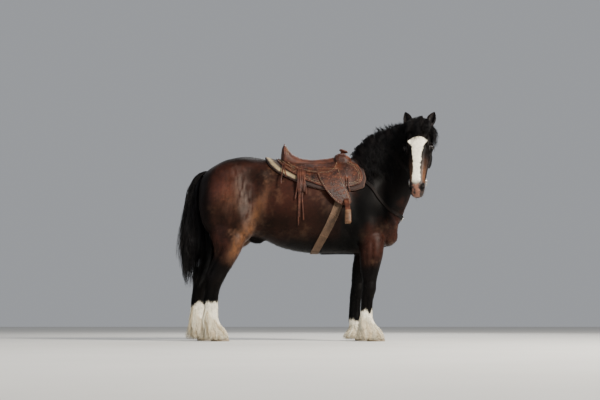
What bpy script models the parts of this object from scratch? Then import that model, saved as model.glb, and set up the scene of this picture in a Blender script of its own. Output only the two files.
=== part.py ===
"""A life-size standing draught horse, bay with white stockings, in a western saddle and bridle.

Metres, +Z up, +X forwards, +Y to the horse's left. The horse stands square to the side with its
neck bent to its right, so that its face looks along -Y. The floor is at Z 0.
"""

import math

import bmesh
import bpy
import numpy as np
from mathutils import Matrix, Vector
from mathutils.bvhtree import BVHTree

# Driving sizes of the animal, in metres
CROUP_HEIGHT = 1.79
BACK_HEIGHT = 1.69
WITHERS_HEIGHT = 1.745
GIRTH_BOTTOM = 0.838
BARREL_HALF_WIDTH = 0.345
HIP_HALF_WIDTH = 0.315
SHOULDER_HALF_WIDTH = 0.285
BUTTOCK_X = -0.885
BREAST_X = 1.055
LEG_SPREAD = 0.185          # half the distance between the centres of a pair of legs
FAR_FORE_SHIFT = -0.092     # how far the left fore hoof stands behind the right one
FAR_HIND_SHIFT = -0.165     # how far the left hind hoof stands behind the right one
GAP = 0.0003                # clearance between neighbouring pieces
CUT_MARGIN = 0.008          # spare flesh left on a part while it is thinned out
FUSE_VOXEL = 0.0125
TRIANGLES = {"torso": 850, "neck": 330, "upper": 240, "lower": 130, "head": 1200}

# The head's own frame: its poll, its yaw away from square to the side, and its pitch from upright
POLL = Vector((1.235, -0.330, 2.087))
HEAD_YAW = math.radians(15.0)
HEAD_PITCH = math.radians(22.0)
EYE_RADIUS = 0.024
EYE_AT = (0.283, -0.036, 0.124)   # down the face, out of the face, to the side

# Tack
PAD_THICKNESS = 0.026
SKIRT_THICKNESS = 0.011
STRAP_THICKNESS = 0.006
STIRRUP_OUT = 0.440         # how far the middle of a stirrup hangs from the middle of the horse
SIDES = {"right": -1.0, "left": 1.0}


def head_axes():
    """Unit vectors of the head: down the face, out of the face, and to the horse's left."""
    ahead = Vector((-math.sin(HEAD_YAW), -math.cos(HEAD_YAW), 0.0))
    down = ahead * math.sin(HEAD_PITCH) - Vector((0, 0, 1)) * math.cos(HEAD_PITCH)
    out = ahead * math.cos(HEAD_PITCH) + Vector((0, 0, 1)) * math.sin(HEAD_PITCH)
    return down, out, out.cross(down)


FACE_DOWN, FACE_OUT, FACE_LEFT = head_axes()
HEAD_MATRIX = Matrix.Translation(POLL) @ Matrix((FACE_DOWN, FACE_OUT, FACE_LEFT)).transposed().to_4x4()


def on_head(down, out, left):
    """The point of the world at these head coordinates."""
    return HEAD_MATRIX @ Vector((down, out, left))


def clear_scene():
    """Removes every object, so that the file can be run again."""
    for thing in list(bpy.data.objects):
        bpy.data.objects.remove(thing, do_unlink=True)


def material(name, colour, roughness, metallic=0.0):
    """A Principled material with one base colour."""
    made = bpy.data.materials.new(name)
    made.use_nodes = True
    shader = made.node_tree.nodes["Principled BSDF"]
    shader.inputs["Base Color"].default_value = (*colour, 1.0)
    shader.inputs["Roughness"].default_value = roughness
    shader.inputs["Metallic"].default_value = metallic
    return made


def new_object(name, mesh, group="horse"):
    """Links a mesh to the scene in the named collection."""
    folder = bpy.data.collections.get(group)
    if folder is None:
        folder = bpy.data.collections.new(group)
        bpy.context.scene.collection.children.link(folder)
    thing = bpy.data.objects.new(name, mesh)
    folder.objects.link(thing)
    return thing


def remove(*things):
    """Deletes helper objects."""
    for thing in things:
        bpy.data.objects.remove(thing, do_unlink=True)


def even_curve(rows, count):
    """Rows of numbers read at even steps from a monotone cubic through the given rows.

    The parameter is the distance between the middles of the sections, so a dense stretch of
    rows stays dense in shape but not in steps.
    """
    rows = np.asarray(rows, float)
    middle = (rows[:, 0:3] + rows[:, 3:6]) / 2
    at = np.r_[0.0, np.cumsum(np.linalg.norm(np.diff(middle, axis=0), axis=1) + 1e-6)]
    step = np.diff(at)[:, None]
    secant = np.diff(rows, axis=0) / step
    slope = np.empty_like(rows)
    slope[0], slope[-1] = secant[0], secant[-1]
    before, after = secant[:-1], secant[1:]
    mean = 2 * before * after / np.where(np.abs(before + after) < 1e-12, 1.0, before + after)
    slope[1:-1] = np.where(before * after > 0, mean, 0.0)
    where = np.linspace(0, at[-1], count)
    span = np.clip(np.searchsorted(at, where, side="right") - 1, 0, len(at) - 2)
    wide = (at[span + 1] - at[span])[:, None]
    t = (where[:, None] - at[span][:, None]) / wide
    return (
        (2 * t**3 - 3 * t**2 + 1) * rows[span]
        + (t**3 - 2 * t**2 + t) * wide * slope[span]
        + (3 * t**2 - 2 * t**3) * rows[span + 1]
        + (t**3 - t**2) * wide * slope[span + 1]
    )


def grid_faces(rings, around, first=0):
    """Quads between neighbouring rings of points, each ring closed."""
    i, j = np.meshgrid(np.arange(rings - 1), np.arange(around), indexing="ij")
    a = i * around + j
    b = i * around + (j + 1) % around
    return (np.stack([a, b, b + around, a + around], axis=-1).reshape(-1, 4) + first).tolist()


def ring_mesh(name, rings):
    """A closed mesh over an array of rings, shaped (rings, around, 3), with a fan on each end."""
    count, around = rings.shape[:2]
    points = np.concatenate([rings.reshape(-1, 3), rings[0].mean(0)[None], rings[-1].mean(0)[None]])
    faces = grid_faces(count, around)
    low, high = count * around, count * around + 1
    last = (count - 1) * around
    for j in range(around):
        k = (j + 1) % around
        faces.append([low, k, j])
        faces.append([high, last + j, last + k])
    mesh = bpy.data.meshes.new(name)
    mesh.from_pydata(points.tolist(), [], faces)
    return mesh


def section_rings(sections, around, along):
    """Rings of a loft.

    A section is two points of its outline, front or top and back or bottom, its half width, the
    share of the way from back to front where it is widest, and the power of its superellipse.
    """
    rows = even_curve(sections, along)
    front, back = rows[:, 0:3], rows[:, 3:6]
    width, level, power = rows[:, 6], rows[:, 7:8], rows[:, 8:9]
    core = back + (front - back) * level
    heading = np.gradient((front + back) / 2, axis=0)
    side = np.cross(front - back, heading)
    side /= np.linalg.norm(side, axis=1, keepdims=True)
    angle = np.arange(around) * 2 * math.pi / around
    across = np.sign(np.cos(angle)) * np.abs(np.cos(angle)) ** (2 / power)
    upward = np.clip(np.sin(angle), 0, 1) ** (2 / power)
    downward = np.clip(-np.sin(angle), 0, 1) ** (2 / power)
    return (
        core[:, None]
        + side[:, None] * (across * width[:, None])[:, :, None]
        + (front - core)[:, None] * upward[:, :, None]
        + (back - core)[:, None] * downward[:, :, None]
    )


def loft(name, sections, around=24, along=28):
    """A closed loft through unlike sections."""
    return new_object(name, ring_mesh(name, section_rings(sections, around, along)))


def muscle(name, centre, radii, turn=(0, 0, 0), frame=None, fine=18):
    """An ellipsoid: its centre, its three radii, and its turn in degrees, in a frame of its own."""
    bm = bmesh.new()
    spin = Matrix.LocRotScale(Vector(centre), None, None)
    for axis, degrees in zip("XYZ", turn):
        spin = spin @ Matrix.Rotation(math.radians(degrees), 4, axis)
    place = (frame or Matrix.Identity(4)) @ spin @ Matrix.Diagonal((*radii, 1.0))
    bmesh.ops.create_uvsphere(bm, u_segments=fine, v_segments=fine // 2 + 2, radius=1, matrix=place)
    mesh = bpy.data.meshes.new(name)
    bm.to_mesh(mesh)
    bm.free()
    return new_object(name, mesh)


def box(name, low, high, frame=None):
    """A box between two corners, in a frame of its own."""
    low, high = Vector(low), Vector(high)
    bm = bmesh.new()
    place = (frame or Matrix.Identity(4)) @ Matrix.Translation((low + high) / 2)
    bmesh.ops.create_cube(bm, size=1, matrix=place @ Matrix.Diagonal((*(high - low), 1.0)))
    mesh = bpy.data.meshes.new(name)
    bm.to_mesh(mesh)
    bm.free()
    return new_object(name, mesh)


def evaluated_mesh(thing):
    """A new mesh of the object with its modifiers done."""
    graph = bpy.context.evaluated_depsgraph_get()
    return bpy.data.meshes.new_from_object(thing.evaluated_get(graph))


def apply_modifiers(thing):
    """Puts the result of an object's modifiers into its mesh."""
    made = evaluated_mesh(thing)
    thing.modifiers.clear()
    old, thing.data = thing.data, made
    bpy.data.meshes.remove(old)
    return thing


def combine(thing, others, operation, solver="EXACT"):
    """One Boolean of an object with a collection of others, which are then removed."""
    group = bpy.data.collections.new("tools")
    for other in others:
        group.objects.link(other)
    step = thing.modifiers.new("combine", "BOOLEAN")
    step.operation, step.solver = operation, solver
    step.operand_type, step.collection = "COLLECTION", group
    apply_modifiers(thing)
    remove(*others)
    bpy.data.collections.remove(group)
    return thing


def cut(thing, other, operation="DIFFERENCE", solver="EXACT"):
    """One Boolean of an object with another, which stays."""
    step = thing.modifiers.new("cut", "BOOLEAN")
    step.operation, step.solver, step.object = operation, solver, other
    return apply_modifiers(thing)


def relaxed(mesh, rounds):
    """Smooths a mesh without shrinking it: each round moves points towards and then away from
    the mean of their neighbours."""
    points = np.empty(len(mesh.vertices) * 3)
    mesh.vertices.foreach_get("co", points)
    points = points.reshape(-1, 3)
    ends = np.empty(len(mesh.edges) * 2, np.int32)
    mesh.edges.foreach_get("vertices", ends)
    a, b = ends.reshape(-1, 2).T
    count = len(points)
    degree = np.maximum(np.bincount(a, minlength=count) + np.bincount(b, minlength=count), 1)[:, None]
    for _ in range(rounds):
        for share in (0.55, -0.57):
            total = np.stack(
                [
                    np.bincount(a, points[b, k], count) + np.bincount(b, points[a, k], count)
                    for k in range(3)
                ],
                axis=1,
            )
            points += share * (total / degree - points)
    mesh.vertices.foreach_set("co", points.ravel())
    mesh.update()


def fuse(name, pieces, voxel, rounds):
    """Joins overlapping closed shapes into one smooth skin."""
    whole = bmesh.new()
    for piece in pieces:
        whole.from_mesh(piece.data)
    mesh = bpy.data.meshes.new(name)
    whole.to_mesh(mesh)
    whole.free()
    remove(*pieces)
    thing = new_object(name, mesh)
    step = thing.modifiers.new("fuse", "REMESH")
    step.mode, step.voxel_size, step.adaptivity = "VOXEL", voxel, 0.0
    apply_modifiers(thing)
    relaxed(thing.data, rounds)
    return thing


def largest_shell(thing):
    """Keeps only the largest closed surface of a mesh."""
    bm = bmesh.new()
    bm.from_mesh(thing.data)
    bmesh.ops.remove_doubles(bm, verts=bm.verts, dist=1e-6)
    bmesh.ops.dissolve_degenerate(bm, edges=bm.edges, dist=1e-6)
    left, shells = set(bm.faces), []
    while left:
        seed = left.pop()
        shell, fringe = [seed], [seed]
        while fringe:
            for edge in fringe.pop().edges:
                if len(edge.link_faces) == 2:
                    for face in edge.link_faces:
                        if face in left:
                            left.discard(face)
                            shell.append(face)
                            fringe.append(face)
        shells.append(shell)
    shells.sort(key=len)
    bmesh.ops.delete(bm, geom=[face for shell in shells[:-1] for face in shell], context="FACES")
    bmesh.ops.triangulate(bm, faces=bm.faces)
    bm.to_mesh(thing.data)
    bm.free()
    return thing


def thinned(thing, triangles):
    """Reduces a mesh to about this many triangles."""
    now = sum(len(face.vertices) - 2 for face in thing.data.polygons)
    step = thing.modifiers.new("thin", "DECIMATE")
    step.ratio = min(1.0, triangles / now)
    step.use_collapse_triangulate = True
    return apply_modifiers(thing)


def copy_of(thing, name):
    """A second object with a mesh of its own."""
    return new_object(name, thing.data.copy())


def swollen(thing, grow=GAP * 1.6):
    """A copy of an object moved outwards all over, used to cut its neighbours clear of it."""
    made = copy_of(thing, thing.name + "_swollen")
    bm = bmesh.new()
    bm.from_mesh(made.data)
    bmesh.ops.recalc_face_normals(bm, faces=bm.faces)
    bm.normal_update()
    shift = [v.normal * grow for v in bm.verts]
    for vert, move in zip(bm.verts, shift):
        vert.co += move
    bm.to_mesh(made.data)
    bm.free()
    return made


def clear_of(thing, *others, grow=GAP * 2, solver="EXACT"):
    """Cuts an object clear of its neighbours by about the gap, and keeps its main body."""
    for other in others:
        tool = swollen(other, grow)
        cut(thing, tool, "DIFFERENCE", solver)
        remove(tool)
    return largest_shell(thing)


# The trunk

def trunk_sections():
    """Upright sections along the trunk: X, top, bottom, half width, widest level, power."""
    rows = [
        (BUTTOCK_X - 0.005, 1.500, 1.250, 0.090, 0.50, 2.0),
        (BUTTOCK_X + 0.040, 1.615, 1.140, 0.190, 0.50, 2.1),
        (-0.740, 1.700, 1.050, 0.260, 0.48, 2.2),
        (-0.600, 1.765, 1.010, 0.300, 0.50, 2.3),
        (-0.420, CROUP_HEIGHT, 1.000, HIP_HALF_WIDTH, 0.52, 2.3),
        (-0.250, 1.768, 0.972, 0.318, 0.50, 2.25),
        (-0.100, 1.728, 0.905, 0.332, 0.48, 2.2),
        (0.100, BACK_HEIGHT + 0.005, 0.857, BARREL_HALF_WIDTH, 0.46, 2.15),
        (0.300, BACK_HEIGHT, GIRTH_BOTTOM, BARREL_HALF_WIDTH - 0.005, 0.45, 2.1),
        (0.480, 1.722, GIRTH_BOTTOM + 0.002, 0.312, 0.45, 2.0),
        (0.620, WITHERS_HEIGHT, GIRTH_BOTTOM, 0.280, 0.45, 1.95),
        (0.780, 1.700, 0.845, SHOULDER_HALF_WIDTH - 0.02, 0.45, 2.0),
        (0.900, 1.560, 0.900, 0.245, 0.46, 2.1),
        (BREAST_X - 0.070, 1.400, 0.985, 0.185, 0.48, 2.1),
        (BREAST_X - 0.020, 1.300, 1.090, 0.100, 0.50, 2.0),
    ]
    return [(x, 0, top, x, 0, bottom, w, level, p) for x, top, bottom, w, level, p in rows]


def trunk_muscles(side, name):
    """Muscle and bone that stands out on one side of the trunk."""
    made = [
        ("blade", (0.760, 0.138, 1.400), (0.150, 0.120, 0.340), (14, 28, 0)),
        ("arm", (0.885, 0.165, 1.130), (0.120, 0.100, 0.140), (0, -35, 0)),
        ("triceps", (0.700, 0.165, 1.090), (0.200, 0.125, 0.180), (0, 10, 0)),
        ("breast", (0.955, 0.100, 1.075), (0.086, 0.110, 0.158), (0, 0, 0)),
        ("rump", (-0.500, 0.120, 1.560), (0.320, 0.190, 0.200), (0, -8, 0)),
        ("hip", (-0.290, 0.225, 1.560), (0.110, 0.075, 0.100), (0, 0, 0)),
        ("ham", (-0.670, 0.140, 1.320), (0.205, 0.160, 0.330), (0, 6, 0)),
        ("thigh", (-0.520, 0.165, 1.230), (0.200, 0.155, 0.320), (0, -8, 0)),
        ("stifle", (-0.440, 0.185, 1.090), (0.085, 0.105, 0.130), (0, -20, 0)),
    ]
    return [
        muscle(f"{what}_{name}", (x, y * side, z), radii, (rx * side, ry, rz))
        for what, (x, y, z), radii, (rx, ry, rz) in made
    ]


def neck_sections():
    """Slanted sections up the neck, from inside the chest to inside the back of the skull."""
    rows = [
        ((0.500, 0.000, 1.690), (0.980, 0.000, 1.050), 0.205, 0.45, 2.0),
        ((0.640, 0.000, 1.800), (1.074, 0.000, 1.190), 0.190, 0.42, 1.9),
        ((0.765, -0.015, 1.910), (1.146, -0.015, 1.320), 0.165, 0.42, 1.9),
        ((0.885, -0.045, 1.982), (1.192, -0.030, 1.460), 0.142, 0.44, 1.9),
        ((0.990, -0.090, 2.022), (1.205, -0.055, 1.590), 0.124, 0.46, 2.0),
        ((1.090, -0.145, 2.045), (1.235, -0.090, 1.700), 0.112, 0.50, 2.0),
        ((1.165, -0.205, 2.060), (1.250, -0.130, 1.785), 0.100, 0.50, 2.0),
        ((1.215, -0.265, 2.065), (1.250, -0.200, 1.840), 0.080, 0.50, 2.0),
    ]
    return [(*crest, *throat, w, level, p) for crest, throat, w, level, p in rows]


def leg_shift(z, full, top, bottom):
    """How far a leg is carried back at a height: none at its top, all of it at its bottom."""
    t = min(1.0, max(0.0, (top - z) / (top - bottom)))
    return full * t * t * (3 - 2 * t)


def foreleg_sections(side):
    """Sections down a foreleg: front X and Z, back X and Z, half width, offset of its middle."""
    rows = [
        ((0.870, 1.080), (0.670, 1.060), 0.050, 0.50),
        ((0.903, 0.950), (0.645, 0.940), 0.096, 0.55),
        ((0.890, 0.820), (0.660, 0.830), 0.096, 0.58),
        ((0.860, 0.700), (0.668, 0.710), 0.078, 0.58),
        ((0.834, 0.600), (0.682, 0.610), 0.063, 0.55),
        ((0.824, 0.540), (0.690, 0.550), 0.064, 0.52),
        ((0.822, 0.490), (0.686, 0.500), 0.069, 0.52),
        ((0.806, 0.435), (0.680, 0.445), 0.059, 0.52),
        ((0.790, 0.380), (0.676, 0.385), 0.047, 0.52),
        ((0.784, 0.280), (0.668, 0.285), 0.045, 0.52),
        ((0.788, 0.215), (0.664, 0.205), 0.056, 0.52),
        ((0.812, 0.165), (0.676, 0.145), 0.054, 0.52),
        ((0.838, 0.120), (0.700, 0.100), 0.056, 0.52),
        ((0.862, 0.085), (0.715, 0.065), 0.066, 0.52),
        ((0.872, 0.060), (0.722, 0.045), 0.066, 0.52),
    ]
    full = FAR_FORE_SHIFT if side > 0 else 0.0
    made = []
    for (fx, fz), (bx, bz), w, level in rows:
        y = side * (LEG_SPREAD + 0.012 * min(1.0, fz) - 0.25 * max(0.0, fz - 0.90))
        made.append(
            (
                fx + leg_shift(fz, full, 1.05, 0.45), y, fz,
                bx + leg_shift(bz, full, 1.05, 0.45), y, bz,
                w, level, 2.1,
            )
        )
    return made


def hindleg_sections(side):
    """Sections down a hind leg, as for a foreleg."""
    rows = [
        ((-0.460, 1.180), (-0.760, 1.160), 0.060, 0.55),
        ((-0.405, 1.030), (-0.770, 1.030), 0.112, 0.58),
        ((-0.440, 0.910), (-0.738, 0.930), 0.104, 0.60),
        ((-0.492, 0.800), (-0.722, 0.840), 0.086, 0.60),
        ((-0.545, 0.710), (-0.748, 0.750), 0.064, 0.62),
        ((-0.590, 0.640), (-0.790, 0.672), 0.052, 0.62),
        ((-0.615, 0.590), (-0.806, 0.620), 0.060, 0.62),
        ((-0.642, 0.540), (-0.796, 0.560), 0.063, 0.58),
        ((-0.664, 0.480), (-0.790, 0.490), 0.054, 0.54),
        ((-0.680, 0.410), (-0.792, 0.415), 0.047, 0.52),
        ((-0.684, 0.300), (-0.798, 0.300), 0.046, 0.52),
        ((-0.680, 0.220), (-0.802, 0.205), 0.057, 0.52),
        ((-0.656, 0.168), (-0.788, 0.145), 0.055, 0.52),
        ((-0.632, 0.120), (-0.768, 0.100), 0.057, 0.52),
        ((-0.612, 0.085), (-0.754, 0.065), 0.066, 0.52),
        ((-0.602, 0.060), (-0.746, 0.045), 0.066, 0.52),
    ]
    full = FAR_HIND_SHIFT if side > 0 else 0.0
    made = []
    for (fx, fz), (bx, bz), w, level in rows:
        y = side * (LEG_SPREAD - 0.005 + 0.020 * min(1.0, fz) - 0.25 * max(0.0, fz - 0.95))
        made.append(
            (
                fx + leg_shift(fz, full, 1.20, 0.62), y, fz,
                bx + leg_shift(bz, full, 1.20, 0.62), y, bz,
                w, level, 2.1,
            )
        )
    return made


# The head, in its own frame

def head_sections():
    """Sections down the face: distance from the poll, its top and bottom line, half width."""
    rows = [
        (-0.035, -0.040, -0.150, 0.045, 0.55, 2.0),
        (0.000, -0.008, -0.200, 0.074, 0.60, 2.1),
        (0.050, 0.014, -0.235, 0.092, 0.62, 2.3),
        (0.120, 0.029, -0.262, 0.106, 0.68, 2.5),
        (0.200, 0.035, -0.280, 0.112, 0.72, 2.6),
        (0.280, 0.033, -0.282, 0.109, 0.70, 2.6),
        (0.360, 0.025, -0.256, 0.094, 0.66, 2.5),
        (0.440, 0.018, -0.212, 0.080, 0.62, 2.5),
        (0.520, 0.011, -0.172, 0.068, 0.58, 2.5),
        (0.600, 0.005, -0.158, 0.067, 0.55, 2.4),
        (0.665, 0.001, -0.158, 0.070, 0.55, 2.4),
        (0.715, -0.008, -0.156, 0.067, 0.52, 2.3),
        (0.755, -0.026, -0.142, 0.056, 0.50, 2.2),
        (0.782, -0.060, -0.115, 0.030, 0.50, 2.0),
    ]
    made = []
    for down, top, bottom, w, level, p in rows:
        made.append((*on_head(down, top, 0), *on_head(down, bottom, 0), w, level, p))
    return made


def head_muscles(side, name):
    """What stands out on one side of the head, in the head's frame."""
    down, out, left = EYE_AT
    made = [
        ("cheek", (0.285, -0.168, 0.078), (0.135, 0.108, 0.034), (0, 0, -10)),
        ("brow", (down - 0.034, out + 0.028, left - 0.023), (0.056, 0.034, 0.032), (0, 0, 0)),
        ("orbit", (down, out, left - 0.019), (0.054, 0.046, 0.034), (0, 0, 0)),
        ("lid_above", (down - 0.024, out + 0.007, left + 0.004), (0.013, 0.032, 0.016), (0, 0, 8)),
        ("lid_below", (down + 0.024, out - 0.006, left + 0.001), (0.011, 0.028, 0.014), (0, 0, 8)),
        ("face_crest", (0.400, -0.083, 0.076), (0.095, 0.016, 0.016), (0, 4, 0)),
        ("nostril", (0.672, -0.046, 0.046), (0.050, 0.036, 0.030), (0, 0, 25)),
        ("lip", (0.735, -0.080, 0.028), (0.040, 0.040, 0.036), (0, 0, 0)),
        ("chin", (0.705, -0.148, 0.018), (0.050, 0.028, 0.034), (0, 0, 0)),
        ("jaw_angle", (0.200, -0.235, 0.050), (0.070, 0.060, 0.036), (0, 0, 0)),
    ]
    return [
        muscle(f"{what}_{name}", (x, y, z * side), radii, (rx * side, ry * side, rz), HEAD_MATRIX)
        for what, (x, y, z), radii, (rx, ry, rz) in made
    ]


def body_skin():
    """The trunk, neck and legs as one smooth skin."""
    trunk = [loft("trunk", trunk_sections(), 36, 44)]
    for name, side in SIDES.items():
        trunk += trunk_muscles(side, name)
    pieces = [
        fuse("trunk_smooth", trunk, 2 * FUSE_VOXEL, 60),
        loft("neck_core", neck_sections(), 30, 26),
        muscle("sheath", (-0.330, 0, 1.005), (0.100, 0.045, 0.045), (0, 12, 0)),
    ]
    for name, side in SIDES.items():
        pieces.append(loft(f"foreleg_core_{name}", foreleg_sections(side), 20, 44))
        pieces.append(loft(f"hindleg_core_{name}", hindleg_sections(side), 20, 48))
    return fuse("body", pieces, FUSE_VOXEL, 24)


def head_skin():
    """The head as one smooth skin, without eyes, ears or mouth."""
    pieces = [loft("skull", head_sections(), 30, 32)]
    for name, side in SIDES.items():
        pieces += head_muscles(side, name)
    return fuse("head_skin", pieces, 0.007, 10)


# Cutting the flesh into its parts

def half_space(name, point, normal):
    """A large block that fills the side of a plane its normal points to."""
    turn = Vector(normal).to_track_quat("Z", "Y").to_matrix().to_4x4()
    return box(name, (-4, -4, 0), (4, 4, 4), Matrix.Translation(Vector(point)) @ turn)


NECK_PLANE = ((0.850, 0, 1.510), (0.734, 0, 0.679))
LEG_BOXES = {
    "foreleg": ((0.42, 0.085, -0.2), (1.15, 0.60, 0.930), 0.415),
    "hindleg": ((-1.20, 0.020, -0.2), (-0.33, 0.60, 0.985), 0.515),
}


def neck_block(grow):
    """Everything in front of the cut at the base of the neck."""
    point, normal = Vector(NECK_PLANE[0]), Vector(NECK_PLANE[1]).normalized()
    return half_space("neck_block", point - normal * grow, normal)


def leg_block(kind, side, grow, top=None, bottom=None):
    """The block that one leg is cut out with, or a length of it."""
    low, high, _ = LEG_BOXES[kind]
    near, far = sorted((side * (low[1] - grow), side * (high[1] + grow)))
    base = low[2] if bottom is None else bottom - grow
    peak = (high[2] if top is None else top) + grow
    return box(f"{kind}_block", (low[0] - grow, near, base), (high[0] + grow, far, peak))


def torso_part(body):
    """The trunk without neck or legs."""
    def blocks(grow):
        made = [neck_block(grow)]
        for side in SIDES.values():
            made += [leg_block(kind, side, grow) for kind in LEG_BOXES]
        return made

    part = combine(copy_of(body, "torso"), blocks(-CUT_MARGIN), "DIFFERENCE")
    thinned(largest_shell(part), TRIANGLES["torso"])
    return largest_shell(combine(part, blocks(GAP / 2), "DIFFERENCE"))


def neck_part(body, head):
    """The neck, from its base to where it meets the back of the skull."""
    part = combine(copy_of(body, "neck"), [neck_block(CUT_MARGIN)], "INTERSECT")
    thinned(largest_shell(part), TRIANGLES["neck"])
    combine(part, [neck_block(-GAP / 2)], "INTERSECT")
    return clear_of(part, head)


def leg_part(body, kind, name, level_name):
    """The upper or the lower part of one leg."""
    level = LEG_BOXES[kind][2]
    ends = {"top": None, "bottom": level} if level_name == "upper" else {"top": level, "bottom": None}
    part = copy_of(body, f"{kind}_{name}_{level_name}")
    combine(part, [leg_block(kind, SIDES[name], CUT_MARGIN, **ends)], "INTERSECT")
    thinned(largest_shell(part), TRIANGLES[level_name])
    combine(part, [leg_block(kind, SIDES[name], -GAP / 2, **ends)], "INTERSECT")
    return largest_shell(part)


# Hooves

HOOF_MIDDLE = {"foreleg": (0.795, LEG_SPREAD), "hindleg": (-0.676, LEG_SPREAD - 0.004)}
CORONET_RISE = 0.38        # how steeply the coronet climbs towards the toe
CORONET_HEIGHT = 0.078


def hoof_middle(kind, side):
    """X and Y of the middle of a hoof."""
    x, y = HOOF_MIDDLE[kind]
    shift = (FAR_FORE_SHIFT if kind == "foreleg" else FAR_HIND_SHIFT) if side > 0 else 0.0
    return x + shift, y * side


def hoof(kind, name):
    """A hoof with a flat sole, and the lower leg's cut to fit on it."""
    x, y = hoof_middle(kind, SIDES[name])
    rings = []
    rows = [(0.000, 0.012, 0.094, 0.090), (0.006, 0.012, 0.097, 0.093), (1.000, -0.010, 0.078, 0.071)]
    for share, forward, long, wide in rows:
        angle = np.arange(14) * 2 * math.pi / 14
        ahead = np.cos(angle) * long
        top = CORONET_HEIGHT + CORONET_RISE * ahead
        lift = share * top if share < 1 else top
        heel = np.where(ahead < 0, 0.86, 1.0)
        rings.append(np.stack([x + forward + ahead * heel, y + np.sin(angle) * wide, lift], axis=1))
    return new_object(f"hoof_{kind[:4]}_{name}", ring_mesh("hoof", np.array(rings)))


def coronet_block(kind, name):
    """Everything above the coronet of one hoof."""
    x, y = hoof_middle(kind, SIDES[name])
    return half_space("coronet", (x - 0.010, y, CORONET_HEIGHT + GAP), (-CORONET_RISE, 0, 1))


# Hair

def lock(name, path, widths, across, thick):
    """One flat tapered lock: a closed strip, ridged on its outer side, along a bent path."""
    path = [Vector(p) for p in path]
    count = len(path)
    rings = []
    for i in range(count - 1):
        heading = (path[min(i + 1, count - 1)] - path[max(i - 1, 0)]).normalized()
        side = Vector(across)
        side = (side - heading * side.dot(heading)).normalized()
        up = heading.cross(side).normalized()
        half = widths[i] / 2
        rings += [path[i] + side * half, path[i] + up * thick, path[i] - side * half]
    points = [tuple(p) for p in rings] + [tuple(path[-1])]
    faces = [[2, 1, 0]] + grid_faces(count - 1, 3)
    last, tip = 3 * (count - 2), len(points) - 1
    faces += [[last + j, last + (j + 1) % 3, tip] for j in range(3)]
    return solid(name, points, faces)


def solid(name, points, faces):
    """A closed mesh of triangles that face outwards, from points and faces."""
    mesh = bpy.data.meshes.new(name)
    mesh.from_pydata([tuple(p) for p in points], [], faces)
    bm = bmesh.new()
    bm.from_mesh(mesh)
    bmesh.ops.triangulate(bm, faces=bm.faces)
    bmesh.ops.recalc_face_normals(bm, faces=bm.faces)
    bm.to_mesh(mesh)
    bm.free()
    return new_object(name, mesh)


def surface_of(*things):
    """A tree of the objects' faces, for finding points on them."""
    bm = bmesh.new()
    for thing in things:
        bm.from_mesh(thing.data)
    tree = BVHTree.FromBMesh(bm)
    bm.free()
    return tree


def draped_path(tree, start, heading, length, steps, lifts, pull):
    """A path that follows a surface at a given height over it, while it is pulled one way."""
    point, heading, pull = Vector(start), Vector(heading).normalized(), Vector(pull)
    path = []
    for i in range(steps + 1):
        spot, normal, _, _ = tree.find_nearest(point)
        path.append(spot + normal * lifts[i])
        heading = (heading + pull).normalized()
        heading = (heading - normal * heading.dot(normal)).normalized()
        point = spot + heading * (length / steps) + normal * 0.002
    return path


def taper(width, steps, root=0.7):
    """Widths along a lock: narrow at its root, widest past the middle, and closing at its tip."""
    return [width * (root + (1 - root) * min(1.0, 2.2 * i / steps))
            * (1 - 0.62 * max(0.0, i / steps - 0.45) / 0.55) for i in range(steps)]


def mane_locks(neck, chance):
    """Locks that stand up from the crest and fall to the horse's right."""
    tree = surface_of(neck)
    made = []
    sections = section_rings(neck_sections(), 8, 40)
    crest = [Vector(ring[2]) for ring in sections]
    for row, (count, long, lift) in enumerate(((8, 0.34, 0.026), (5, 0.24, 0.044))):
        for i in range(count):
            share = 0.27 + 0.59 * (i + 0.5 * (row % 2)) / count
            at = share * (len(crest) - 1)
            low = int(at)
            root = crest[low].lerp(crest[min(low + 1, len(crest) - 1)], at - low)
            spot, normal, _, _ = tree.find_nearest(root)
            side = Vector((chance.uniform(-0.25, 0.35), -1.0, 0.15))
            size = long * chance.uniform(0.8, 1.15) * (0.75 + 0.35 * math.sin(math.pi * share))
            steps = 4
            lifts = [-0.012] + [lift * (0.9 if j < 2 else 0.75) + 0.004 * chance.uniform(-1, 1)
                                for j in range(steps)]
            path = draped_path(tree, spot + Vector((0, 0.010, 0)), side, size, steps, lifts,
                               (chance.uniform(-0.10, 0.14), -0.02, -0.30))
            along = crest[min(low + 1, len(crest) - 1)] - crest[low]
            width = chance.uniform(0.090, 0.106)
            made.append(lock(f"mane_{row}_{i}", path, taper(width, steps), along, 0.016))
    return made


def forelock_locks(head, chance):
    """Locks that fall from between the ears over the forehead and to both sides."""
    tree = surface_of(head)
    made = []
    for i, (left, long, lift) in enumerate(
        [(-0.075, 0.15, 0.020), (-0.028, 0.20, 0.026), (0.020, 0.21, 0.022), (0.060, 0.20, 0.028),
         (0.098, 0.19, 0.024), (0.000, 0.15, 0.044)]
    ):
        root = on_head(-0.030, -0.020, left * 0.75)
        steps = 4
        fan = FACE_LEFT * (left * 2.0) + FACE_DOWN
        lifts = [-0.010] + [lift + 0.003 * chance.uniform(-1, 1) for _ in range(steps)]
        path = draped_path(tree, root, FACE_DOWN + FACE_OUT * 0.4 + FACE_LEFT * left * 2, long, steps,
                           lifts, fan * 0.15)
        width = chance.uniform(0.062, 0.074)
        made.append(lock(f"forelock_{i}", path, taper(width, steps, 0.8), FACE_LEFT, 0.014))
    return made


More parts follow.
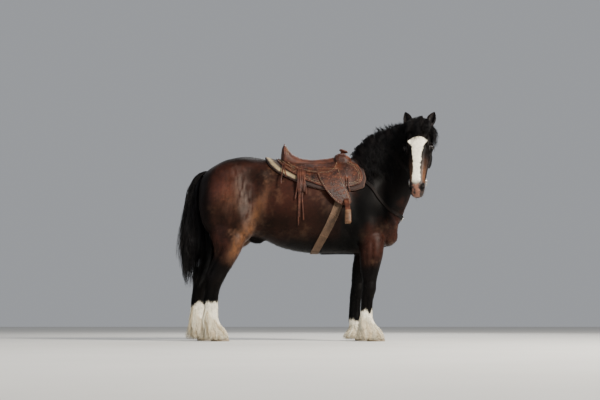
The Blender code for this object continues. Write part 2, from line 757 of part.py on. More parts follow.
def tail_body():
    """The dock and the thick middle of the tail."""
    rows = [
        ((-0.880, 1.620), (-0.820, 1.560), 0.035),
        ((-0.930, 1.572), (-0.850, 1.510), 0.050),
        ((-0.960, 1.460), (-0.870, 1.420), 0.064),
        ((-0.985, 1.310), (-0.865, 1.300), 0.082),
        ((-1.005, 1.150), (-0.822, 1.150), 0.092),
        ((-1.028, 1.000), (-0.800, 1.000), 0.094),
        ((-1.042, 0.860), (-0.822, 0.860), 0.085),
        ((-1.040, 0.740), (-0.880, 0.740), 0.056),
    ]
    sections = [(bx, 0, bz, fx, 0, fz, w, 0.5, 2.0) for (bx, bz), (fx, fz), w in rows]
    return loft("tail", sections, 10, 12)


def tail_locks(chance):
    """Long wavy locks all round the tail, and shorter ones over its root."""
    made = []
    for i in range(11):
        turn = 2 * math.pi * (i * 0.382 % 1.0)
        top = chance.uniform(1.36, 1.56) if i % 2 else chance.uniform(1.05, 1.32)
        bottom = chance.uniform(0.56, 0.80) if i % 3 else 0.56
        steps = 5
        wave = chance.uniform(0, 6.28)
        path = []
        for j in range(steps + 1):
            t = j / steps
            z = top + (bottom - top) * t
            spread = 0.018 + 0.075 * math.sin(math.pi * min(0.62, (1.60 - z) / 1.45)) - 0.030 * t * t
            back = -0.925 - 0.045 * min(1.0, (1.60 - z) / 0.62)
            if j == 0:
                spread *= 0.5
            path.append((
                back + (math.cos(turn) * 0.85 * spread) - 0.010 * math.sin(wave + 7 * t),
                math.sin(turn) * spread * 1.15 + 0.008 * math.cos(wave + 6 * t), z,
            ))
        across = (-math.sin(turn), math.cos(turn), 0)
        width = chance.uniform(0.070, 0.086)
        made.append(lock(f"tail_{i}", path, taper(width, steps), across, 0.018))
    return made


def feather_locks(kind, name, leg, chance):
    """Long hair that flares from below the knee or hock over the hoof."""
    x, y = hoof_middle(kind, SIDES[name])
    tree = surface_of(leg)
    made = []
    for i in range(8):
        turn = 2 * math.pi * (i + 0.2 * chance.uniform(-1, 1)) / 8
        rear = (1 - math.cos(turn)) / 2
        top = 0.140 + 0.170 * rear ** 1.5 + 0.02 * chance.uniform(-1, 1)
        shaft = x - 0.030 - 0.045 * (top - 0.12) / 0.2
        start = Vector((shaft + 0.09 * math.cos(turn), y + 0.09 * math.sin(turn), top))
        spot, normal, _, _ = tree.find_nearest(start)
        outward = Vector((math.cos(turn), math.sin(turn), 0))
        reach = 0.106 + 0.060 * rear + 0.010 * chance.uniform(-1, 1)
        end = Vector((x - 0.012 + reach * math.cos(turn), y + reach * math.sin(turn), 0.016 + 0.01 * (i % 3)))
        steps = 4
        path = [spot - outward * 0.012]
        for j in range(1, steps + 1):
            t = j / steps
            mid = spot.lerp(end, t) + outward * (0.030 * math.sin(math.pi * t) + 0.006)
            path.append(mid if j < steps else end)
        across = (-math.sin(turn), math.cos(turn), 0)
        width = chance.uniform(0.114, 0.128)
        made.append(lock(f"feather_{i}", path, taper(width, steps, 0.8), across, 0.016))
    return made


def with_locks(thing, locks):
    """Fuses locks into the part they grow from, one after another."""
    combine(thing, locks, "UNION", "EXACT")
    return largest_shell(thing)


# The rest of the head

def ear(name):
    """A pricked ear, cupped in front, that stands on the side of the poll."""
    side = SIDES[name]
    base = on_head(0.045, -0.040, 0.078 * side)
    tip = on_head(-0.126, -0.052, 0.140 * side)
    axis = (tip - base).normalized()
    front = (FACE_OUT - axis * FACE_OUT.dot(axis) + FACE_LEFT * 0.25 * side).normalized()
    cross = axis.cross(front).normalized()
    length = (tip - base).length
    rings = []
    for t, wide, deep in ((0, 0.026, 0.026), (0.18, 0.033, 0.030), (0.40, 0.041, 0.030),
                          (0.62, 0.036, 0.023), (0.82, 0.022, 0.015), (1.0, 0.004, 0.004)):
        middle = base + axis * (length * t)
        ring = []
        for k in range(8):
            angle = 2 * math.pi * k / 8
            ring.append(middle + cross * (wide * math.cos(angle)) + front * (deep * math.sin(angle)))
        rings.append([tuple(p) for p in ring])
    made = new_object(f"ear_{name}", ring_mesh("ear", np.array(rings)))
    hollow_frame = Matrix((cross, front, axis)).transposed().to_4x4()
    hollow_frame.translation = base + axis * (length * 0.52) + front * 0.026
    hollow = muscle("hollow", (0, 0, 0), (0.024, 0.030, length * 0.36), (0, 0, 0), hollow_frame, 8)
    cut(made, hollow)
    remove(hollow)
    return largest_shell(made)


def eye(name):
    """The ball of an eye."""
    down, out, left = EYE_AT
    return muscle(f"eye_{name}", on_head(down, out, left * SIDES[name]), (EYE_RADIUS,) * 3, fine=10)


def finish_head(head, eyes):
    """Cuts the sockets, nostrils and mouth into the head."""
    tools = [swollen(one, GAP * 1.6) for one in eyes]
    for side in SIDES.values():
        tools.append(muscle("nostril_cut", (0.676, -0.026, 0.064 * side), (0.024, 0.012, 0.018),
                            (0, 0, 30), HEAD_MATRIX, 12))
    combine(head, tools, "DIFFERENCE")
    mouth = box("mouth", (0.640, -0.1165, -0.2), (0.900, -0.1115, 0.2), HEAD_MATRIX)
    cut(head, mouth)
    remove(mouth)
    return largest_shell(head)


def flesh():
    """Every part of the animal itself, and the tack that is laid on it."""
    chance = np.random.RandomState(7)
    skin = thinned(body_skin(), 40000)
    head = thinned(head_skin(), TRIANGLES["head"])
    head.name = "head"
    eyes = [eye(name) for name in SIDES]
    finish_head(head, eyes)
    straps = bridle(head)
    ears = [clear_of(ear(name), head, straps[0], straps[1]) for name in SIDES]
    torso = torso_part(skin)
    neck = neck_part(skin, head)
    tack = saddle_and_collar(torso, neck)
    with_locks(neck, mane_locks(neck, chance))
    with_locks(head, forelock_locks(head, chance))
    clear_of(head, *straps, *ears)
    clear_of(neck, torso, head, *straps, *ears, *tack, grow=0.0012, solver="MANIFOLD")
    for kind in LEG_BOXES:
        for name in SIDES:
            leg_part(skin, kind, name, "upper")
            lower = leg_part(skin, kind, name, "lower")
            combine(lower, [coronet_block(kind, name)], "INTERSECT")
            largest_shell(lower)
            base = hoof(kind, name)
            with_locks(lower, feather_locks(kind, name, lower, chance))
            clear_of(lower, base)
    remove(skin)
    tail = with_locks(tail_body(), tail_locks(chance))
    legs = [bpy.data.objects[f"hindleg_{name}_{level}"] for name in SIDES for level in ("upper", "lower")]
    clear_of(tail, torso, *legs)


# Tack

AXIS_HEIGHT = 1.30         # height of the line that sheets of tack are spread around


def side_prism(name, outline):
    """A block as wide as the horse with this outline of X and Z, seen from the side."""
    count = len(outline)
    points = [(x, y, z) for y in (-1.0, 1.0) for x, z in outline]
    faces = [list(range(count)), list(range(2 * count - 1, count - 1, -1))]
    faces += [[j, j + count, (j + 1) % count + count, (j + 1) % count] for j in range(count)]
    return solid(name, points, faces)


def around_trunk(tree, x, angle, lift):
    """The point over the trunk at this X and angle from straight up, at a height over the hide."""
    out = Vector((0, math.sin(angle), math.cos(angle)))
    start = Vector((x, 0, AXIS_HEIGHT))
    spot, _, _, distance = tree.ray_cast(start, out)
    if spot is None:
        distance = 0.3
    return start + out * (distance + lift)


def shell_mesh(name, outer, inner):
    """A closed sheet between two grids of points of the same shape."""
    rows, columns = outer.shape[:2]
    points = np.concatenate([outer.reshape(-1, 3), inner.reshape(-1, 3)])
    below = rows * columns
    faces = []
    for i in range(rows - 1):
        for j in range(columns - 1):
            a = i * columns + j
            quad = [a, a + 1, a + columns + 1, a + columns]
            faces.append(quad)
            faces.append([k + below for k in reversed(quad)])
    rim = [j for j in range(columns)] + [i * columns + columns - 1 for i in range(1, rows)]
    rim += [(rows - 1) * columns + j for j in range(columns - 2, -1, -1)]
    rim += [i * columns for i in range(rows - 2, 0, -1)]
    for k, a in enumerate(rim):
        b = rim[(k + 1) % len(rim)]
        faces.append([a, a + below, b + below, b])
    return solid(name, points, faces)


def draped(name, tree, xs, angles, low, high, outline):
    """A sheet that follows the trunk between two heights, trimmed to an outline from the side."""
    grids = [
        np.array([[tuple(around_trunk(tree, x, angle, lift)) for angle in angles] for x in xs])
        for lift in (high, low)
    ]
    sheet = shell_mesh(name, *grids)
    trim = side_prism("trim", outline)
    cut(sheet, trim, "INTERSECT")
    remove(trim)
    return largest_shell(sheet)


def strap(name, tree, path, width, thick, sink=0.002, close=False):
    """A flat strap along points over a surface, bedded on it all along."""
    path = [Vector(p) for p in path]
    count = len(path)
    rings = []
    for i in range(count):
        if close:
            heading = path[(i + 1) % count] - path[i - 1]
        else:
            heading = path[min(i + 1, count - 1)] - path[max(i - 1, 0)]
        heading.normalize()
        spot, normal, _, _ = tree.find_nearest(path[i])
        side = normal.cross(heading).normalized()
        ring = []
        for way in (-1, 1):
            edge, _, _, _ = tree.find_nearest(spot + side * (width / 2 * way))
            ring.append((edge, edge + normal * thick))
        low, high = ring
        rings.append([low[0] - normal * sink, low[1], high[1], high[0] - normal * sink])
    points = [tuple(p) for ring in rings for p in ring]
    faces = grid_faces(count, 4)
    if close:
        last = 4 * (count - 1)
        faces += [[last + j, last + (j + 1) % 4, (j + 1) % 4, j] for j in range(4)]
    else:
        faces += [[3, 2, 1, 0], [4 * count - 4, 4 * count - 3, 4 * count - 2, 4 * count - 1]]
    return solid(name, points, faces)


def rod(name, start, end, radius, sides=10):
    """A round bar between two points."""
    start, end = Vector(start), Vector(end)
    bm = bmesh.new()
    turn = (end - start).to_track_quat("Z", "Y").to_matrix().to_4x4()
    place = Matrix.Translation((start + end) / 2) @ turn
    bmesh.ops.create_cone(bm, cap_ends=True, segments=sides, radius1=radius, radius2=radius,
                          depth=(end - start).length, matrix=place)
    bmesh.ops.triangulate(bm, faces=bm.faces)
    mesh = bpy.data.meshes.new(name)
    bm.to_mesh(mesh)
    bm.free()
    return new_object(name, mesh)


def ring(name, centre, normal, radius, tube, around=11, sides=4):
    """A plain round ring."""
    turn = Vector(normal).to_track_quat("Z", "Y").to_matrix()
    rows = []
    for i in range(around):
        a = 2 * math.pi * i / around
        row = []
        for j in range(sides):
            b = 2 * math.pi * j / sides
            spot = Vector(((radius + tube * math.cos(b)) * math.cos(a),
                           (radius + tube * math.cos(b)) * math.sin(a), tube * math.sin(b)))
            row.append(tuple(Vector(centre) + turn @ spot))
        rows.append(row)
    points = [p for row in rows for p in row]
    faces = grid_faces(around, sides)
    last = sides * (around - 1)
    faces += [[last + j, last + (j + 1) % sides, (j + 1) % sides, j] for j in range(sides)]
    return solid(name, points, faces)


PAD_OUTLINE = [
    (-0.235, 2.0), (-0.235, 1.76), (-0.190, 1.680), (-0.130, 1.620), (-0.050, 1.570), (0.050, 1.520),
    (0.150, 1.475), (0.300, 1.435), (0.500, 1.425), (0.620, 1.432), (0.700, 1.460), (0.722, 1.550),
    (0.700, 1.660), (0.640, 1.740), (0.600, 2.0),
]
SKIRT_OUTLINE = [
    (-0.134, 2.0), (-0.134, 1.770), (-0.100, 1.705), (-0.045, 1.648), (0.020, 1.602), (0.090, 1.562),
    (0.170, 1.515), (0.300, 1.468), (0.400, 1.458), (0.500, 1.460), (0.600, 1.472), (0.665, 1.495),
    (0.692, 1.550), (0.686, 1.610), (0.645, 1.690), (0.560, 1.740), (0.560, 2.0),
]
FENDER_OUTLINE = [
    (0.265, 1.665), (0.450, 1.665), (0.500, 1.520), (0.558, 1.385), (0.575, 1.300), (0.500, 1.285),
    (0.430, 1.320), (0.345, 1.420), (0.280, 1.540),
]
SEAT_ROWS = [
    (-0.090, 1.800, 0.090), (-0.076, 1.880, 0.150), (-0.050, 1.907, 0.168), (-0.022, 1.880, 0.165),
    (0.030, 1.812, 0.160), (0.120, 1.772, 0.150), (0.220, 1.760, 0.135), (0.330, 1.768, 0.125),
    (0.420, 1.785, 0.128), (0.465, 1.812, 0.142), (0.515, 1.815, 0.145), (0.570, 1.790, 0.125),
    (0.600, 1.755, 0.090),
]


def saddle_and_collar(torso, neck):
    """All the tack on the trunk. Gives back the pieces that lie near the mane."""
    tree = surface_of(torso, neck)
    spread = np.radians(np.linspace(-86, 86, 11))
    xs = np.linspace(-0.26, 0.76, 9)
    pad = draped("saddle_pad", tree, xs, spread, -0.006, PAD_THICKNESS, PAD_OUTLINE)
    clear_of(pad, torso, neck)
    over = PAD_THICKNESS
    skirts = draped("skirts", tree, xs, spread, over + GAP, over + SKIRT_THICKNESS, SKIRT_OUTLINE)
    clear_of(skirts, torso, neck)
    rows = [(x, 0, top, x, 0, 1.640, w, 0.40, 2.3) for x, top, w in SEAT_ROWS]
    seat = clear_of(loft("seat", rows, 14, 14), torso, pad, skirts, grow=0.0016)
    post = rod("horn", (0.500, 0, 1.770), (0.522, 0, 1.845), 0.020, 8)
    cap = muscle("horn_cap", (0.526, 0, 1.850), (0.045, 0.042, 0.014), (0, 12, 0), None, 8)
    clear_of(combine(post, [cap], "UNION"), seat)
    over += SKIRT_THICKNESS
    for name, side in SIDES.items():
        turns = spread[5:] if side > 0 else spread[:6]
        low = math.radians(17) * side
        turns = np.sort(np.r_[turns, turns[-1 if side > 0 else 0] + low])
        fender = draped(f"fender_{name}", tree, xs, turns, over + GAP, over + 0.007, FENDER_OUTLINE)
        clear_of(fender, seat, torso, grow=0.0010)
        stirrup_parts(tree, name, side, fender)
        billet(tree, name, side, (seat, skirts, pad, torso))
    collar = girth_and_collar(tree, torso, neck, pad, skirts)
    return pad, skirts, collar


def stirrup_parts(tree, name, side, fender):
    """One stirrup, open to the front, and the strap it hangs from."""
    middle = Vector((0.545, STIRRUP_OUT * side, 0))
    outer = [(-0.028, 1.222), (0.028, 1.222), (0.054, 1.180), (0.070, 1.115), (0.065, 1.095),
             (-0.065, 1.095), (-0.070, 1.115), (-0.054, 1.180)]
    inner = [(-0.018, 1.208), (0.018, 1.208), (0.043, 1.172), (0.058, 1.120), (0.055, 1.109),
             (-0.055, 1.109), (-0.058, 1.120), (-0.043, 1.172)]
    count = len(outer)
    points = []
    for shape in (outer, inner):
        for x in (-0.028, 0.028):
            points += [(middle.x + x, middle.y + y, z) for y, z in shape]
    faces = []
    for j in range(count):
        k = (j + 1) % count
        a, b, c, d = 0, count, 2 * count, 3 * count
        faces += [[a + j, a + k, b + k, b + j], [c + k, c + j, d + j, d + k],
                  [a + k, a + j, c + j, c + k], [b + j, b + k, d + k, d + j]]
    stirrup = solid(f"stirrup_{name}", points, faces)
    top = around_trunk(tree, 0.535, math.radians(84) * side, 0.046)
    hanger = lock(f"stirrup_strap_{name}", [top, top.lerp(middle + Vector((0, 0, 1.24)), 0.5),
                                            middle + Vector((0, 0, 1.225)), middle + Vector((0, 0, 1.20))],
                  [0.05, 0.05, 0.045, 0.045], (1, 0, 0), 0.010)
    clear_of(hanger, stirrup, fender)


def billet(tree, name, side, carriers):
    """The flat strap that hangs behind the seat over the horse's flank."""
    x = 0.105
    path = []
    for turn, lift in ((24, 0.040), (34, 0.040), (44, 0.040), (54, 0.040), (62, 0.038), (72, 0.024),
                       (84, 0.010), (98, 0.004), (112, 0.003)):
        path.append(around_trunk(tree, x - 0.010 * turn / 60, math.radians(turn) * side, lift))
    made = []
    for point in path:
        out = (point - Vector((point.x, 0, AXIS_HEIGHT))).normalized()
        made.append((point - out * 0.003, point + out * 0.004))
    half = 0.017
    rings = []
    for i, (low, high) in enumerate(made):
        w = half if i < 6 else half * 0.7
        rings.append([tuple(low - Vector((w, 0, 0))), tuple(low + Vector((w, 0, 0))),
                      tuple(high + Vector((w, 0, 0))), tuple(high - Vector((w, 0, 0)))])
    points = [p for row in rings for p in row]
    count = len(rings)
    faces = grid_faces(count, 4)
    faces += [[3, 2, 1, 0], [4 * count - 4, 4 * count - 3, 4 * count - 2, 4 * count - 1]]
    clear_of(solid(f"billet_{name}", points, faces), *carriers)


def girth_and_collar(tree, torso, neck, pad, skirts):
    """The band under the belly, and the collar across the breast with its strap between the legs."""
    path = []
    for turn, x in ((66, 0.500), (80, 0.482), (94, 0.458), (108, 0.425), (122, 0.382), (136, 0.330),
                    (150, 0.280), (165, 0.243), (180, 0.230)):
        path.append(around_trunk(tree, x, math.radians(turn), 0))
    path += [Vector((p.x, -p.y, p.z)) for p in reversed(path[:-1])]
    girth = strap("girth", tree, path, 0.078, 0.012, 0.003)
    clear_of(girth, torso, pad)
    side_path = [(0.700, 0.260, 1.560), (0.790, 0.290, 1.470), (0.870, 0.290, 1.370), (0.935, 0.260, 1.290),
                 (0.990, 0.190, 1.235), (1.040, 0.100, 1.205)]
    collar_path = side_path + [(1.060, 0, 1.200)] + [(x, -y, z) for x, y, z in reversed(side_path)]
    collar = strap("breast_collar", tree, collar_path, 0.036, STRAP_THICKNESS, 0.004)
    under = [(1.050, 0, 1.165), (1.020, 0, 1.080), (0.960, 0, 1.000), (0.900, 0, 0.920), (0.800, 0, 0.850),
             (0.650, 0, 0.830), (0.480, 0, 0.830), (0.300, 0, 0.835)]
    centre = strap("breast_strap", tree, under, 0.026, STRAP_THICKNESS, 0.003)
    clear_of(collar, torso, neck, pad, skirts)
    clear_of(centre, torso, collar, girth)
    return collar


HEADSTALL = [
    (-0.050, -0.105, 0.000), (-0.035, -0.110, 0.060), (0.010, -0.110, 0.110), (0.080, -0.108, 0.150),
    (0.170, -0.112, 0.160), (0.270, -0.118, 0.150), (0.370, -0.118, 0.130), (0.470, -0.112, 0.120),
    (0.560, -0.106, 0.110), (0.605, -0.104, 0.110),
]
BROWBAND = [(0.052, -0.085, 0.130), (0.058, -0.045, 0.120), (0.064, 0.000, 0.100), (0.068, 0.040, 0.060),
            (0.070, 0.050, 0.000)]
THROATLATCH = [(0.075, -0.130, 0.130), (0.130, -0.180, 0.120), (0.180, -0.240, 0.100), (0.215, -0.290, 0.050),
               (0.225, -0.300, 0.000)]


def both_sides(points):
    """Head points carried on from the left side through the middle to the right side."""
    return [on_head(*p) for p in reversed(points)] + [on_head(a, b, -c) for a, b, c in points[1:]] \
        if points[0][2] == 0 else \
        [on_head(*p) for p in points] + [on_head(a, b, -c) for a, b, c in reversed(points[:-1])]


def bridle(head):
    """Headstall, browband and throatlatch laid on the bare head, and the two rings of the bit."""
    tree = surface_of(head)
    straps = [
        strap("headstall", tree, both_sides(HEADSTALL), 0.020, 0.005, 0.002),
        strap("browband", tree, both_sides(BROWBAND), 0.020, 0.005, 0.002),
        strap("throatlatch", tree, both_sides(THROATLATCH), 0.014, 0.004, 0.002),
    ]
    clear_of(straps[1], straps[0])
    clear_of(straps[2], straps[0])
    for name, side in SIDES.items():
        spot, normal, _, _ = tree.find_nearest(on_head(0.642, -0.112, 0.12 * side))
        middle = spot + FACE_LEFT * (0.012 * side)
        loop = ring(f"bit_{name}", middle, FACE_LEFT, 0.034, 0.0042)
        bar = rod("bar", middle + FACE_DOWN * -0.034 * 0 + FACE_OUT * -0.034, spot + FACE_OUT * 0.004,
                  0.0045, 8)
        combine(loop, [bar], "UNION")
        clear_of(loop, head)
        clear_of(straps[0], loop)
    return straps


def finish(colours):
    """Gives each part its material, and puts the middle of the hoofprints' level at the origin."""
    parts = list(bpy.data.collections["horse"].objects)
    points = np.concatenate([np.array([v.co for v in part.data.vertices]) for part in parts])
    low, high = points.min(0), points.max(0)
    shift = Matrix.Translation((-(low[0] + high[0]) / 2, -(low[1] + high[1]) / 2, -low[2]))
    for part in parts:
        part.data.transform(shift)
        part.data.materials.clear()
        colour, roughness, metallic = next(
            value for key, value in colours.items() if part.name.startswith(key)
        )
        part.data.materials.append(material(part.name, colour, roughness, metallic))


HIDE, BLACK_HAIR, LEATHER = (0.075, 0.026, 0.014), (0.010, 0.008, 0.007), (0.125, 0.040, 0.018)
COLOURS = {
    "torso": (HIDE, 0.45, 0.0),
    "neck": (BLACK_HAIR, 0.50, 0.0),
    "head": (BLACK_HAIR, 0.50, 0.0),
    "headstall": ((0.030, 0.014, 0.008), 0.5, 0.0),
    "ear": (BLACK_HAIR, 0.55, 0.0),
    "eye": ((0.012, 0.006, 0.004), 0.08, 0.0),
    "tail": (BLACK_HAIR, 0.50, 0.0),
    "foreleg_right_upper": (HIDE, 0.45, 0.0),
    "foreleg_left_upper": (HIDE, 0.45, 0.0),
    "hindleg_right_upper": (HIDE, 0.45, 0.0),
    "hindleg_left_upper": (HIDE, 0.45, 0.0),
    "foreleg": ((0.720, 0.680, 0.600), 0.7, 0.0),
    "hindleg": ((0.720, 0.680, 0.600), 0.7, 0.0),
    "hoof": ((0.300, 0.240, 0.180), 0.4, 0.0),
    "saddle_pad": ((0.550, 0.470, 0.360), 0.9, 0.0),
    "girth": ((0.420, 0.300, 0.200), 0.9, 0.0),
    "bit": ((0.600, 0.600, 0.600), 0.25, 1.0),
    "breast": ((0.060, 0.025, 0.012), 0.5, 0.0),
    "browband": ((0.030, 0.014, 0.008), 0.5, 0.0),
    "throatlatch": ((0.030, 0.014, 0.008), 0.5, 0.0),
    "": (LEATHER, 0.5, 0.0),
}


if __name__ == "__main__":
    clear_scene()
    flesh()
    finish(dict(sorted(COLOURS.items(), key=lambda item: -len(item[0]))))
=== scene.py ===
"""The looks of a life-size bay draught horse with white stockings, in a western saddle and bridle.

Sizes are metres in the maker's frame: X forwards, Y to the horse's left, Z up, the floor at Z 0.
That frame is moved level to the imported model's own frame when a piece is placed.
"""
from __future__ import annotations

import logging
import math
from collections.abc import Iterator
from contextlib import contextmanager
from dataclasses import dataclass, field
from enum import Enum

import bmesh
import bpy
import numpy as np
from mathutils import Matrix, Vector
from mathutils.bvhtree import BVHTree


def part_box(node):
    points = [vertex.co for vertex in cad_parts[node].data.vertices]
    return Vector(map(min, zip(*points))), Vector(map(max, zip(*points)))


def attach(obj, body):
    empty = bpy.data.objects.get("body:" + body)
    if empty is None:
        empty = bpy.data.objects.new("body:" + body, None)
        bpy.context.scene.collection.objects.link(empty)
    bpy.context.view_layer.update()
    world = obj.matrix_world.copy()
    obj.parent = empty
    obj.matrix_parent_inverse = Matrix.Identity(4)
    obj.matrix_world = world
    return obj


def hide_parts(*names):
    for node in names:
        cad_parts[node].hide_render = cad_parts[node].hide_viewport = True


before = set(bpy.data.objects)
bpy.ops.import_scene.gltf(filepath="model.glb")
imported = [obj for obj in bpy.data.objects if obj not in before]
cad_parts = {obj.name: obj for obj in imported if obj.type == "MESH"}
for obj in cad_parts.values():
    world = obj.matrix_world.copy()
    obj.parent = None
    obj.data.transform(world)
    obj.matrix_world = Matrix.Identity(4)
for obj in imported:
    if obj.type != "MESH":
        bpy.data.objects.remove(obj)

LOG = logging.getLogger("horse")
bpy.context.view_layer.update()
Points = np.ndarray
Socket = bpy.types.NodeSocket

# The right fore hoof's box has its middle here in the maker's frame, which gives the shift
HOOF_BOX_MIDDLE = (0.8138, -0.185)
_low, _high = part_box("hoof_fore_right")
SHIFT = np.array([HOOF_BOX_MIDDLE[0] - (_low.x + _high.x) / 2, HOOF_BOX_MIDDLE[1] - (_low.y + _high.y) / 2, 0.0])

# The animal's driving sizes, which are those of its solids
LEG_SPREAD = 0.185
FAR_FORE_SHIFT = -0.092
FAR_HIND_SHIFT = -0.165
POLL = Vector((1.235, -0.330, 2.087))
HEAD_YAW = math.radians(15.0)
HEAD_PITCH = math.radians(22.0)
EYE_AT = (0.283, -0.036, 0.124)
EYE_RADIUS = 0.024
SIDES = {"right": -1.0, "left": 1.0}
AXIS_HEIGHT = 1.30
# The golden share of a turn, which spreads locks evenly round a leg or a tail
GOLDEN_SHARE = 0.381966
# An ear's radius at shares of its length
EAR_RADII = ((0, 0.15, 0.40, 0.62, 0.80, 0.93, 1), (0.030, 0.036, 0.043, 0.039, 0.027, 0.013, 0.002))


class Leg(Enum):
    """The two kinds of leg."""

    FORE = "fore"
    HIND = "hind"


def linear(hex_colour: str) -> tuple[float, float, float]:
    """A colour written as sRGB hex, as linear light.

    Args:
        hex_colour: Six digits after a hash.

    Returns:
        Red, green and blue.
    """
    values = [int(hex_colour[i:i + 2], 16) / 255 for i in (1, 3, 5)]
    return tuple(v / 12.92 if v <= 0.04045 else ((v + 0.055) / 1.055) ** 2.4 for v in values)


def smooth(low: float, high: float, value: Points) -> Points:
    """A smooth step from 0 at low to 1 at high: 3 t squared less 2 t cubed."""
    t = np.clip((value - low) / (high - low), 0.0, 1.0)
    return t * t * (3 - 2 * t)


def blend(a: Points, b: Points, share: Points) -> Points:
    """The mix of two colours or places by a share for each point."""
    return np.asarray(a) + (np.asarray(b) - np.asarray(a)) * share[..., None]


def noise(points: Points, size: float, seed: int = 0) -> Points:
    """Smooth noise from -1 to 1: numbers on a lattice of this size, blended between its corners.

    Args:
        points: Places, (n, 3).
        size: The lattice's spacing in metres.
        seed: Which noise.

    Returns:
        One value for each place.
    """
    spot = points / size + 17.3 * seed
    cell = np.floor(spot)
    part = spot - cell
    part = part * part * (3 - 2 * part)
    total = np.zeros(len(points))
    for corner in np.ndindex(2, 2, 2):
        at = cell + corner
        value = np.sin(at @ np.array([127.1, 311.7, 74.7]) + seed * 13.7) * 43758.5453
        weight = np.prod(np.where(corner, part, 1 - part), axis=1)
        total += weight * (value - np.floor(value))
    return 2 * total - 1


def rough_noise(points: Points, size: float, seed: int = 0, octaves: int = 3) -> Points:
    """Noise at several sizes: each next one half as large and half as strong.

    Args:
        points: Places, (n, 3).
        size: The largest spacing in metres.
        seed: Which noise.
        octaves: How many sizes.

    Returns:
        One value for each place.
    """
    total = np.zeros(len(points))
    for k in range(octaves):
        total += noise(points, size / 2**k, seed + k) / 2**k
    return total / 1.75


def unit(vectors: Points) -> Points:
    """The vectors at length one."""
    return vectors / np.maximum(np.linalg.norm(vectors, axis=-1, keepdims=True), 1e-9)


def head_axes() -> tuple[Vector, Vector, Vector]:
    """Unit vectors of the head: down the face, out of the face, and to the horse's left.

    Returns:
        The three directions.
    """
    ahead = Vector((-math.sin(HEAD_YAW), -math.cos(HEAD_YAW), 0.0))
    down = ahead * math.sin(HEAD_PITCH) - Vector((0, 0, 1)) * math.cos(HEAD_PITCH)
    out = ahead * math.cos(HEAD_PITCH) + Vector((0, 0, 1)) * math.sin(HEAD_PITCH)
    return down, out, out.cross(down)


FACE_DOWN, FACE_OUT, FACE_LEFT = head_axes()
HEAD_MATRIX = Matrix.Translation(POLL) @ Matrix((FACE_DOWN, FACE_OUT, FACE_LEFT)).transposed().to_4x4()
HEAD_TURN = np.array((FACE_DOWN, FACE_OUT, FACE_LEFT))
DOWN, OUT, LEFT = HEAD_TURN


def on_head(down: float, out: float, left: float) -> Vector:
    """The point of the world at these head coordinates."""
    return HEAD_MATRIX @ Vector((down, out, left))


def at_head(down: float, out: float, left: float) -> Points:
    """The same point as an array."""
    return np.array(on_head(down, out, left))


def head_places(points: Points) -> Points:
    """Head coordinates of world points: down, out, left."""
    return (points - np.array(POLL)) @ HEAD_TURN.T


# Meshes

def fast_mesh(name: str, points: Points, faces: Points) -> bpy.types.Mesh:
    """A mesh from whole arrays.

    Args:
        name: The mesh's name.
        points: Places, (n, 3).
        faces: Corner numbers, (m, 3) or (m, 4).

    Returns:
        The mesh, with smooth faces.
    """
    mesh = bpy.data.meshes.new(name)
    count, sides = faces.shape
    mesh.vertices.add(len(points))
    mesh.vertices.foreach_set("co", np.asarray(points, np.float32).ravel())
    mesh.loops.add(count * sides)
    mesh.loops.foreach_set("vertex_index", faces.astype(np.int32).ravel())
    mesh.polygons.add(count)
    mesh.polygons.foreach_set("loop_start", np.arange(0, count * sides, sides, dtype=np.int32))
    mesh.update(calc_edges=True)
    mesh.validate()
    mesh.shade_smooth()
    return mesh


def read_points(mesh: bpy.types.Mesh) -> Points:
    """The mesh's points as an array.

    Args:
        mesh: The mesh.

    Returns:
        Places, (n, 3).
    """
    points = np.empty(len(mesh.vertices) * 3, np.float32)
    mesh.vertices.foreach_get("co", points)
    return points.reshape(-1, 3).astype(float)


def read_normals(mesh: bpy.types.Mesh) -> Points:
    """The mesh's point normals as an array.

    Args:
        mesh: The mesh.

    Returns:
        Directions, (n, 3).
    """
    normals = np.empty(len(mesh.vertices) * 3, np.float32)
    mesh.vertex_normals.foreach_get("vector", normals)
    return normals.reshape(-1, 3).astype(float)


def write_points(mesh: bpy.types.Mesh, points: Points) -> None:
    """Puts an array of places into the mesh."""
    mesh.vertices.foreach_set("co", np.asarray(points, np.float32).ravel())
    mesh.update()


def paint(mesh: bpy.types.Mesh, colours: Points, name: str = "coat") -> None:
    """Stores a linear colour for each point of the mesh.

    Args:
        mesh: The mesh.
        colours: Red, green and blue, (n, 3).
        name: The layer's name.
    """
    layer = mesh.color_attributes.new(name, "FLOAT_COLOR", "POINT")
    rgba = np.ones((len(colours), 4), np.float32)
    rgba[:, :3] = np.clip(colours, 0, 1)
    layer.data.foreach_set("color", rgba.ravel())


def linked(name: str, data: bpy.types.ID) -> bpy.types.Object:
    """A new object of a mesh, light or camera, linked to the scene.

    Args:
        name: The object's name.
        data: What it shows.

    Returns:
        The object.
    """
    thing = bpy.data.objects.new(name, data)
    bpy.context.scene.collection.objects.link(thing)
    return thing


def drop(*things: bpy.types.Object) -> None:
    """Deletes helper objects and their meshes.

    Args:
        *things: The helpers.
    """
    for thing in things:
        mesh = thing.data
        bpy.data.objects.remove(thing, do_unlink=True)
        if mesh.users == 0:
            bpy.data.meshes.remove(mesh)


def applied(thing: bpy.types.Object) -> bpy.types.Mesh:
    """The object's mesh with its modifiers done, which takes the place of its own.

    Args:
        thing: The object.

    Returns:
        The new mesh.
    """
    made = bpy.data.meshes.new_from_object(thing.evaluated_get(bpy.context.evaluated_depsgraph_get()))
    thing.modifiers.clear()
    old, thing.data = thing.data, made
    bpy.data.meshes.remove(old)
    return made


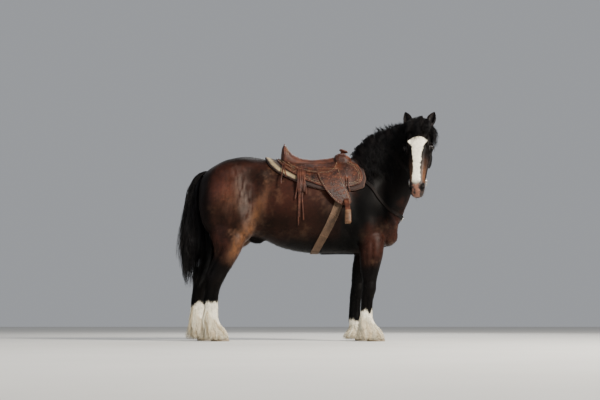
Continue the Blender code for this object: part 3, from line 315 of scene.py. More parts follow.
def relaxed(mesh: bpy.types.Mesh, rounds: int, share: Points | None = None) -> None:
    """Smooths a mesh without shrinking it.

    Each round moves every point towards the mean of its neighbours by 0.55 and then away from it
    by 0.57.

    Args:
        mesh: The mesh, changed in place.
        rounds: How many rounds.
        share: How much of it each point takes, or None for all of it.
    """
    points = read_points(mesh)
    start = points.copy()
    ends = np.empty(len(mesh.edges) * 2, np.int32)
    mesh.edges.foreach_get("vertices", ends)
    a, b = ends.reshape(-1, 2).T
    count = len(points)
    degree = np.maximum(np.bincount(a, minlength=count) + np.bincount(b, minlength=count), 1)[:, None]
    for _ in range(rounds):
        for pull in (0.55, -0.57):
            total = np.stack([np.bincount(a, points[b, k], count) + np.bincount(b, points[a, k], count)
                              for k in range(3)], axis=1)
            points += pull * (total / degree - points)
    if share is not None:
        points = blend(start, points, share)
    write_points(mesh, points)


@contextmanager
def edited(mesh: bpy.types.Mesh) -> Iterator[bmesh.types.BMesh]:
    """The mesh opened for edits, which are written back at the end.

    Args:
        mesh: The mesh.

    Returns:
        Its editable form, until the block ends.
    """
    bm = bmesh.new()
    bm.from_mesh(mesh)
    yield bm
    bm.to_mesh(mesh)
    bm.free()


def joined(name: str, meshes: list[bpy.types.Mesh]) -> bpy.types.Mesh:
    """One mesh out of several, which are removed.

    Args:
        name: The new mesh's name.
        meshes: Those that it is made of.

    Returns:
        The mesh.
    """
    made = bpy.data.meshes.new(name)
    with edited(made) as whole:
        for mesh in meshes:
            whole.from_mesh(mesh)
    for mesh in meshes:
        bpy.data.meshes.remove(mesh)
    made.shade_smooth()
    return made


def fused(name: str, meshes: list[bpy.types.Mesh], voxel: float, rounds: int) -> bpy.types.Mesh:
    """Overlapping closed shapes as one smooth skin, by a remesh of this voxel size.

    Args:
        name: The skin's name.
        meshes: The shapes.
        voxel: The remesh's size in metres.
        rounds: How many rounds of smoothing follow.

    Returns:
        The skin.
    """
    thing = linked(name, joined(name, meshes))
    step = thing.modifiers.new("fuse", "REMESH")
    step.mode, step.voxel_size, step.adaptivity = "VOXEL", voxel, 0.0
    mesh = applied(thing)
    bpy.data.objects.remove(thing, do_unlink=True)
    relaxed(mesh, rounds)
    return mesh


def tree_of(*meshes: bpy.types.Mesh) -> BVHTree:
    """A tree of the meshes' faces, for finding points on them.

    Args:
        *meshes: The meshes.

    Returns:
        The tree.
    """
    bm = bmesh.new()
    for mesh in meshes:
        bm.from_mesh(mesh)
    tree = BVHTree.FromBMesh(bm)
    bm.free()
    return tree


def nearest(tree: BVHTree, points: Points) -> tuple[Points, Points, Points]:
    """For each point the nearest place on the surface, its normal and the distance.

    Args:
        tree: The surface.
        points: Places, (..., 3).

    Returns:
        Places and normals like the points, and one distance for each.
    """
    found = [tree.find_nearest(Vector(p)) for p in points.reshape(-1, 3)]
    shape = points.shape
    places = np.array([f[0] for f in found]).reshape(shape)
    normals = np.array([f[1] for f in found]).reshape(shape)
    return places, normals, np.array([f[3] for f in found]).reshape(shape[:-1])


def ring_faces(rings: int, around: int, closed: bool = False) -> Points:
    """Quads between neighbouring rings of points; the last ring meets the first if closed.

    Args:
        rings: How many rings.
        around: The points of a ring.
        closed: Whether the rings form a loop.

    Returns:
        Corner numbers, (m, 4).
    """
    i, j = np.meshgrid(np.arange(rings if closed else rings - 1), np.arange(around), indexing="ij")
    a, b = i * around + j, i * around + (j + 1) % around
    c, d = (i + 1) % rings * around + (j + 1) % around, (i + 1) % rings * around + j
    return np.stack([a, b, c, d], axis=-1).reshape(-1, 4)


def tube_mesh(name: str, rings: Points, closed: bool = False) -> bpy.types.Mesh:
    """A closed mesh over an array of rings, shaped (rings, around, 3), its ends closed by fans.

    Args:
        name: The mesh's name.
        rings: Places, (rings, around, 3).
        closed: Whether the rings form a loop.

    Returns:
        The mesh.
    """
    count, around = rings.shape[:2]
    points = rings.reshape(-1, 3)
    quads = ring_faces(count, around, closed)
    tris = np.concatenate([quads[:, [0, 1, 2]], quads[:, [0, 2, 3]]])
    if not closed:
        j = np.arange(around)
        k = (j + 1) % around
        low, last = count * around, (count - 1) * around
        points = np.concatenate([points, rings[0].mean(0)[None], rings[-1].mean(0)[None]])
        caps = [np.stack([j * 0 + low, k, j], 1), np.stack([j * 0 + low + 1, last + j, last + k], 1)]
        tris = np.concatenate([tris, *caps])
    mesh = fast_mesh(name, points, tris)
    faced_out(mesh)
    return mesh


def shell_mesh(name: str, outer: Points, inner: Points) -> bpy.types.Mesh:
    """A closed sheet between two grids of points of the same shape, its rims joined.

    Args:
        name: The mesh's name.
        outer: The outer side, (rows, columns, 3).
        inner: The inner side.

    Returns:
        The mesh.
    """
    rows, columns = outer.shape[:2]
    points = np.concatenate([outer.reshape(-1, 3), inner.reshape(-1, 3)])
    below = rows * columns
    i, j = np.meshgrid(np.arange(rows - 1), np.arange(columns - 1), indexing="ij")
    a = (i * columns + j).ravel()
    top = np.stack([a, a + 1, a + columns + 1, a + columns], axis=1)
    rim = np.concatenate([np.arange(columns), np.arange(1, rows) * columns + columns - 1,
                          (rows - 1) * columns + np.arange(columns - 2, -1, -1), np.arange(rows - 2, 0, -1) * columns])
    ahead = np.roll(rim, -1)
    edge = np.stack([rim, rim + below, ahead + below, ahead], axis=1)
    mesh = fast_mesh(name, points, np.concatenate([top, top[:, ::-1] + below, edge]))
    faced_out(mesh)
    return mesh


def faced_out(mesh: bpy.types.Mesh) -> None:
    """Turns the faces of a closed mesh outwards."""
    with edited(mesh) as bm:
        bmesh.ops.recalc_face_normals(bm, faces=bm.faces)


def even_rows(rows: Points, count: int) -> Points:
    """Rows of numbers read at even steps from a monotone cubic through the given rows.

    The parameter is the distance between the middles of the sections. Between two rows the value
    is the Hermite cubic of their values and slopes, and a slope is the harmonic mean of the
    secants beside it, or 0 where they differ in sign.

    Args:
        rows: Two points and other numbers, (n, 6 or more).
        count: How many rows to give.

    Returns:
        The rows at even steps.
    """
    rows = np.asarray(rows, float)
    middle = (rows[:, 0:3] + rows[:, 3:6]) / 2
    at = np.r_[0.0, np.cumsum(np.linalg.norm(np.diff(middle, axis=0), axis=1) + 1e-6)]
    step = np.diff(at)[:, None]
    secant = np.diff(rows, axis=0) / step
    slope = np.empty_like(rows)
    slope[0], slope[-1] = secant[0], secant[-1]
    before, after = secant[:-1], secant[1:]
    mean = 2 * before * after / np.where(np.abs(before + after) < 1e-12, 1.0, before + after)
    slope[1:-1] = np.where(before * after > 0, mean, 0.0)
    where = np.linspace(0, at[-1], count)
    span = np.clip(np.searchsorted(at, where, side="right") - 1, 0, len(at) - 2)
    wide = (at[span + 1] - at[span])[:, None]
    t = (where[:, None] - at[span][:, None]) / wide
    return ((2 * t**3 - 3 * t**2 + 1) * rows[span] + (t**3 - 2 * t**2 + t) * wide * slope[span]
            + (3 * t**2 - 2 * t**3) * rows[span + 1] + (t**3 - t**2) * wide * slope[span + 1])


def section_rings(sections: Points, around: int, along: int) -> Points:
    """Rings of a loft.

    A section is its front or top point, its back or bottom point, its half width, the level where
    it is widest and the power of its superellipse: across is the cosine to the power 2/p times the
    half width, and up and down are the sine to that power times the reach each way.

    Args:
        sections: One row of nine numbers for each section.
        around: The points of a ring.
        along: How many rings.

    Returns:
        Places, (along, around, 3).
    """
    rows = even_rows(sections, along)
    front, back = rows[:, 0:3], rows[:, 3:6]
    width, level, power = rows[:, 6], rows[:, 7:8], rows[:, 8:9]
    core = back + (front - back) * level
    heading = np.gradient((front + back) / 2, axis=0)
    side = unit(np.cross(front - back, heading))
    angle = np.arange(around) * 2 * math.pi / around
    across = np.sign(np.cos(angle)) * np.abs(np.cos(angle)) ** (2 / power)
    upward = np.clip(np.sin(angle), 0, 1) ** (2 / power)
    downward = np.clip(-np.sin(angle), 0, 1) ** (2 / power)
    return (core[:, None] + side[:, None] * (across * width[:, None])[:, :, None]
            + (front - core)[:, None] * upward[:, :, None] + (back - core)[:, None] * downward[:, :, None])


def loft(name: str, sections: Points, around: int, along: int) -> bpy.types.Mesh:
    """A closed loft through unlike sections."""
    return tube_mesh(name, section_rings(sections, around, along))


def ellipsoid(centre: tuple, radii: tuple, turn: tuple = (0, 0, 0), at: Matrix | None = None,
              fine: int = 24) -> bpy.types.Mesh:
    """An ellipsoid: its centre, radii and turn in degrees, in a frame of its own.

    Args:
        centre: Its middle in the frame.
        radii: Along its three axes.
        turn: Round its axes, in degrees.
        at: The frame, or None for the maker's.
        fine: The points of a ring.

    Returns:
        The mesh.
    """
    spin = Matrix.Translation(Vector(centre))
    for axis, degrees in zip("XYZ", turn):
        spin = spin @ Matrix.Rotation(math.radians(degrees), 4, axis)
    place = (at or Matrix.Identity(4)) @ spin @ Matrix.Diagonal((*radii, 1.0))
    mesh = bpy.data.meshes.new("ellipsoid")
    with edited(mesh) as bm:
        bmesh.ops.create_uvsphere(bm, u_segments=fine, v_segments=fine // 2 + 2, radius=1, matrix=place)
        bmesh.ops.recalc_face_normals(bm, faces=bm.faces)
    # Blender gives the sphere's faces in another order on each run, so they are put in one order here
    points, faces = read_points(mesh).tolist(), sorted(tuple(face.vertices) for face in mesh.polygons)
    mesh.clear_geometry()
    mesh.from_pydata(points, [], faces)
    mesh.shade_smooth()
    return mesh


def carried(path: Points, normals: Points, profile: Points, closed: bool = False,
            scale: Points | None = None) -> bpy.types.Mesh:
    """A profile carried along a path.

    Each ring is the path's point plus the profile's first number times the side direction and its
    second number times the normal, where the side is the heading crossed with the normal.

    Args:
        path: Centre line, (n, 3).
        normals: Outward directions along it, (n, 3).
        profile: The outline's points, (m, 2), side and out.
        closed: Whether the path is a loop.
        scale: The profile's size at each point, or None for 1.

    Returns:
        A closed mesh.
    """
    if closed:
        heading = unit(np.roll(path, -1, 0) - np.roll(path, 1, 0))
    else:
        heading = unit(np.gradient(path, axis=0))
    side = unit(np.cross(heading, normals))
    out = np.cross(side, heading)
    size = np.ones(len(path)) if scale is None else scale
    rings = (path[:, None] + side[:, None] * (profile[:, 0] * size[:, None])[..., None]
             + out[:, None] * (profile[:, 1] * size[:, None])[..., None])
    return tube_mesh("carried", rings, closed)


def curve_through(points: Points, count: int, closed: bool = False) -> Points:
    """Even points on a Catmull-Rom spline through the given ones.

    Args:
        points: Places, (n, 3) or (n, 2).
        count: How many points to give.
        closed: Whether it is a loop.

    Returns:
        The even points.
    """
    points = np.asarray([tuple(p) for p in points], float)
    padded = (np.concatenate([points[-1:], points, points[:2]]) if closed
              else np.concatenate([2 * points[:1] - points[1:2], points, 2 * points[-1:] - points[-2:-1]]))
    spans = len(padded) - 3
    t = np.linspace(0, spans, spans * 24 + 1)
    i = np.minimum(t.astype(int), spans - 1)
    f = (t - i)[:, None]
    a, b, c, d = padded[i], padded[i + 1], padded[i + 2], padded[i + 3]
    fine = 0.5 * (2 * b + (c - a) * f + (2 * a - 5 * b + 4 * c - d) * f**2 + (3 * b - 3 * c + d - a) * f**3)
    along = np.r_[0, np.cumsum(np.linalg.norm(np.diff(fine, axis=0), axis=1))]
    where = np.linspace(0, along[-1], count + (1 if closed else 0))[:count]
    return np.stack([np.interp(where, along, fine[:, k]) for k in range(3)], axis=1)


FLAT_STRAP = np.array([(-1, 0), (-1, 0.55), (-0.90, 0.92), (-0.5, 1), (0.5, 1), (0.90, 0.92), (1, 0.55), (1, 0)])


def cord(path: Points, normals: Points, radius: float, sides: int = 10, closed: bool = False,
         scale: Points | None = None) -> bpy.types.Mesh:
    """A round profile of so many sides carried along a path."""
    turn = np.arange(sides) * 2 * math.pi / sides
    return carried(path, normals, np.stack([np.cos(turn), np.sin(turn)], axis=1) * radius, closed, scale)


def hoop(middle: Points, one: Points, two: Points, radius: Points | float, count: int) -> Points:
    """Points on a circle that turns from direction one towards direction two."""
    turn = np.arange(count) * 2 * math.pi / count
    return middle + np.reshape(radius, (-1, 1)) * (np.cos(turn)[:, None] * one + np.sin(turn)[:, None] * two)


class Piece:
    """Places finished meshes in the scene as pieces of the model."""

    @staticmethod
    def place(name: str, mesh: bpy.types.Mesh, material: bpy.types.Material, slot: str,
              replaced: tuple[str, ...] = ()) -> bpy.types.Object:
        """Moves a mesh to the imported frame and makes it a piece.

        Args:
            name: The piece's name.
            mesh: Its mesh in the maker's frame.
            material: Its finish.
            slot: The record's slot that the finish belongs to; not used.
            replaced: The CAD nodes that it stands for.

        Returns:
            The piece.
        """
        mesh.transform(Matrix.Translation(Vector(-SHIFT)))
        mesh.materials.clear()
        mesh.materials.append(material)
        thing = linked(name, mesh)
        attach(thing, "root")
        if replaced:
            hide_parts(*replaced)
        LOG.info("%s: %d faces", name, len(mesh.polygons))
        return thing


# Finishes

def plug(tree: bpy.types.NodeTree, made: bpy.types.Node, **links: object) -> None:
    """Links or sets a node's inputs.

    Args:
        tree: The node tree.
        made: The node.
        **links: Inputs by name, with underscores for spaces, or by an underscore and a number: a
            socket is linked, and any other value is set.
    """
    for key, value in links.items():
        socket = made.inputs[int(key[1:])] if key[0] == "_" else made.inputs[key.replace("_", " ")]
        if isinstance(value, bpy.types.NodeSocket):
            tree.links.new(value, socket)
        else:
            socket.default_value = value


def node(tree: bpy.types.NodeTree, kind: str, settings: dict | None = None, **links: object) -> bpy.types.Node:
    """Adds a shader node.

    Args:
        tree: The node tree.
        kind: The node's type without its ShaderNode prefix.
        settings: Its own properties.
        **links: Its inputs, as plug takes them.

    Returns:
        The node.
    """
    made = tree.nodes.new("ShaderNode" + kind)
    for key, value in (settings or {}).items():
        setattr(made, key, value)
    plug(tree, made, **links)
    return made


def ramp(tree: bpy.types.NodeTree, factor: Socket, stops: list[tuple[float, object]]) -> Socket:
    """A colour ramp's output through stops of place and colour or grey.

    Args:
        tree: The node tree.
        factor: What it reads.
        stops: Places with a hex colour or a grey.

    Returns:
        The colour.
    """
    made = node(tree, "ValToRGB", None, Fac=factor)
    while len(made.color_ramp.elements) < len(stops):
        made.color_ramp.elements.new(0.5)
    for element, (at, value) in zip(made.color_ramp.elements, stops):
        element.position = at
        colour = linear(value) if isinstance(value, str) else (value,) * 3
        element.color = (*colour, 1.0)
    return made.outputs["Color"]


def clouds(tree: bpy.types.NodeTree, place: Socket, scale: float, detail: float, roughness: float = 0.5) -> Socket:
    """A noise texture's value."""
    return node(tree, "TexNoise", None, Vector=place, Scale=scale, Detail=detail, Roughness=roughness).outputs["Fac"]


def reckoned(tree: bpy.types.NodeTree, operation: str, *values: object) -> Socket:
    """What a Math node makes of sockets or numbers."""
    inputs = {f"_{k}": value for k, value in enumerate(values)}
    return node(tree, "Math", {"operation": operation}, **inputs).outputs["Value"]


def times(tree: bpy.types.NodeTree, base: Socket, by: Socket, share: float = 1.0) -> Socket:
    """A colour multiplied by another, by a share."""
    return node(tree, "MixRGB", {"blend_type": "MULTIPLY"}, Fac=share, Color1=base, Color2=by).outputs["Color"]


def painted_colour(tree: bpy.types.NodeTree) -> Socket:
    """The colour that paint() stored on the mesh."""
    return node(tree, "Attribute", {"attribute_name": "coat"}).outputs["Color"]


def raised(tree: bpy.types.NodeTree, shader: bpy.types.Node, height: Socket, strength: float, distance: float) -> None:
    """Gives the surface relief from a height."""
    relief = node(tree, "Bump", None, Strength=strength, Distance=distance, Height=height)
    plug(tree, shader, Normal=relief.outputs["Normal"])


def fresh(name: str) -> tuple[bpy.types.Material, bpy.types.NodeTree, bpy.types.Node]:
    """A new material, its tree and its Principled shader.

    Args:
        name: The material's name.

    Returns:
        The material, its tree and its shader.
    """
    made = bpy.data.materials.new(name)
    made.use_nodes = True
    return made, made.node_tree, made.node_tree.nodes["Principled BSDF"]


def own_place(tree: bpy.types.NodeTree, scale: tuple[float, float, float] = (1, 1, 1)) -> Socket:
    """Object coordinates, stretched by a scale along each axis."""
    place = node(tree, "TexCoord")
    return node(tree, "Mapping", None, Vector=place.outputs["Object"], Scale=scale).outputs["Vector"]


@dataclass(frozen=True)
class HairCoat:
    """Hair on skin: short or long, its colour from the coat attribute.

    The eye sees a soft gloss along the hair, less of it on black than on bay hair, fine streaks of
    lighter and darker hair, and a nap that breaks up the light. Streaks are drawn 3 mm wide,
    coarser than hair, so that they show.
    """

    name: str
    roughness: float = 0.50
    streak: float = 0.30
    bump: float = 0.40
    sheen: float = 0.02
    gloss: float = 0.30
    stretch: tuple[float, float, float] = (90.0, 330.0, 330.0)

    def build(self) -> bpy.types.Material:
        """Makes the material.

        Returns:
            The material.
        """
        made, tree, shader = fresh(self.name)
        base = painted_colour(tree)
        streaks = clouds(tree, own_place(tree, self.stretch), 1.0, 3.0)
        patches = clouds(tree, own_place(tree), 26.0, 4.0, 0.65)
        level = ramp(tree, streaks, [(0.30, 1 - self.streak), (0.70, 1 + self.streak)])
        tone = ramp(tree, patches, [(0.30, 1 - self.streak * 0.8), (0.72, 1 + self.streak * 0.6)])
        light = node(tree, "RGBToBW", None, Color=base).outputs["Val"]
        gloss = ramp(tree, light, [(0.0, self.gloss * 0.16), (0.004, self.gloss * 0.25), (0.03, self.gloss)])
        plug(tree, shader, Base_Color=times(tree, times(tree, base, level), tone), Specular_IOR_Level=gloss,
             Roughness=self.roughness, Sheen_Weight=self.sheen, Sheen_Roughness=0.4)
        if self.bump:
            raised(tree, shader, streaks, self.bump, 0.002)
        return made


@dataclass(frozen=True)
class Leather:
    """Vegetable-tanned cowhide, dyed, oiled and stamped.

    The eye sees a fine pebbled grain of about 1.5 mm, darker oil in the hollows, lighter wear on
    the raised parts, and on carved pieces a shallow stamped leaf pattern of about 20 mm.
    """

    name: str
    dark: str
    middle: str
    light: str
    roughness: float = 0.42
    carved: float = 0.0
    gloss: float = 0.26

    def build(self) -> bpy.types.Material:
        """Makes the material.

        Returns:
            The material.
        """
        made, tree, shader = fresh(self.name)
        place = own_place(tree)
        height = node(tree, "TexVoronoi", {"feature": "F1"}, Vector=place, Scale=650.0).outputs["Distance"]
        wear = clouds(tree, place, 14.0, 6.0, 0.62)
        base = ramp(tree, wear, [(0.28, self.dark), (0.52, self.middle), (0.78, self.light)])
        if self.carved:
            bend = node(tree, "TexNoise", None, Vector=place, Scale=22.0, Detail=2.0)
            bent = node(tree, "MixRGB", {"blend_type": "ADD"}, Fac=0.035, Color1=place,
                        Color2=bend.outputs["Color"]).outputs["Color"]
            leaves = node(tree, "TexVoronoi", {"feature": "SMOOTH_F1"}, Vector=bent, Scale=44.0, Smoothness=0.25)
            veins = node(tree, "TexWave", {"wave_type": "RINGS"}, Vector=bent, Scale=22.0, Distortion=9.0, Detail=1.0)
            cut = ramp(tree, leaves.outputs["Distance"], [(0.30, 1.0), (0.50, 0.15), (0.62, 0.0)])
            sunk = reckoned(tree, "MULTIPLY", cut, veins.outputs["Fac"])
            base = times(tree, base, ramp(tree, sunk, [(0.0, 0.42), (0.5, 1.0)]), 0.85)
            height = reckoned(tree, "MULTIPLY_ADD", sunk, 6.0 * self.carved, height)
        raised(tree, shader, height, 0.55, 0.0008)
        gloss = ramp(tree, wear, [(0.3, self.roughness - 0.08), (0.7, self.roughness + 0.14)])
        plug(tree, shader, Base_Color=base, Roughness=gloss, Specular_IOR_Level=self.gloss)
        return made


@dataclass(frozen=True)
class WovenCloth:
    """Heavy woven or felted wool, and mohair cord: two tones of thread that cross.

    The eye sees a matt, fibrous surface with ribs, soft light at its edges and some soiling. A
    painted cloth's tones are multiplied by the colour that is painted on its mesh.
    """

    name: str
    dark: str
    light: str
    thread: float = 0.003
    painted: bool = False

    def build(self) -> bpy.types.Material:
        """Makes the material.

        Returns:
            The material.
        """
        made, tree, shader = fresh(self.name)
        place = own_place(tree)
        warp, weft = (node(tree, "TexWave", {"bands_direction": axis}, Vector=place, Scale=math.pi / 10 / self.thread,
                           Distortion=1.2, Detail=2.0).outputs["Fac"] for axis in "XZ")
        rib = reckoned(tree, "MULTIPLY", warp, weft)
        tone = reckoned(tree, "MULTIPLY_ADD", rib, 0.35, clouds(tree, place, 9.0, 6.0, 0.7))
        base = ramp(tree, tone, [(0.36, self.dark), (0.72, self.light)])
        if self.painted:
            base = times(tree, base, painted_colour(tree))
        raised(tree, shader, rib, 0.6, 0.0015)
        plug(tree, shader, Base_Color=base, Roughness=0.92, Sheen_Weight=0.08)
        return made


@dataclass(frozen=True)
class Horn:
    """Hoof horn: pale grey-tan, with fine grooves down it and growth rings across it, matt to waxy."""

    name: str

    def build(self) -> bpy.types.Material:
        """Makes the material.

        Returns:
            The material.
        """
        made, tree, shader = fresh(self.name)
        lines = clouds(tree, own_place(tree, (260.0, 260.0, 14.0)), 1.0, 3.0)
        rings = clouds(tree, own_place(tree, (6.0, 6.0, 140.0)), 1.0, 2.0)
        half = reckoned(tree, "MULTIPLY", reckoned(tree, "ADD", lines, rings), 0.5)
        base = ramp(tree, half, [(0.34, "#4a3f35"), (0.50, "#8a7a66"), (0.66, "#b3a38a")])
        raised(tree, shader, half, 0.5, 0.0015)
        plug(tree, shader, Base_Color=base, Roughness=0.48)
        return made


@dataclass(frozen=True)
class Metal:
    """Cast or rolled metal, polished and then worn: fine scratches and finger marks in its gloss."""

    name: str
    colour: str
    roughness: float = 0.24

    def build(self) -> bpy.types.Material:
        """Makes the material.

        Returns:
            The material.
        """
        made, tree, shader = fresh(self.name)
        marks = clouds(tree, own_place(tree), 120.0, 5.0, 0.7)
        gloss = ramp(tree, marks, [(0.3, self.roughness * 0.7), (0.7, self.roughness * 1.6)])
        plug(tree, shader, Base_Color=(*linear(self.colour), 1), Metallic=1.0, Roughness=gloss)
        return made


@dataclass(frozen=True)
class WetEye:
    """The clear wet front of an eye over a dark brown iris and a wide dark pupil."""

    name: str

    def build(self) -> bpy.types.Material:
        """Makes the material.

        Returns:
            The material.
        """
        made, tree, shader = fresh(self.name)
        tone = ramp(tree, clouds(tree, own_place(tree), 900.0, 3.0), [(0.3, 0.7), (0.7, 1.2)])
        plug(tree, shader, Base_Color=times(tree, painted_colour(tree), tone), Roughness=0.10, Coat_Weight=1.0,
             Coat_Roughness=0.02, Coat_IOR=1.38)
        return made


@dataclass(frozen=True)
class StudioPaint:
    """Matt pale paint on the studio's floor, a little uneven from the roller."""

    name: str = "matt_studio_paint"
    dark: str = "#d4d2cd"
    colour: str = "#d9d7d2"

    def build(self) -> bpy.types.Material:
        """Makes the material.

        Returns:
            The material.
        """
        made, tree, shader = fresh(self.name)
        base = ramp(tree, clouds(tree, own_place(tree), 1.5, 4.0), [(0.3, self.dark), (0.7, self.colour)])
        plug(tree, shader, Base_Color=base, Roughness=0.9)
        return made


SHORT_TUFTS = HairCoat("short_hair_tufts", 0.50, 0.15, 0.0, 0.02, 0.30)
LONG_HAIR = HairCoat("long_black_hair", 0.45, 0.18, 0.0, 0.0, 0.60)
WHITE_HAIR = HairCoat("silky_white_feather_hair", 0.58, 0.12, 0.0, 0.10, 0.35)
TOOLED = Leather("stamped_russet_saddle_leather", "#180b07", "#472213", "#754124", 0.50, 0.7)
SEAT_LEATHER = Leather("worn_russet_seat_leather", "#200f09", "#452317", "#653b2a", 0.54)
SMOOTH_LEATHER = Leather("smooth_russet_leather", "#1d0e09", "#472518", "#6c402c", 0.46)
PALE_LEATHER = Leather("pale_tan_harness_leather", "#3b271a", "#6a4b35", "#937559", 0.55)
STRAP_LEATHER = Leather("dark_brown_strap_leather", "#060403", "#0f0907", "#1d120e", 0.60, gloss=0.12)
BRIDLE_LEATHER = Leather("dark_bridle_leather", "#080605", "#120c09", "#221812", 0.50, gloss=0.16)
STEEL = Metal("polished_nickel_steel", "#c9c7c2")


def waxed_thread(use: str) -> bpy.types.Material:
    """Pale waxed linen thread of 1 mm."""
    return WovenCloth(f"waxed_{use}_thread", "#a08a68", "#cdb88f", 0.001).build()


# The animal

def leg_shift(z: float, full: float, top: float, bottom: float) -> float:
    """How far a leg is carried back at a height: none at its top, all of it at its bottom."""
    t = min(1.0, max(0.0, (top - z) / (top - bottom)))
    return full * t * t * (3 - 2 * t)


def hoof_middle(leg: Leg, side: float) -> tuple[float, float]:
    """X and Y of the middle of a hoof.

    Args:
        leg: Which leg.
        side: -1 for right, 1 for left.

    Returns:
        X and Y.
    """
    x, y = (0.795, LEG_SPREAD) if leg is Leg.FORE else (-0.676, LEG_SPREAD - 0.004)
    shift = (FAR_FORE_SHIFT if leg is Leg.FORE else FAR_HIND_SHIFT) if side > 0 else 0.0
    return x + shift, y * side


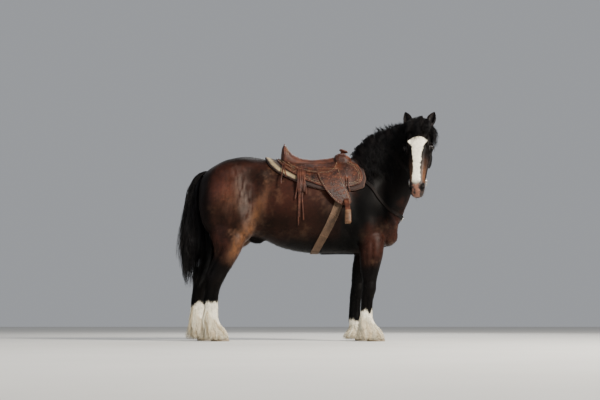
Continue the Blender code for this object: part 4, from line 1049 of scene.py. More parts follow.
@dataclass
class Anatomy:
    """The sections and muscles that the skin is stretched over, the same as in the solids."""

    trunk: list = field(default_factory=lambda: [
        (-0.890, 1.500, 1.250, 0.090, 0.50, 2.0), (-0.845, 1.615, 1.140, 0.190, 0.50, 2.1),
        (-0.740, 1.700, 1.050, 0.260, 0.48, 2.2), (-0.600, 1.765, 1.010, 0.300, 0.50, 2.3),
        (-0.420, 1.790, 1.000, 0.315, 0.52, 2.3), (-0.250, 1.768, 0.972, 0.318, 0.50, 2.25),
        (-0.100, 1.728, 0.905, 0.332, 0.48, 2.2), (0.100, 1.695, 0.857, 0.345, 0.46, 2.15),
        (0.300, 1.690, 0.838, 0.340, 0.45, 2.1), (0.480, 1.722, 0.840, 0.312, 0.45, 2.0),
        (0.620, 1.745, 0.838, 0.280, 0.45, 1.95), (0.780, 1.700, 0.845, 0.265, 0.45, 2.0),
        (0.900, 1.560, 0.900, 0.245, 0.46, 2.1), (0.985, 1.400, 0.985, 0.185, 0.48, 2.1),
        (1.035, 1.300, 1.090, 0.100, 0.50, 2.0)])
    trunk_muscles: list = field(default_factory=lambda: [
        ((0.760, 0.138, 1.400), (0.150, 0.120, 0.340), (14, 28, 0)),
        ((0.885, 0.165, 1.130), (0.120, 0.100, 0.140), (0, -35, 0)),
        ((0.700, 0.165, 1.090), (0.200, 0.125, 0.180), (0, 10, 0)),
        ((0.955, 0.100, 1.075), (0.086, 0.110, 0.158), (0, 0, 0)),
        ((-0.500, 0.120, 1.560), (0.320, 0.190, 0.200), (0, -8, 0)),
        ((-0.290, 0.225, 1.560), (0.110, 0.075, 0.100), (0, 0, 0)),
        ((-0.670, 0.140, 1.320), (0.205, 0.160, 0.330), (0, 6, 0)),
        ((-0.520, 0.165, 1.230), (0.200, 0.155, 0.320), (0, -8, 0)),
        ((-0.440, 0.185, 1.090), (0.085, 0.105, 0.130), (0, -20, 0))])
    neck: list = field(default_factory=lambda: [
        ((0.500, 0.000, 1.690), (0.980, 0.000, 1.050), 0.205, 0.45, 2.0),
        ((0.640, 0.000, 1.800), (1.074, 0.000, 1.190), 0.190, 0.42, 1.9),
        ((0.765, -0.015, 1.910), (1.146, -0.015, 1.320), 0.165, 0.42, 1.9),
        ((0.885, -0.045, 1.982), (1.192, -0.030, 1.460), 0.142, 0.44, 1.9),
        ((0.990, -0.090, 2.022), (1.205, -0.055, 1.590), 0.124, 0.46, 2.0),
        ((1.090, -0.145, 2.045), (1.235, -0.090, 1.700), 0.112, 0.50, 2.0),
        ((1.165, -0.205, 2.060), (1.250, -0.130, 1.785), 0.100, 0.50, 2.0),
        ((1.215, -0.265, 2.065), (1.250, -0.200, 1.840), 0.080, 0.50, 2.0)])
    foreleg: list = field(default_factory=lambda: [
        ((0.870, 1.080), (0.670, 1.060), 0.050, 0.50), ((0.903, 0.950), (0.645, 0.940), 0.096, 0.55),
        ((0.890, 0.820), (0.660, 0.830), 0.096, 0.58), ((0.860, 0.700), (0.668, 0.710), 0.078, 0.58),
        ((0.834, 0.600), (0.682, 0.610), 0.063, 0.55), ((0.824, 0.540), (0.690, 0.550), 0.064, 0.52),
        ((0.822, 0.490), (0.686, 0.500), 0.069, 0.52), ((0.806, 0.435), (0.680, 0.445), 0.059, 0.52),
        ((0.790, 0.380), (0.676, 0.385), 0.047, 0.52), ((0.784, 0.280), (0.668, 0.285), 0.045, 0.52),
        ((0.788, 0.215), (0.664, 0.205), 0.056, 0.52), ((0.812, 0.165), (0.676, 0.145), 0.054, 0.52),
        ((0.838, 0.120), (0.700, 0.100), 0.056, 0.52), ((0.862, 0.085), (0.715, 0.065), 0.066, 0.52),
        ((0.872, 0.060), (0.722, 0.045), 0.066, 0.52)])
    hindleg: list = field(default_factory=lambda: [
        ((-0.460, 1.180), (-0.760, 1.160), 0.060, 0.55), ((-0.405, 1.030), (-0.770, 1.030), 0.112, 0.58),
        ((-0.440, 0.910), (-0.738, 0.930), 0.104, 0.60), ((-0.492, 0.800), (-0.722, 0.840), 0.086, 0.60),
        ((-0.545, 0.710), (-0.748, 0.750), 0.064, 0.62), ((-0.590, 0.640), (-0.790, 0.672), 0.052, 0.62),
        ((-0.615, 0.590), (-0.806, 0.620), 0.060, 0.62), ((-0.642, 0.540), (-0.796, 0.560), 0.063, 0.58),
        ((-0.664, 0.480), (-0.800, 0.490), 0.054, 0.54), ((-0.676, 0.410), (-0.810, 0.415), 0.047, 0.52),
        ((-0.678, 0.300), (-0.816, 0.300), 0.046, 0.52), ((-0.676, 0.220), (-0.814, 0.205), 0.057, 0.52),
        ((-0.656, 0.168), (-0.788, 0.145), 0.055, 0.52), ((-0.632, 0.120), (-0.768, 0.100), 0.057, 0.52),
        ((-0.612, 0.085), (-0.754, 0.065), 0.066, 0.52), ((-0.602, 0.060), (-0.746, 0.045), 0.066, 0.52)])
    skull: list = field(default_factory=lambda: [
        (-0.035, -0.040, -0.150, 0.045, 0.55, 2.0), (0.000, -0.008, -0.200, 0.074, 0.60, 2.1),
        (0.050, 0.014, -0.235, 0.092, 0.62, 2.3), (0.120, 0.029, -0.262, 0.106, 0.68, 2.5),
        (0.200, 0.035, -0.280, 0.112, 0.72, 2.6), (0.280, 0.033, -0.282, 0.109, 0.70, 2.6),
        (0.360, 0.025, -0.256, 0.096, 0.66, 2.5), (0.440, 0.018, -0.212, 0.087, 0.62, 2.5),
        (0.520, 0.011, -0.172, 0.078, 0.58, 2.5), (0.600, 0.005, -0.158, 0.073, 0.55, 2.4),
        (0.665, 0.001, -0.158, 0.073, 0.55, 2.4), (0.715, -0.008, -0.156, 0.067, 0.52, 2.3),
        (0.755, -0.026, -0.142, 0.056, 0.50, 2.2), (0.782, -0.060, -0.115, 0.030, 0.50, 2.0)])
    head_muscles: list = field(default_factory=lambda: [
        ((0.285, -0.168, 0.078), (0.135, 0.108, 0.034), (0, 0, -10)),
        ((0.235, -0.016, 0.088), (0.085, 0.044, 0.030), (0, 0, 0)),
        ((0.284, -0.052, 0.099), (0.066, 0.045, 0.037), (0, 0, 0)),
        ((0.259, -0.029, 0.128), (0.013, 0.032, 0.016), (0, 0, 8)),
        ((0.307, -0.042, 0.125), (0.011, 0.028, 0.014), (0, 0, 8)),
        ((0.400, -0.083, 0.076), (0.095, 0.016, 0.016), (0, 4, 0)),
        ((0.692, -0.048, 0.042), (0.050, 0.036, 0.030), (0, 0, 25)),
        ((0.735, -0.080, 0.028), (0.040, 0.040, 0.036), (0, 0, 0)),
        ((0.705, -0.148, 0.018), (0.050, 0.028, 0.034), (0, 0, 0)),
        ((0.200, -0.235, 0.050), (0.070, 0.060, 0.036), (0, 0, 0))])

    def trunk_mesh(self) -> bpy.types.Mesh:
        """The trunk with its muscles, fused and smoothed.

        Returns:
            The mesh.
        """
        rows = [(x, 0, top, x, 0, bottom, w, level, p) for x, top, bottom, w, level, p in self.trunk]
        pieces = [loft("trunk", rows, 48, 60)]
        for side in SIDES.values():
            pieces += [ellipsoid((x, y * side, z), radii, (turn[0] * side, turn[1], turn[2]))
                       for (x, y, z), radii, turn in self.trunk_muscles]
        return fused("trunk", pieces, 0.025, 60)

    def neck_rows(self) -> list:
        """The neck's sections as rows of numbers."""
        return [(*crest, *throat, w, level, p) for crest, throat, w, level, p in self.neck]

    def leg_rows(self, leg: Leg, side: float) -> list:
        """A leg's sections as rows of numbers, carried back where it is the far one.

        Args:
            leg: Which leg.
            side: -1 for right, 1 for left.

        Returns:
            The rows, from the top down.
        """
        fore = leg is Leg.FORE
        full = (FAR_FORE_SHIFT if fore else FAR_HIND_SHIFT) if side > 0 else 0.0
        span = (1.05, 0.45) if fore else (1.20, 0.62)
        made = []
        for (fx, fz), (bx, bz), w, level in (self.foreleg if fore else self.hindleg):
            spread = 0.012 * min(1.0, fz) if fore else 0.020 * min(1.0, fz) - 0.005
            y = side * (LEG_SPREAD + spread - 0.25 * max(0.0, fz - (0.90 if fore else 0.95)))
            made.append((fx + leg_shift(fz, full, *span), y, fz, bx + leg_shift(bz, full, *span), y, bz, w, level, 2.1))
        return made

    def body_mesh(self) -> bpy.types.Mesh:
        """Trunk, neck and legs as one skin.

        Returns:
            The mesh.
        """
        pieces = [self.trunk_mesh(), loft("neck", self.neck_rows(), 48, 50),
                  ellipsoid((-0.335, 0, 0.990), (0.090, 0.044, 0.052), (0, 12, 0))]
        for side in SIDES.values():
            pieces += [loft("leg", self.leg_rows(leg, side), 32, 90) for leg in Leg]
        return fused("body", pieces, 0.0095, 34)

    def head_mesh(self) -> bpy.types.Mesh:
        """The head as a finer skin, before its features are drawn in.

        Returns:
            The mesh.
        """
        rows = [(*on_head(d, top, 0), *on_head(d, bottom, 0), *rest) for d, top, bottom, *rest in self.skull]
        pieces = [loft("skull", rows, 60, 80)]
        for side in SIDES.values():
            pieces += [ellipsoid((x, y, z * side), (r[0] * side, r[1] * side, r[2]), t, HEAD_MATRIX)
                       for (x, y, z), r, t in self.head_muscles]
        return fused("head", pieces, 0.0045, 18)


@dataclass
class Markings:
    """Bay with black points: mottled red-brown trunk, white blaze and stockings, with the neck and shoulder painted
    near black as shade and painted light and shade on the trunk.
    """

    bay: tuple = linear("#31150b")
    tan: tuple = linear("#794c2a")
    liver: tuple = linear("#100805")
    black: tuple = linear("#050505")
    white: tuple = linear("#f7edd6")
    pink: tuple = linear("#7c5444")
    grey: tuple = linear("#2b2321")
    # a greyish tone for a painted sheen highlight on the haunch
    painted_sheen: tuple = linear("#85756a")
    red: tuple = linear("#5e2714")
    blaze_down: tuple = (0.192, 0.200, 0.212, 0.236, 0.256, 0.274, 0.300,
                         0.360, 0.460, 0.560, 0.600, 0.640, 0.680, 0.710)
    blaze_half: tuple = (-0.01, 0.036, 0.064, 0.089, 0.086, 0.064, 0.054,
                         0.045, 0.034, 0.033, 0.038, 0.042, 0.030, -0.01)
    stockings: dict = field(default_factory=lambda: {
        (Leg.FORE, -1.0): 0.282, (Leg.FORE, 1.0): 0.195, (Leg.HIND, -1.0): 0.362, (Leg.HIND, 1.0): 0.366})

    def stocking(self, points: Points) -> Points:
        """How white the leg is at these points: 1 below a jagged line round each leg.

        Args:
            points: Places, (n, 3).

        Returns:
            A share for each place.
        """
        x, y, z = points.T
        fore = x > 0.1
        height = np.where(fore, np.where(y < 0, self.stockings[Leg.FORE, -1.0], self.stockings[Leg.FORE, 1.0]),
                          np.where(y < 0, self.stockings[Leg.HIND, -1.0], self.stockings[Leg.HIND, 1.0]))
        jag = 0.034 * noise(points * (1, 1, 0.22), 0.030, 3) + 0.014 * noise(points * (1, 1, 0.3), 0.010, 4)
        return smooth(0.006, -0.006, z - height - jag)

    def colours(self, points: Points) -> Points:
        """The coat's colour at these points of the skin.

        It starts as bay mixed towards liver and tan by noise of 25 to 2 cm, and each region's
        share of tan, liver, black or white is a smooth step on its own place. Some regions are
        painted light and shade: painted shade on the neck, shoulder, lower barrel, belly, thighs and
        inside the nostrils, painted light on the flank and gaskin, and a painted sheen highlight on the haunch.

        Args:
            points: Places in the maker's frame, (n, 3).

        Returns:
            Linear colours, (n, 3).
        """
        x, y, z = points.T
        side = np.abs(y)
        down, out, left = head_places(points).T
        on_face = (smooth(-0.12, -0.08, down) * smooth(0.86, 0.83, down) * smooth(0.18, 0.16, np.abs(left))
                   * smooth(-0.33, -0.30, out) * smooth(0.12, 0.10, out))
        wide, patch, fleck = (rough_noise(points, size, seed) for size, seed in ((0.26, 1), (0.085, 4), (0.022, 8)))
        colour = blend(self.bay, self.liver, 0.9 * smooth(-0.40, 0.55, wide + 0.5 * patch + 0.35 * fleck))
        colour = blend(colour, self.tan, 0.30 * smooth(0.1, 0.8, patch - 0.3 * wide + 0.55 * fleck))

        def spot(cx: float, cz: float, rx: float, rz: float, lean: float = 0.0) -> Points:
            """A soft oval seen from the side, 1 at its middle."""
            u, v = (x - cx - lean * (z - cz)) / rx, (z - cz) / rz
            return np.exp(-(u * u + v * v)) * smooth(0.05, 0.16, side)

        comb = rough_noise(points * (1, 1, 0.28), 0.020, 12)
        # tan hair on the flank, made brighter as painted light where the flank faces the light
        colour = blend(colour, self.tan,
                       np.clip(1.05 * spot(-0.310, 1.210, 0.050, 0.190, 0.40) * (0.7 + 0.7 * comb), 0, 1))
        colour = blend(colour, self.red, 0.60 * spot(-0.630, 1.430, 0.170, 0.150) * (0.7 + 0.5 * fleck))
        # tan on the front of the gaskin, partly painted light on the side that faces the light
        colour = blend(colour, self.tan, 0.90 * spot(-0.500, 0.900, 0.055, 0.180, 0.45) * (0.7 + 0.6 * comb))
        colour = blend(colour, self.tan, 0.35 * spot(-0.560, 1.350, 0.120, 0.180, 0.10) * (0.6 + 0.7 * comb))
        # painted sheen highlight: a greyish streak down the haunch that stands in for its gloss
        colour = blend(colour, self.painted_sheen,
                       np.clip(0.50 * spot(-0.440, 1.370, 0.055, 0.210, -0.22) * (0.55 + 1.3 * comb), 0, 1))
        colour = blend(colour, self.liver, 0.50 * spot(-0.700, 1.240, 0.150, 0.170))
        # painted shade on the lower barrel
        colour = blend(colour, self.liver, 0.75 * spot(-0.080, 1.130, 0.260, 0.140))
        colour = blend(colour, self.bay, 0.45 * spot(-0.050, 1.350, 0.200, 0.120))
        # painted shade on the shoulder
        colour = blend(colour, self.black, 0.65 * spot(0.700, 1.260, 0.110, 0.160))
        # painted shade on the insides of the thighs, between the hind legs
        inner = smooth(0.17, 0.09, side) * smooth(-0.55, -0.68, x) * smooth(1.55, 1.35, z)
        colour = blend(colour, self.black, 0.85 * inner)
        colour = blend(colour, self.liver, 0.75 * smooth(1.58, 1.74, z + 0.04 * patch) * smooth(0.9, 0.4, x))
        # painted shade: the lower barrel darker towards the belly
        colour = blend(colour, self.liver,
                       0.85 * smooth(1.06, 0.90, z) * smooth(-0.36, -0.20, x) * smooth(0.72, 0.55, x))
        # painted shade on the lower barrel behind the elbow
        colour = blend(colour, self.liver, 0.80 * spot(0.330, 1.150, 0.230, 0.230))
        # painted shade: the lower shoulder painted near black
        colour = blend(colour, self.black, 0.95 * np.minimum(1, 1.4 * spot(0.570, 1.020, 0.130, 0.330)))
        # painted shade under the belly
        colour = blend(colour, self.black,
                       0.80 * smooth(1.02, 0.92, z) * smooth(-0.25, 0.05, x) * smooth(0.70, 0.60, x))
        colour = blend(colour, self.black, 0.60 * smooth(1.66, 1.76, z + 0.03 * patch) * smooth(-0.05, -0.20, x))
        # painted shade on the back of the thighs
        colour = blend(colour, self.black, 0.85 * smooth(-0.70, -0.81, x) * smooth(0.75, 1.0, z))
        below = np.exp(-((x + 0.33) / 0.10) ** 2 - (y / 0.07) ** 2) * smooth(1.08, 1.02, z)
        colour = blend(colour, self.black, 0.95 * np.minimum(1, 1.3 * below))
        # painted shade: the neck and shoulder painted near black, darker than a bay's brown coat, and the browner
        # breast and forearm below them
        edge = x - 0.600 + 0.20 * np.clip(1.45 - z, 0, 1) + 0.06 * patch
        dark = smooth(-0.05, 0.10, edge) * smooth(0.94, 1.14, z + 0.10 * patch - 0.60 * np.clip(x - 0.72, 0, 1))
        colour = blend(colour, self.black, 0.97 * dark)
        # black legs
        fore_black = smooth(0.86, 0.64, z + 0.05 * patch) * smooth(0.25, 0.35, x)
        hind_black = smooth(0.90, 0.66, z + 0.05 * patch + 0.55 * (x + 0.60)) * smooth(-0.25, -0.35, x)
        colour = blend(colour, self.black, 0.96 * np.maximum(fore_black, hind_black))
        colour = blend(colour, self.white, self.stocking(points) * smooth(0.62, 0.50, z))
        # the head: brown in the cheeks, tan by the mouth, and its white blaze
        cheek = smooth(0.34, 0.56, down) * smooth(0.030, 0.060, np.abs(left)) * smooth(-0.20, -0.11, out)
        brown = blend(self.liver, self.tan, 0.25 + 0.35 * smooth(0.45, 0.60, down) + 0.2 * fleck)
        colour = blend(colour, brown, 0.80 * on_face * cheek)
        jitter = 0.006 * noise(points, 0.020, 21) + 0.003 * noise(points, 0.006, 22)
        half = np.interp(down, self.blaze_down, self.blaze_half)
        front = smooth(-0.085, -0.060, out + 0.6 * smooth(0.58, 0.75, down) * 0.05)
        blaze = smooth(-0.003, 0.003, half + jitter - np.abs(left + 0.003)) * front * smooth(0.15, 0.17, down)
        colour = blend(colour, self.white, blaze * on_face)
        muzzle = smooth(0.640, 0.700, down + 0.02 * patch + 0.25 * np.abs(left))
        middle = smooth(0.058, 0.020, np.abs(left + 0.004)) * smooth(0.66, 0.70, down)
        skin = blend(self.grey, self.pink, smooth(0.35, 1.05, rough_noise(points, 0.020, 31) * 0.9 + middle * 0.85))
        colour = blend(colour, skin, 0.92 * muzzle * smooth(-0.25, -0.16, out) * on_face)
        for way in SIDES.values():
            away = np.linalg.norm((points - at_head(EYE_AT[0], EYE_AT[1], EYE_AT[2] * way)), axis=1)
            colour = blend(colour, self.black, 0.9 * smooth(0.045, 0.030, away))
            # painted shade inside the nostrils
            hole = np.stack([(down - 0.706) / 0.034, (out + 0.036) / 0.026, (left - 0.056 * way) / 0.026], axis=1)
            colour = blend(colour, self.black, 0.92 * smooth(1.5, 0.9, np.linalg.norm(hole, axis=1)))
        return colour


@dataclass
class Skin:
    """The one skin over trunk, neck, legs and head, with its ears."""

    anatomy: Anatomy
    markings: Markings
    inset: float = 0.002
    # Lines of hollow ground seen from the side: their points of X and Z, their width and depth
    hollows: tuple = (
        (((0.600, 1.600), (0.585, 1.400), (0.640, 1.200), (0.700, 1.060)), 0.060, 0.009),
        (((0.840, 1.520), (0.900, 1.350), (0.950, 1.200)), 0.045, 0.007),
        (((0.520, 1.060), (0.600, 0.980), (0.660, 0.900)), 0.030, 0.010),
        (((-0.720, 1.560), (-0.715, 1.350), (-0.680, 1.150), (-0.630, 0.960)), 0.050, 0.008),
        (((-0.560, 1.300), (-0.540, 1.120), (-0.560, 0.960)), 0.055, 0.006),
        (((-0.330, 1.480), (-0.300, 1.330), (-0.330, 1.180), (-0.350, 1.080)), 0.050, 0.012),
        (((-0.250, 1.300), (-0.245, 1.180), (-0.290, 1.060)), 0.030, -0.008),
        (((-0.640, 0.880), (-0.690, 0.780), (-0.745, 0.690), (-0.765, 0.640)), 0.016, 0.014),
        (((-0.540, 0.900), (-0.590, 0.780), (-0.640, 0.680)), 0.018, 0.006),
        (((-0.720, 0.520), (-0.735, 0.400), (-0.745, 0.260)), 0.010, 0.006),
        (((0.780, 0.930), (0.775, 0.780), (0.760, 0.640)), 0.018, 0.007),
        (((0.715, 0.860), (0.722, 0.740), (0.730, 0.620)), 0.014, 0.005),
        (((0.732, 0.430), (0.726, 0.330), (0.722, 0.240)), 0.010, 0.006),
        (((0.790, 0.565), (0.745, 0.560), (0.715, 0.545)), 0.012, 0.004),
        (((0.790, 0.470), (0.745, 0.462), (0.712, 0.455)), 0.012, 0.004),
    )

    @staticmethod
    def line_distance(flat: Points, line: tuple) -> Points:
        """Each point's distance from a line of segments in the plane.

        Args:
            flat: Places in the plane, (n, 2).
            line: The line's points.

        Returns:
            One distance for each place.
        """
        line = np.asarray(line, float)
        best = np.full(len(flat), 1e9)
        for a, b in zip(line[:-1], line[1:]):
            t = np.clip((flat - a) @ (b - a) / ((b - a) @ (b - a)), 0, 1)[:, None]
            best = np.minimum(best, np.linalg.norm(flat - a - t * (b - a), axis=1))
        return best

    def sunk(self, points: Points, normals: Points) -> Points:
        """How far the skin sinks at each point between its muscles and tendons.

        Each line's depth falls off with its distance as a Gaussian of its width, and counts only
        where the skin faces to the side.

        Args:
            points: Places, (n, 3).
            normals: The skin's directions there.

        Returns:
            One depth for each place.
        """
        x, y, z = points.T
        total = np.zeros(len(points))
        full = np.where(x > 0.1, FAR_FORE_SHIFT, FAR_HIND_SHIFT) * (y > 0)
        top, bottom = np.where(x > 0.1, 1.05, 1.20), np.where(x > 0.1, 0.45, 0.62)
        t = np.clip((top - z) / (top - bottom), 0, 1)
        flat = np.stack([x - full * t * t * (3 - 2 * t), z], axis=1)
        for line, width, depth in self.hollows:
            total += depth * np.exp(-(self.line_distance(flat, line) / width) ** 2)
        total *= smooth(0.25, 0.75, np.abs(normals[:, 1]))
        total += (0.010 * np.exp(-(y / 0.016) ** 2) * smooth(0.93, 0.99, x) * smooth(1.34, 1.24, z)
                  * smooth(0.95, 1.02, z))
        total -= 0.024 * smooth(0.93, 1.00, x) * smooth(0.16, 0.08, np.abs(y)) * np.exp(-((z - 1.17) / 0.075) ** 2)
        total -= 0.016 * smooth(0.90, 0.95, x) * smooth(0.20, 0.10, np.abs(y)) * np.exp(-((z - 0.965) / 0.05) ** 2)
        return total

    def features(self, points: Points) -> Points:
        """Moves of the head's points that draw nostrils, mouth, lips, temples and cheek bones.

        Each is a smooth bump or pit in head coordinates: a Gaussian of an oval's own distance.

        Args:
            points: The head's places, (n, 3).

        Returns:
            One move for each place.
        """
        down, out, left = head_places(points).T
        side = np.sign(left)
        move = np.zeros((len(points), 3))
        inward = -side[:, None] * LEFT

        def oval(cd: float, co: float, cl: float, rd: float, ro: float, rl: float, lean: float = 0.0) -> Points:
            """A soft oval's weight, leaning out as it goes down."""
            u, v, w = (down - cd) / rd, (out - co - lean * (down - cd)) / ro, (np.abs(left) - cl) / rl
            return np.exp(-(u * u + v * v + w * w) ** 1.5)

        move += inward * (0.028 * oval(0.706, -0.038, 0.060, 0.027, 0.013, 0.035, 0.55))[:, None]
        rim = (oval(0.706, -0.034, 0.064, 0.046, 0.026, 0.040, 0.55)
               - oval(0.706, -0.036, 0.060, 0.032, 0.016, 0.040, 0.55))
        move -= inward * (0.009 * rim)[:, None]
        slit = np.exp(-((out + 0.114 + 0.10 * (down - 0.70)) / 0.0045) ** 2) * smooth(0.625, 0.650, down)
        move += unit(np.stack([0 * down, 0 * out, -left], 1) @ HEAD_TURN - 0.25 * DOWN) \
            * (0.010 * slit)[:, None]
        move += inward * (0.007 * oval(0.190, -0.030, 0.090, 0.045, 0.026, 0.05))[:, None]
        move += inward * (0.014 * oval(*EYE_AT, 0.024, 0.020, 0.06))[:, None]
        move += inward * (0.006 * oval(0.365, -0.040, 0.085, 0.040, 0.030, 0.05))[:, None]
        move += inward * (0.006 * oval(0.560, -0.075, 0.070, 0.090, 0.030, 0.05))[:, None]
        crest = (np.exp(-((out + 0.080 + 0.02 * (down - 0.4)) / 0.009) ** 2) * smooth(0.29, 0.33, down)
                 * smooth(0.50, 0.44, down))
        move -= inward * (0.004 * crest)[:, None]
        jaw = (np.exp(-((down - 0.335 - 0.9 * (out + 0.12)) / 0.012) ** 2) * smooth(-0.25, -0.20, out)
               * smooth(-0.08, -0.12, out))
        move += inward * (0.005 * jaw * smooth(0.050, 0.075, np.abs(left)))[:, None]
        wrinkle = np.sin((down - 0.600) * 420) * smooth(0.600, 0.620, down) * smooth(0.668, 0.650, down)
        move -= inward * (0.0010 * wrinkle * smooth(0.045, 0.06, np.abs(left)) * smooth(-0.075, -0.06, out))[:, None]
        return move

    @staticmethod
    def ear_frame(side: float) -> tuple[Points, Points, Points, Points, float]:
        """An ear's base, its axis, the way its cup opens, the way across, and its length.

        Args:
            side: -1 for right, 1 for left.

        Returns:
            The four places and directions, and the length.
        """
        near = side < 0
        base = at_head(0.050, -0.042, (0.100 if near else 0.092) * side)
        tip = at_head(-0.144 if near else -0.128, -0.052, (0.150 if near else 0.134) * side)
        axis = unit(tip - base)
        front = OUT + 0.25 * side * LEFT
        front = unit(front - axis * (front @ axis))
        return base, axis, front, np.cross(axis, front), float(np.linalg.norm(tip - base))

    def ear(self, side: float) -> bpy.types.Mesh:
        """A pricked ear: a leaf rolled into a cup that opens forwards, 4 mm thick.

        Across, its section is an arc of a circle that leaves a gap in front, wider from a fifth of
        its height up, and its radius swells to 41 mm and closes at the tip.

        Args:
            side: -1 for right, 1 for left.

        Returns:
            The mesh.
        """
        base, axis, front, across, long = self.ear_frame(side)
        t = np.linspace(0, 1, 30)[:, None]
        radius = np.interp(t, *EAR_RADII)
        deep = np.interp(t, [0, 0.20, 0.45, 0.80, 1], [1.0, 0.92, 0.75, 0.62, 0.5])
        gap = np.radians(np.interp(t, [0, 0.10, 0.30, 0.60, 1], [10, 26, 62, 66, 60]))
        turn = gap + (2 * math.pi - 2 * gap) * np.linspace(0, 1, 33)[None, :]
        bend = 0.010 * np.sin(math.pi * t) * side
        shells = []
        for inner in (0.0, 1.0):
            r = np.maximum(radius - 0.004 * inner, 0.0008)
            shells.append(base + axis * (t * long - 0.002 * inner * t)[..., None]
                          + across * (r * np.sin(turn) - bend)[..., None]
                          + front * (r * deep * np.cos(turn))[..., None])
        return shell_mesh("ear", shells[0], shells[1])

    def build(self) -> bpy.types.Object:
        """Fuses, refines, sculpts and paints the skin.

        Returns:
            The piece.
        """
        head = self.anatomy.head_mesh()
        head_tree = tree_of(head)
        body = self.anatomy.body_mesh()
        mesh = fused("skin", [body, head], 0.0129, 2)
        for near, rounds in ((0.014, 1), (0.010, 1)):
            with edited(mesh) as bm:
                places = np.array([v.co for v in bm.verts])
                down, out, left = head_places(places).T
                inside = (down > -0.06) & (down < 0.81) & (np.abs(left) < 0.17) & (out > -0.31) & (out < 0.08)
                if near < 0.012:
                    eye = (np.abs(down - EYE_AT[0]) < 0.050) & (np.abs(np.abs(left) - 0.125) < 0.045) & (out > -0.10)
                    inside &= (down > 0.60) | eye
                picked = set(np.flatnonzero(inside).tolist())
                edges = [e for e in bm.edges if e.verts[0].index in picked and e.verts[1].index in picked]
                bmesh.ops.subdivide_edges(bm, edges=edges, cuts=1, use_grid_fill=True)
            points = read_points(mesh)
            down = head_places(points)[:, 0]
            near_head = np.linalg.norm(points - at_head(0.37, -0.1, 0), axis=1) < 0.5
            rows = np.flatnonzero((down > -0.08) & (down < 0.83) & near_head)
            place, _, away = nearest(head_tree, points[rows])
            points[rows] = blend(points[rows], place, smooth(near, near * 0.45, away))
            write_points(mesh, points)
            relaxed(mesh, rounds)
        points, normals = read_points(mesh), read_normals(mesh)
        points -= normals * (self.sunk(points, normals) + self.inset)[:, None]
        local = head_places(points)
        on_face = smooth(0.10, 0.16, local[:, 0]) * (np.abs(local[:, 2]) < 0.17) * smooth(-0.32, -0.28, local[:, 1])
        points += self.features(points) * on_face[:, None]
        write_points(mesh, points)
        with edited(mesh) as bm:
            bmesh.ops.triangulate(bm, faces=[f for f in bm.faces if len(f.verts) > 4])
        self.tree = tree_of(mesh)
        self.bare = mesh.copy()
        paint(mesh, self.markings.colours(points))
        ears = [self.ear(side) for side in SIDES.values()]
        for ear in ears:
            spots = read_points(ear)
            brown = np.array(linear("#2e1f18"))
            fleck = smooth(-0.3, 0.6, noise(spots, 0.015, 5))[:, None]
            paint(ear, np.tile(linear("#120f10"), (len(spots), 1)) + 0.25 * brown * fleck)
        whole = joined("skin", [mesh, *ears])
        nodes = ["torso", "neck", "head", "ear_left", "ear_right"]
        nodes += [f"{kind}_{name}_{level}" for kind in ("foreleg", "hindleg") for name in SIDES
                  for level in ("upper", "lower")]
        finish = HairCoat("short_glossy_bay_hair").build()
        return Piece.place("skin", whole, finish, "hide", tuple(nodes))


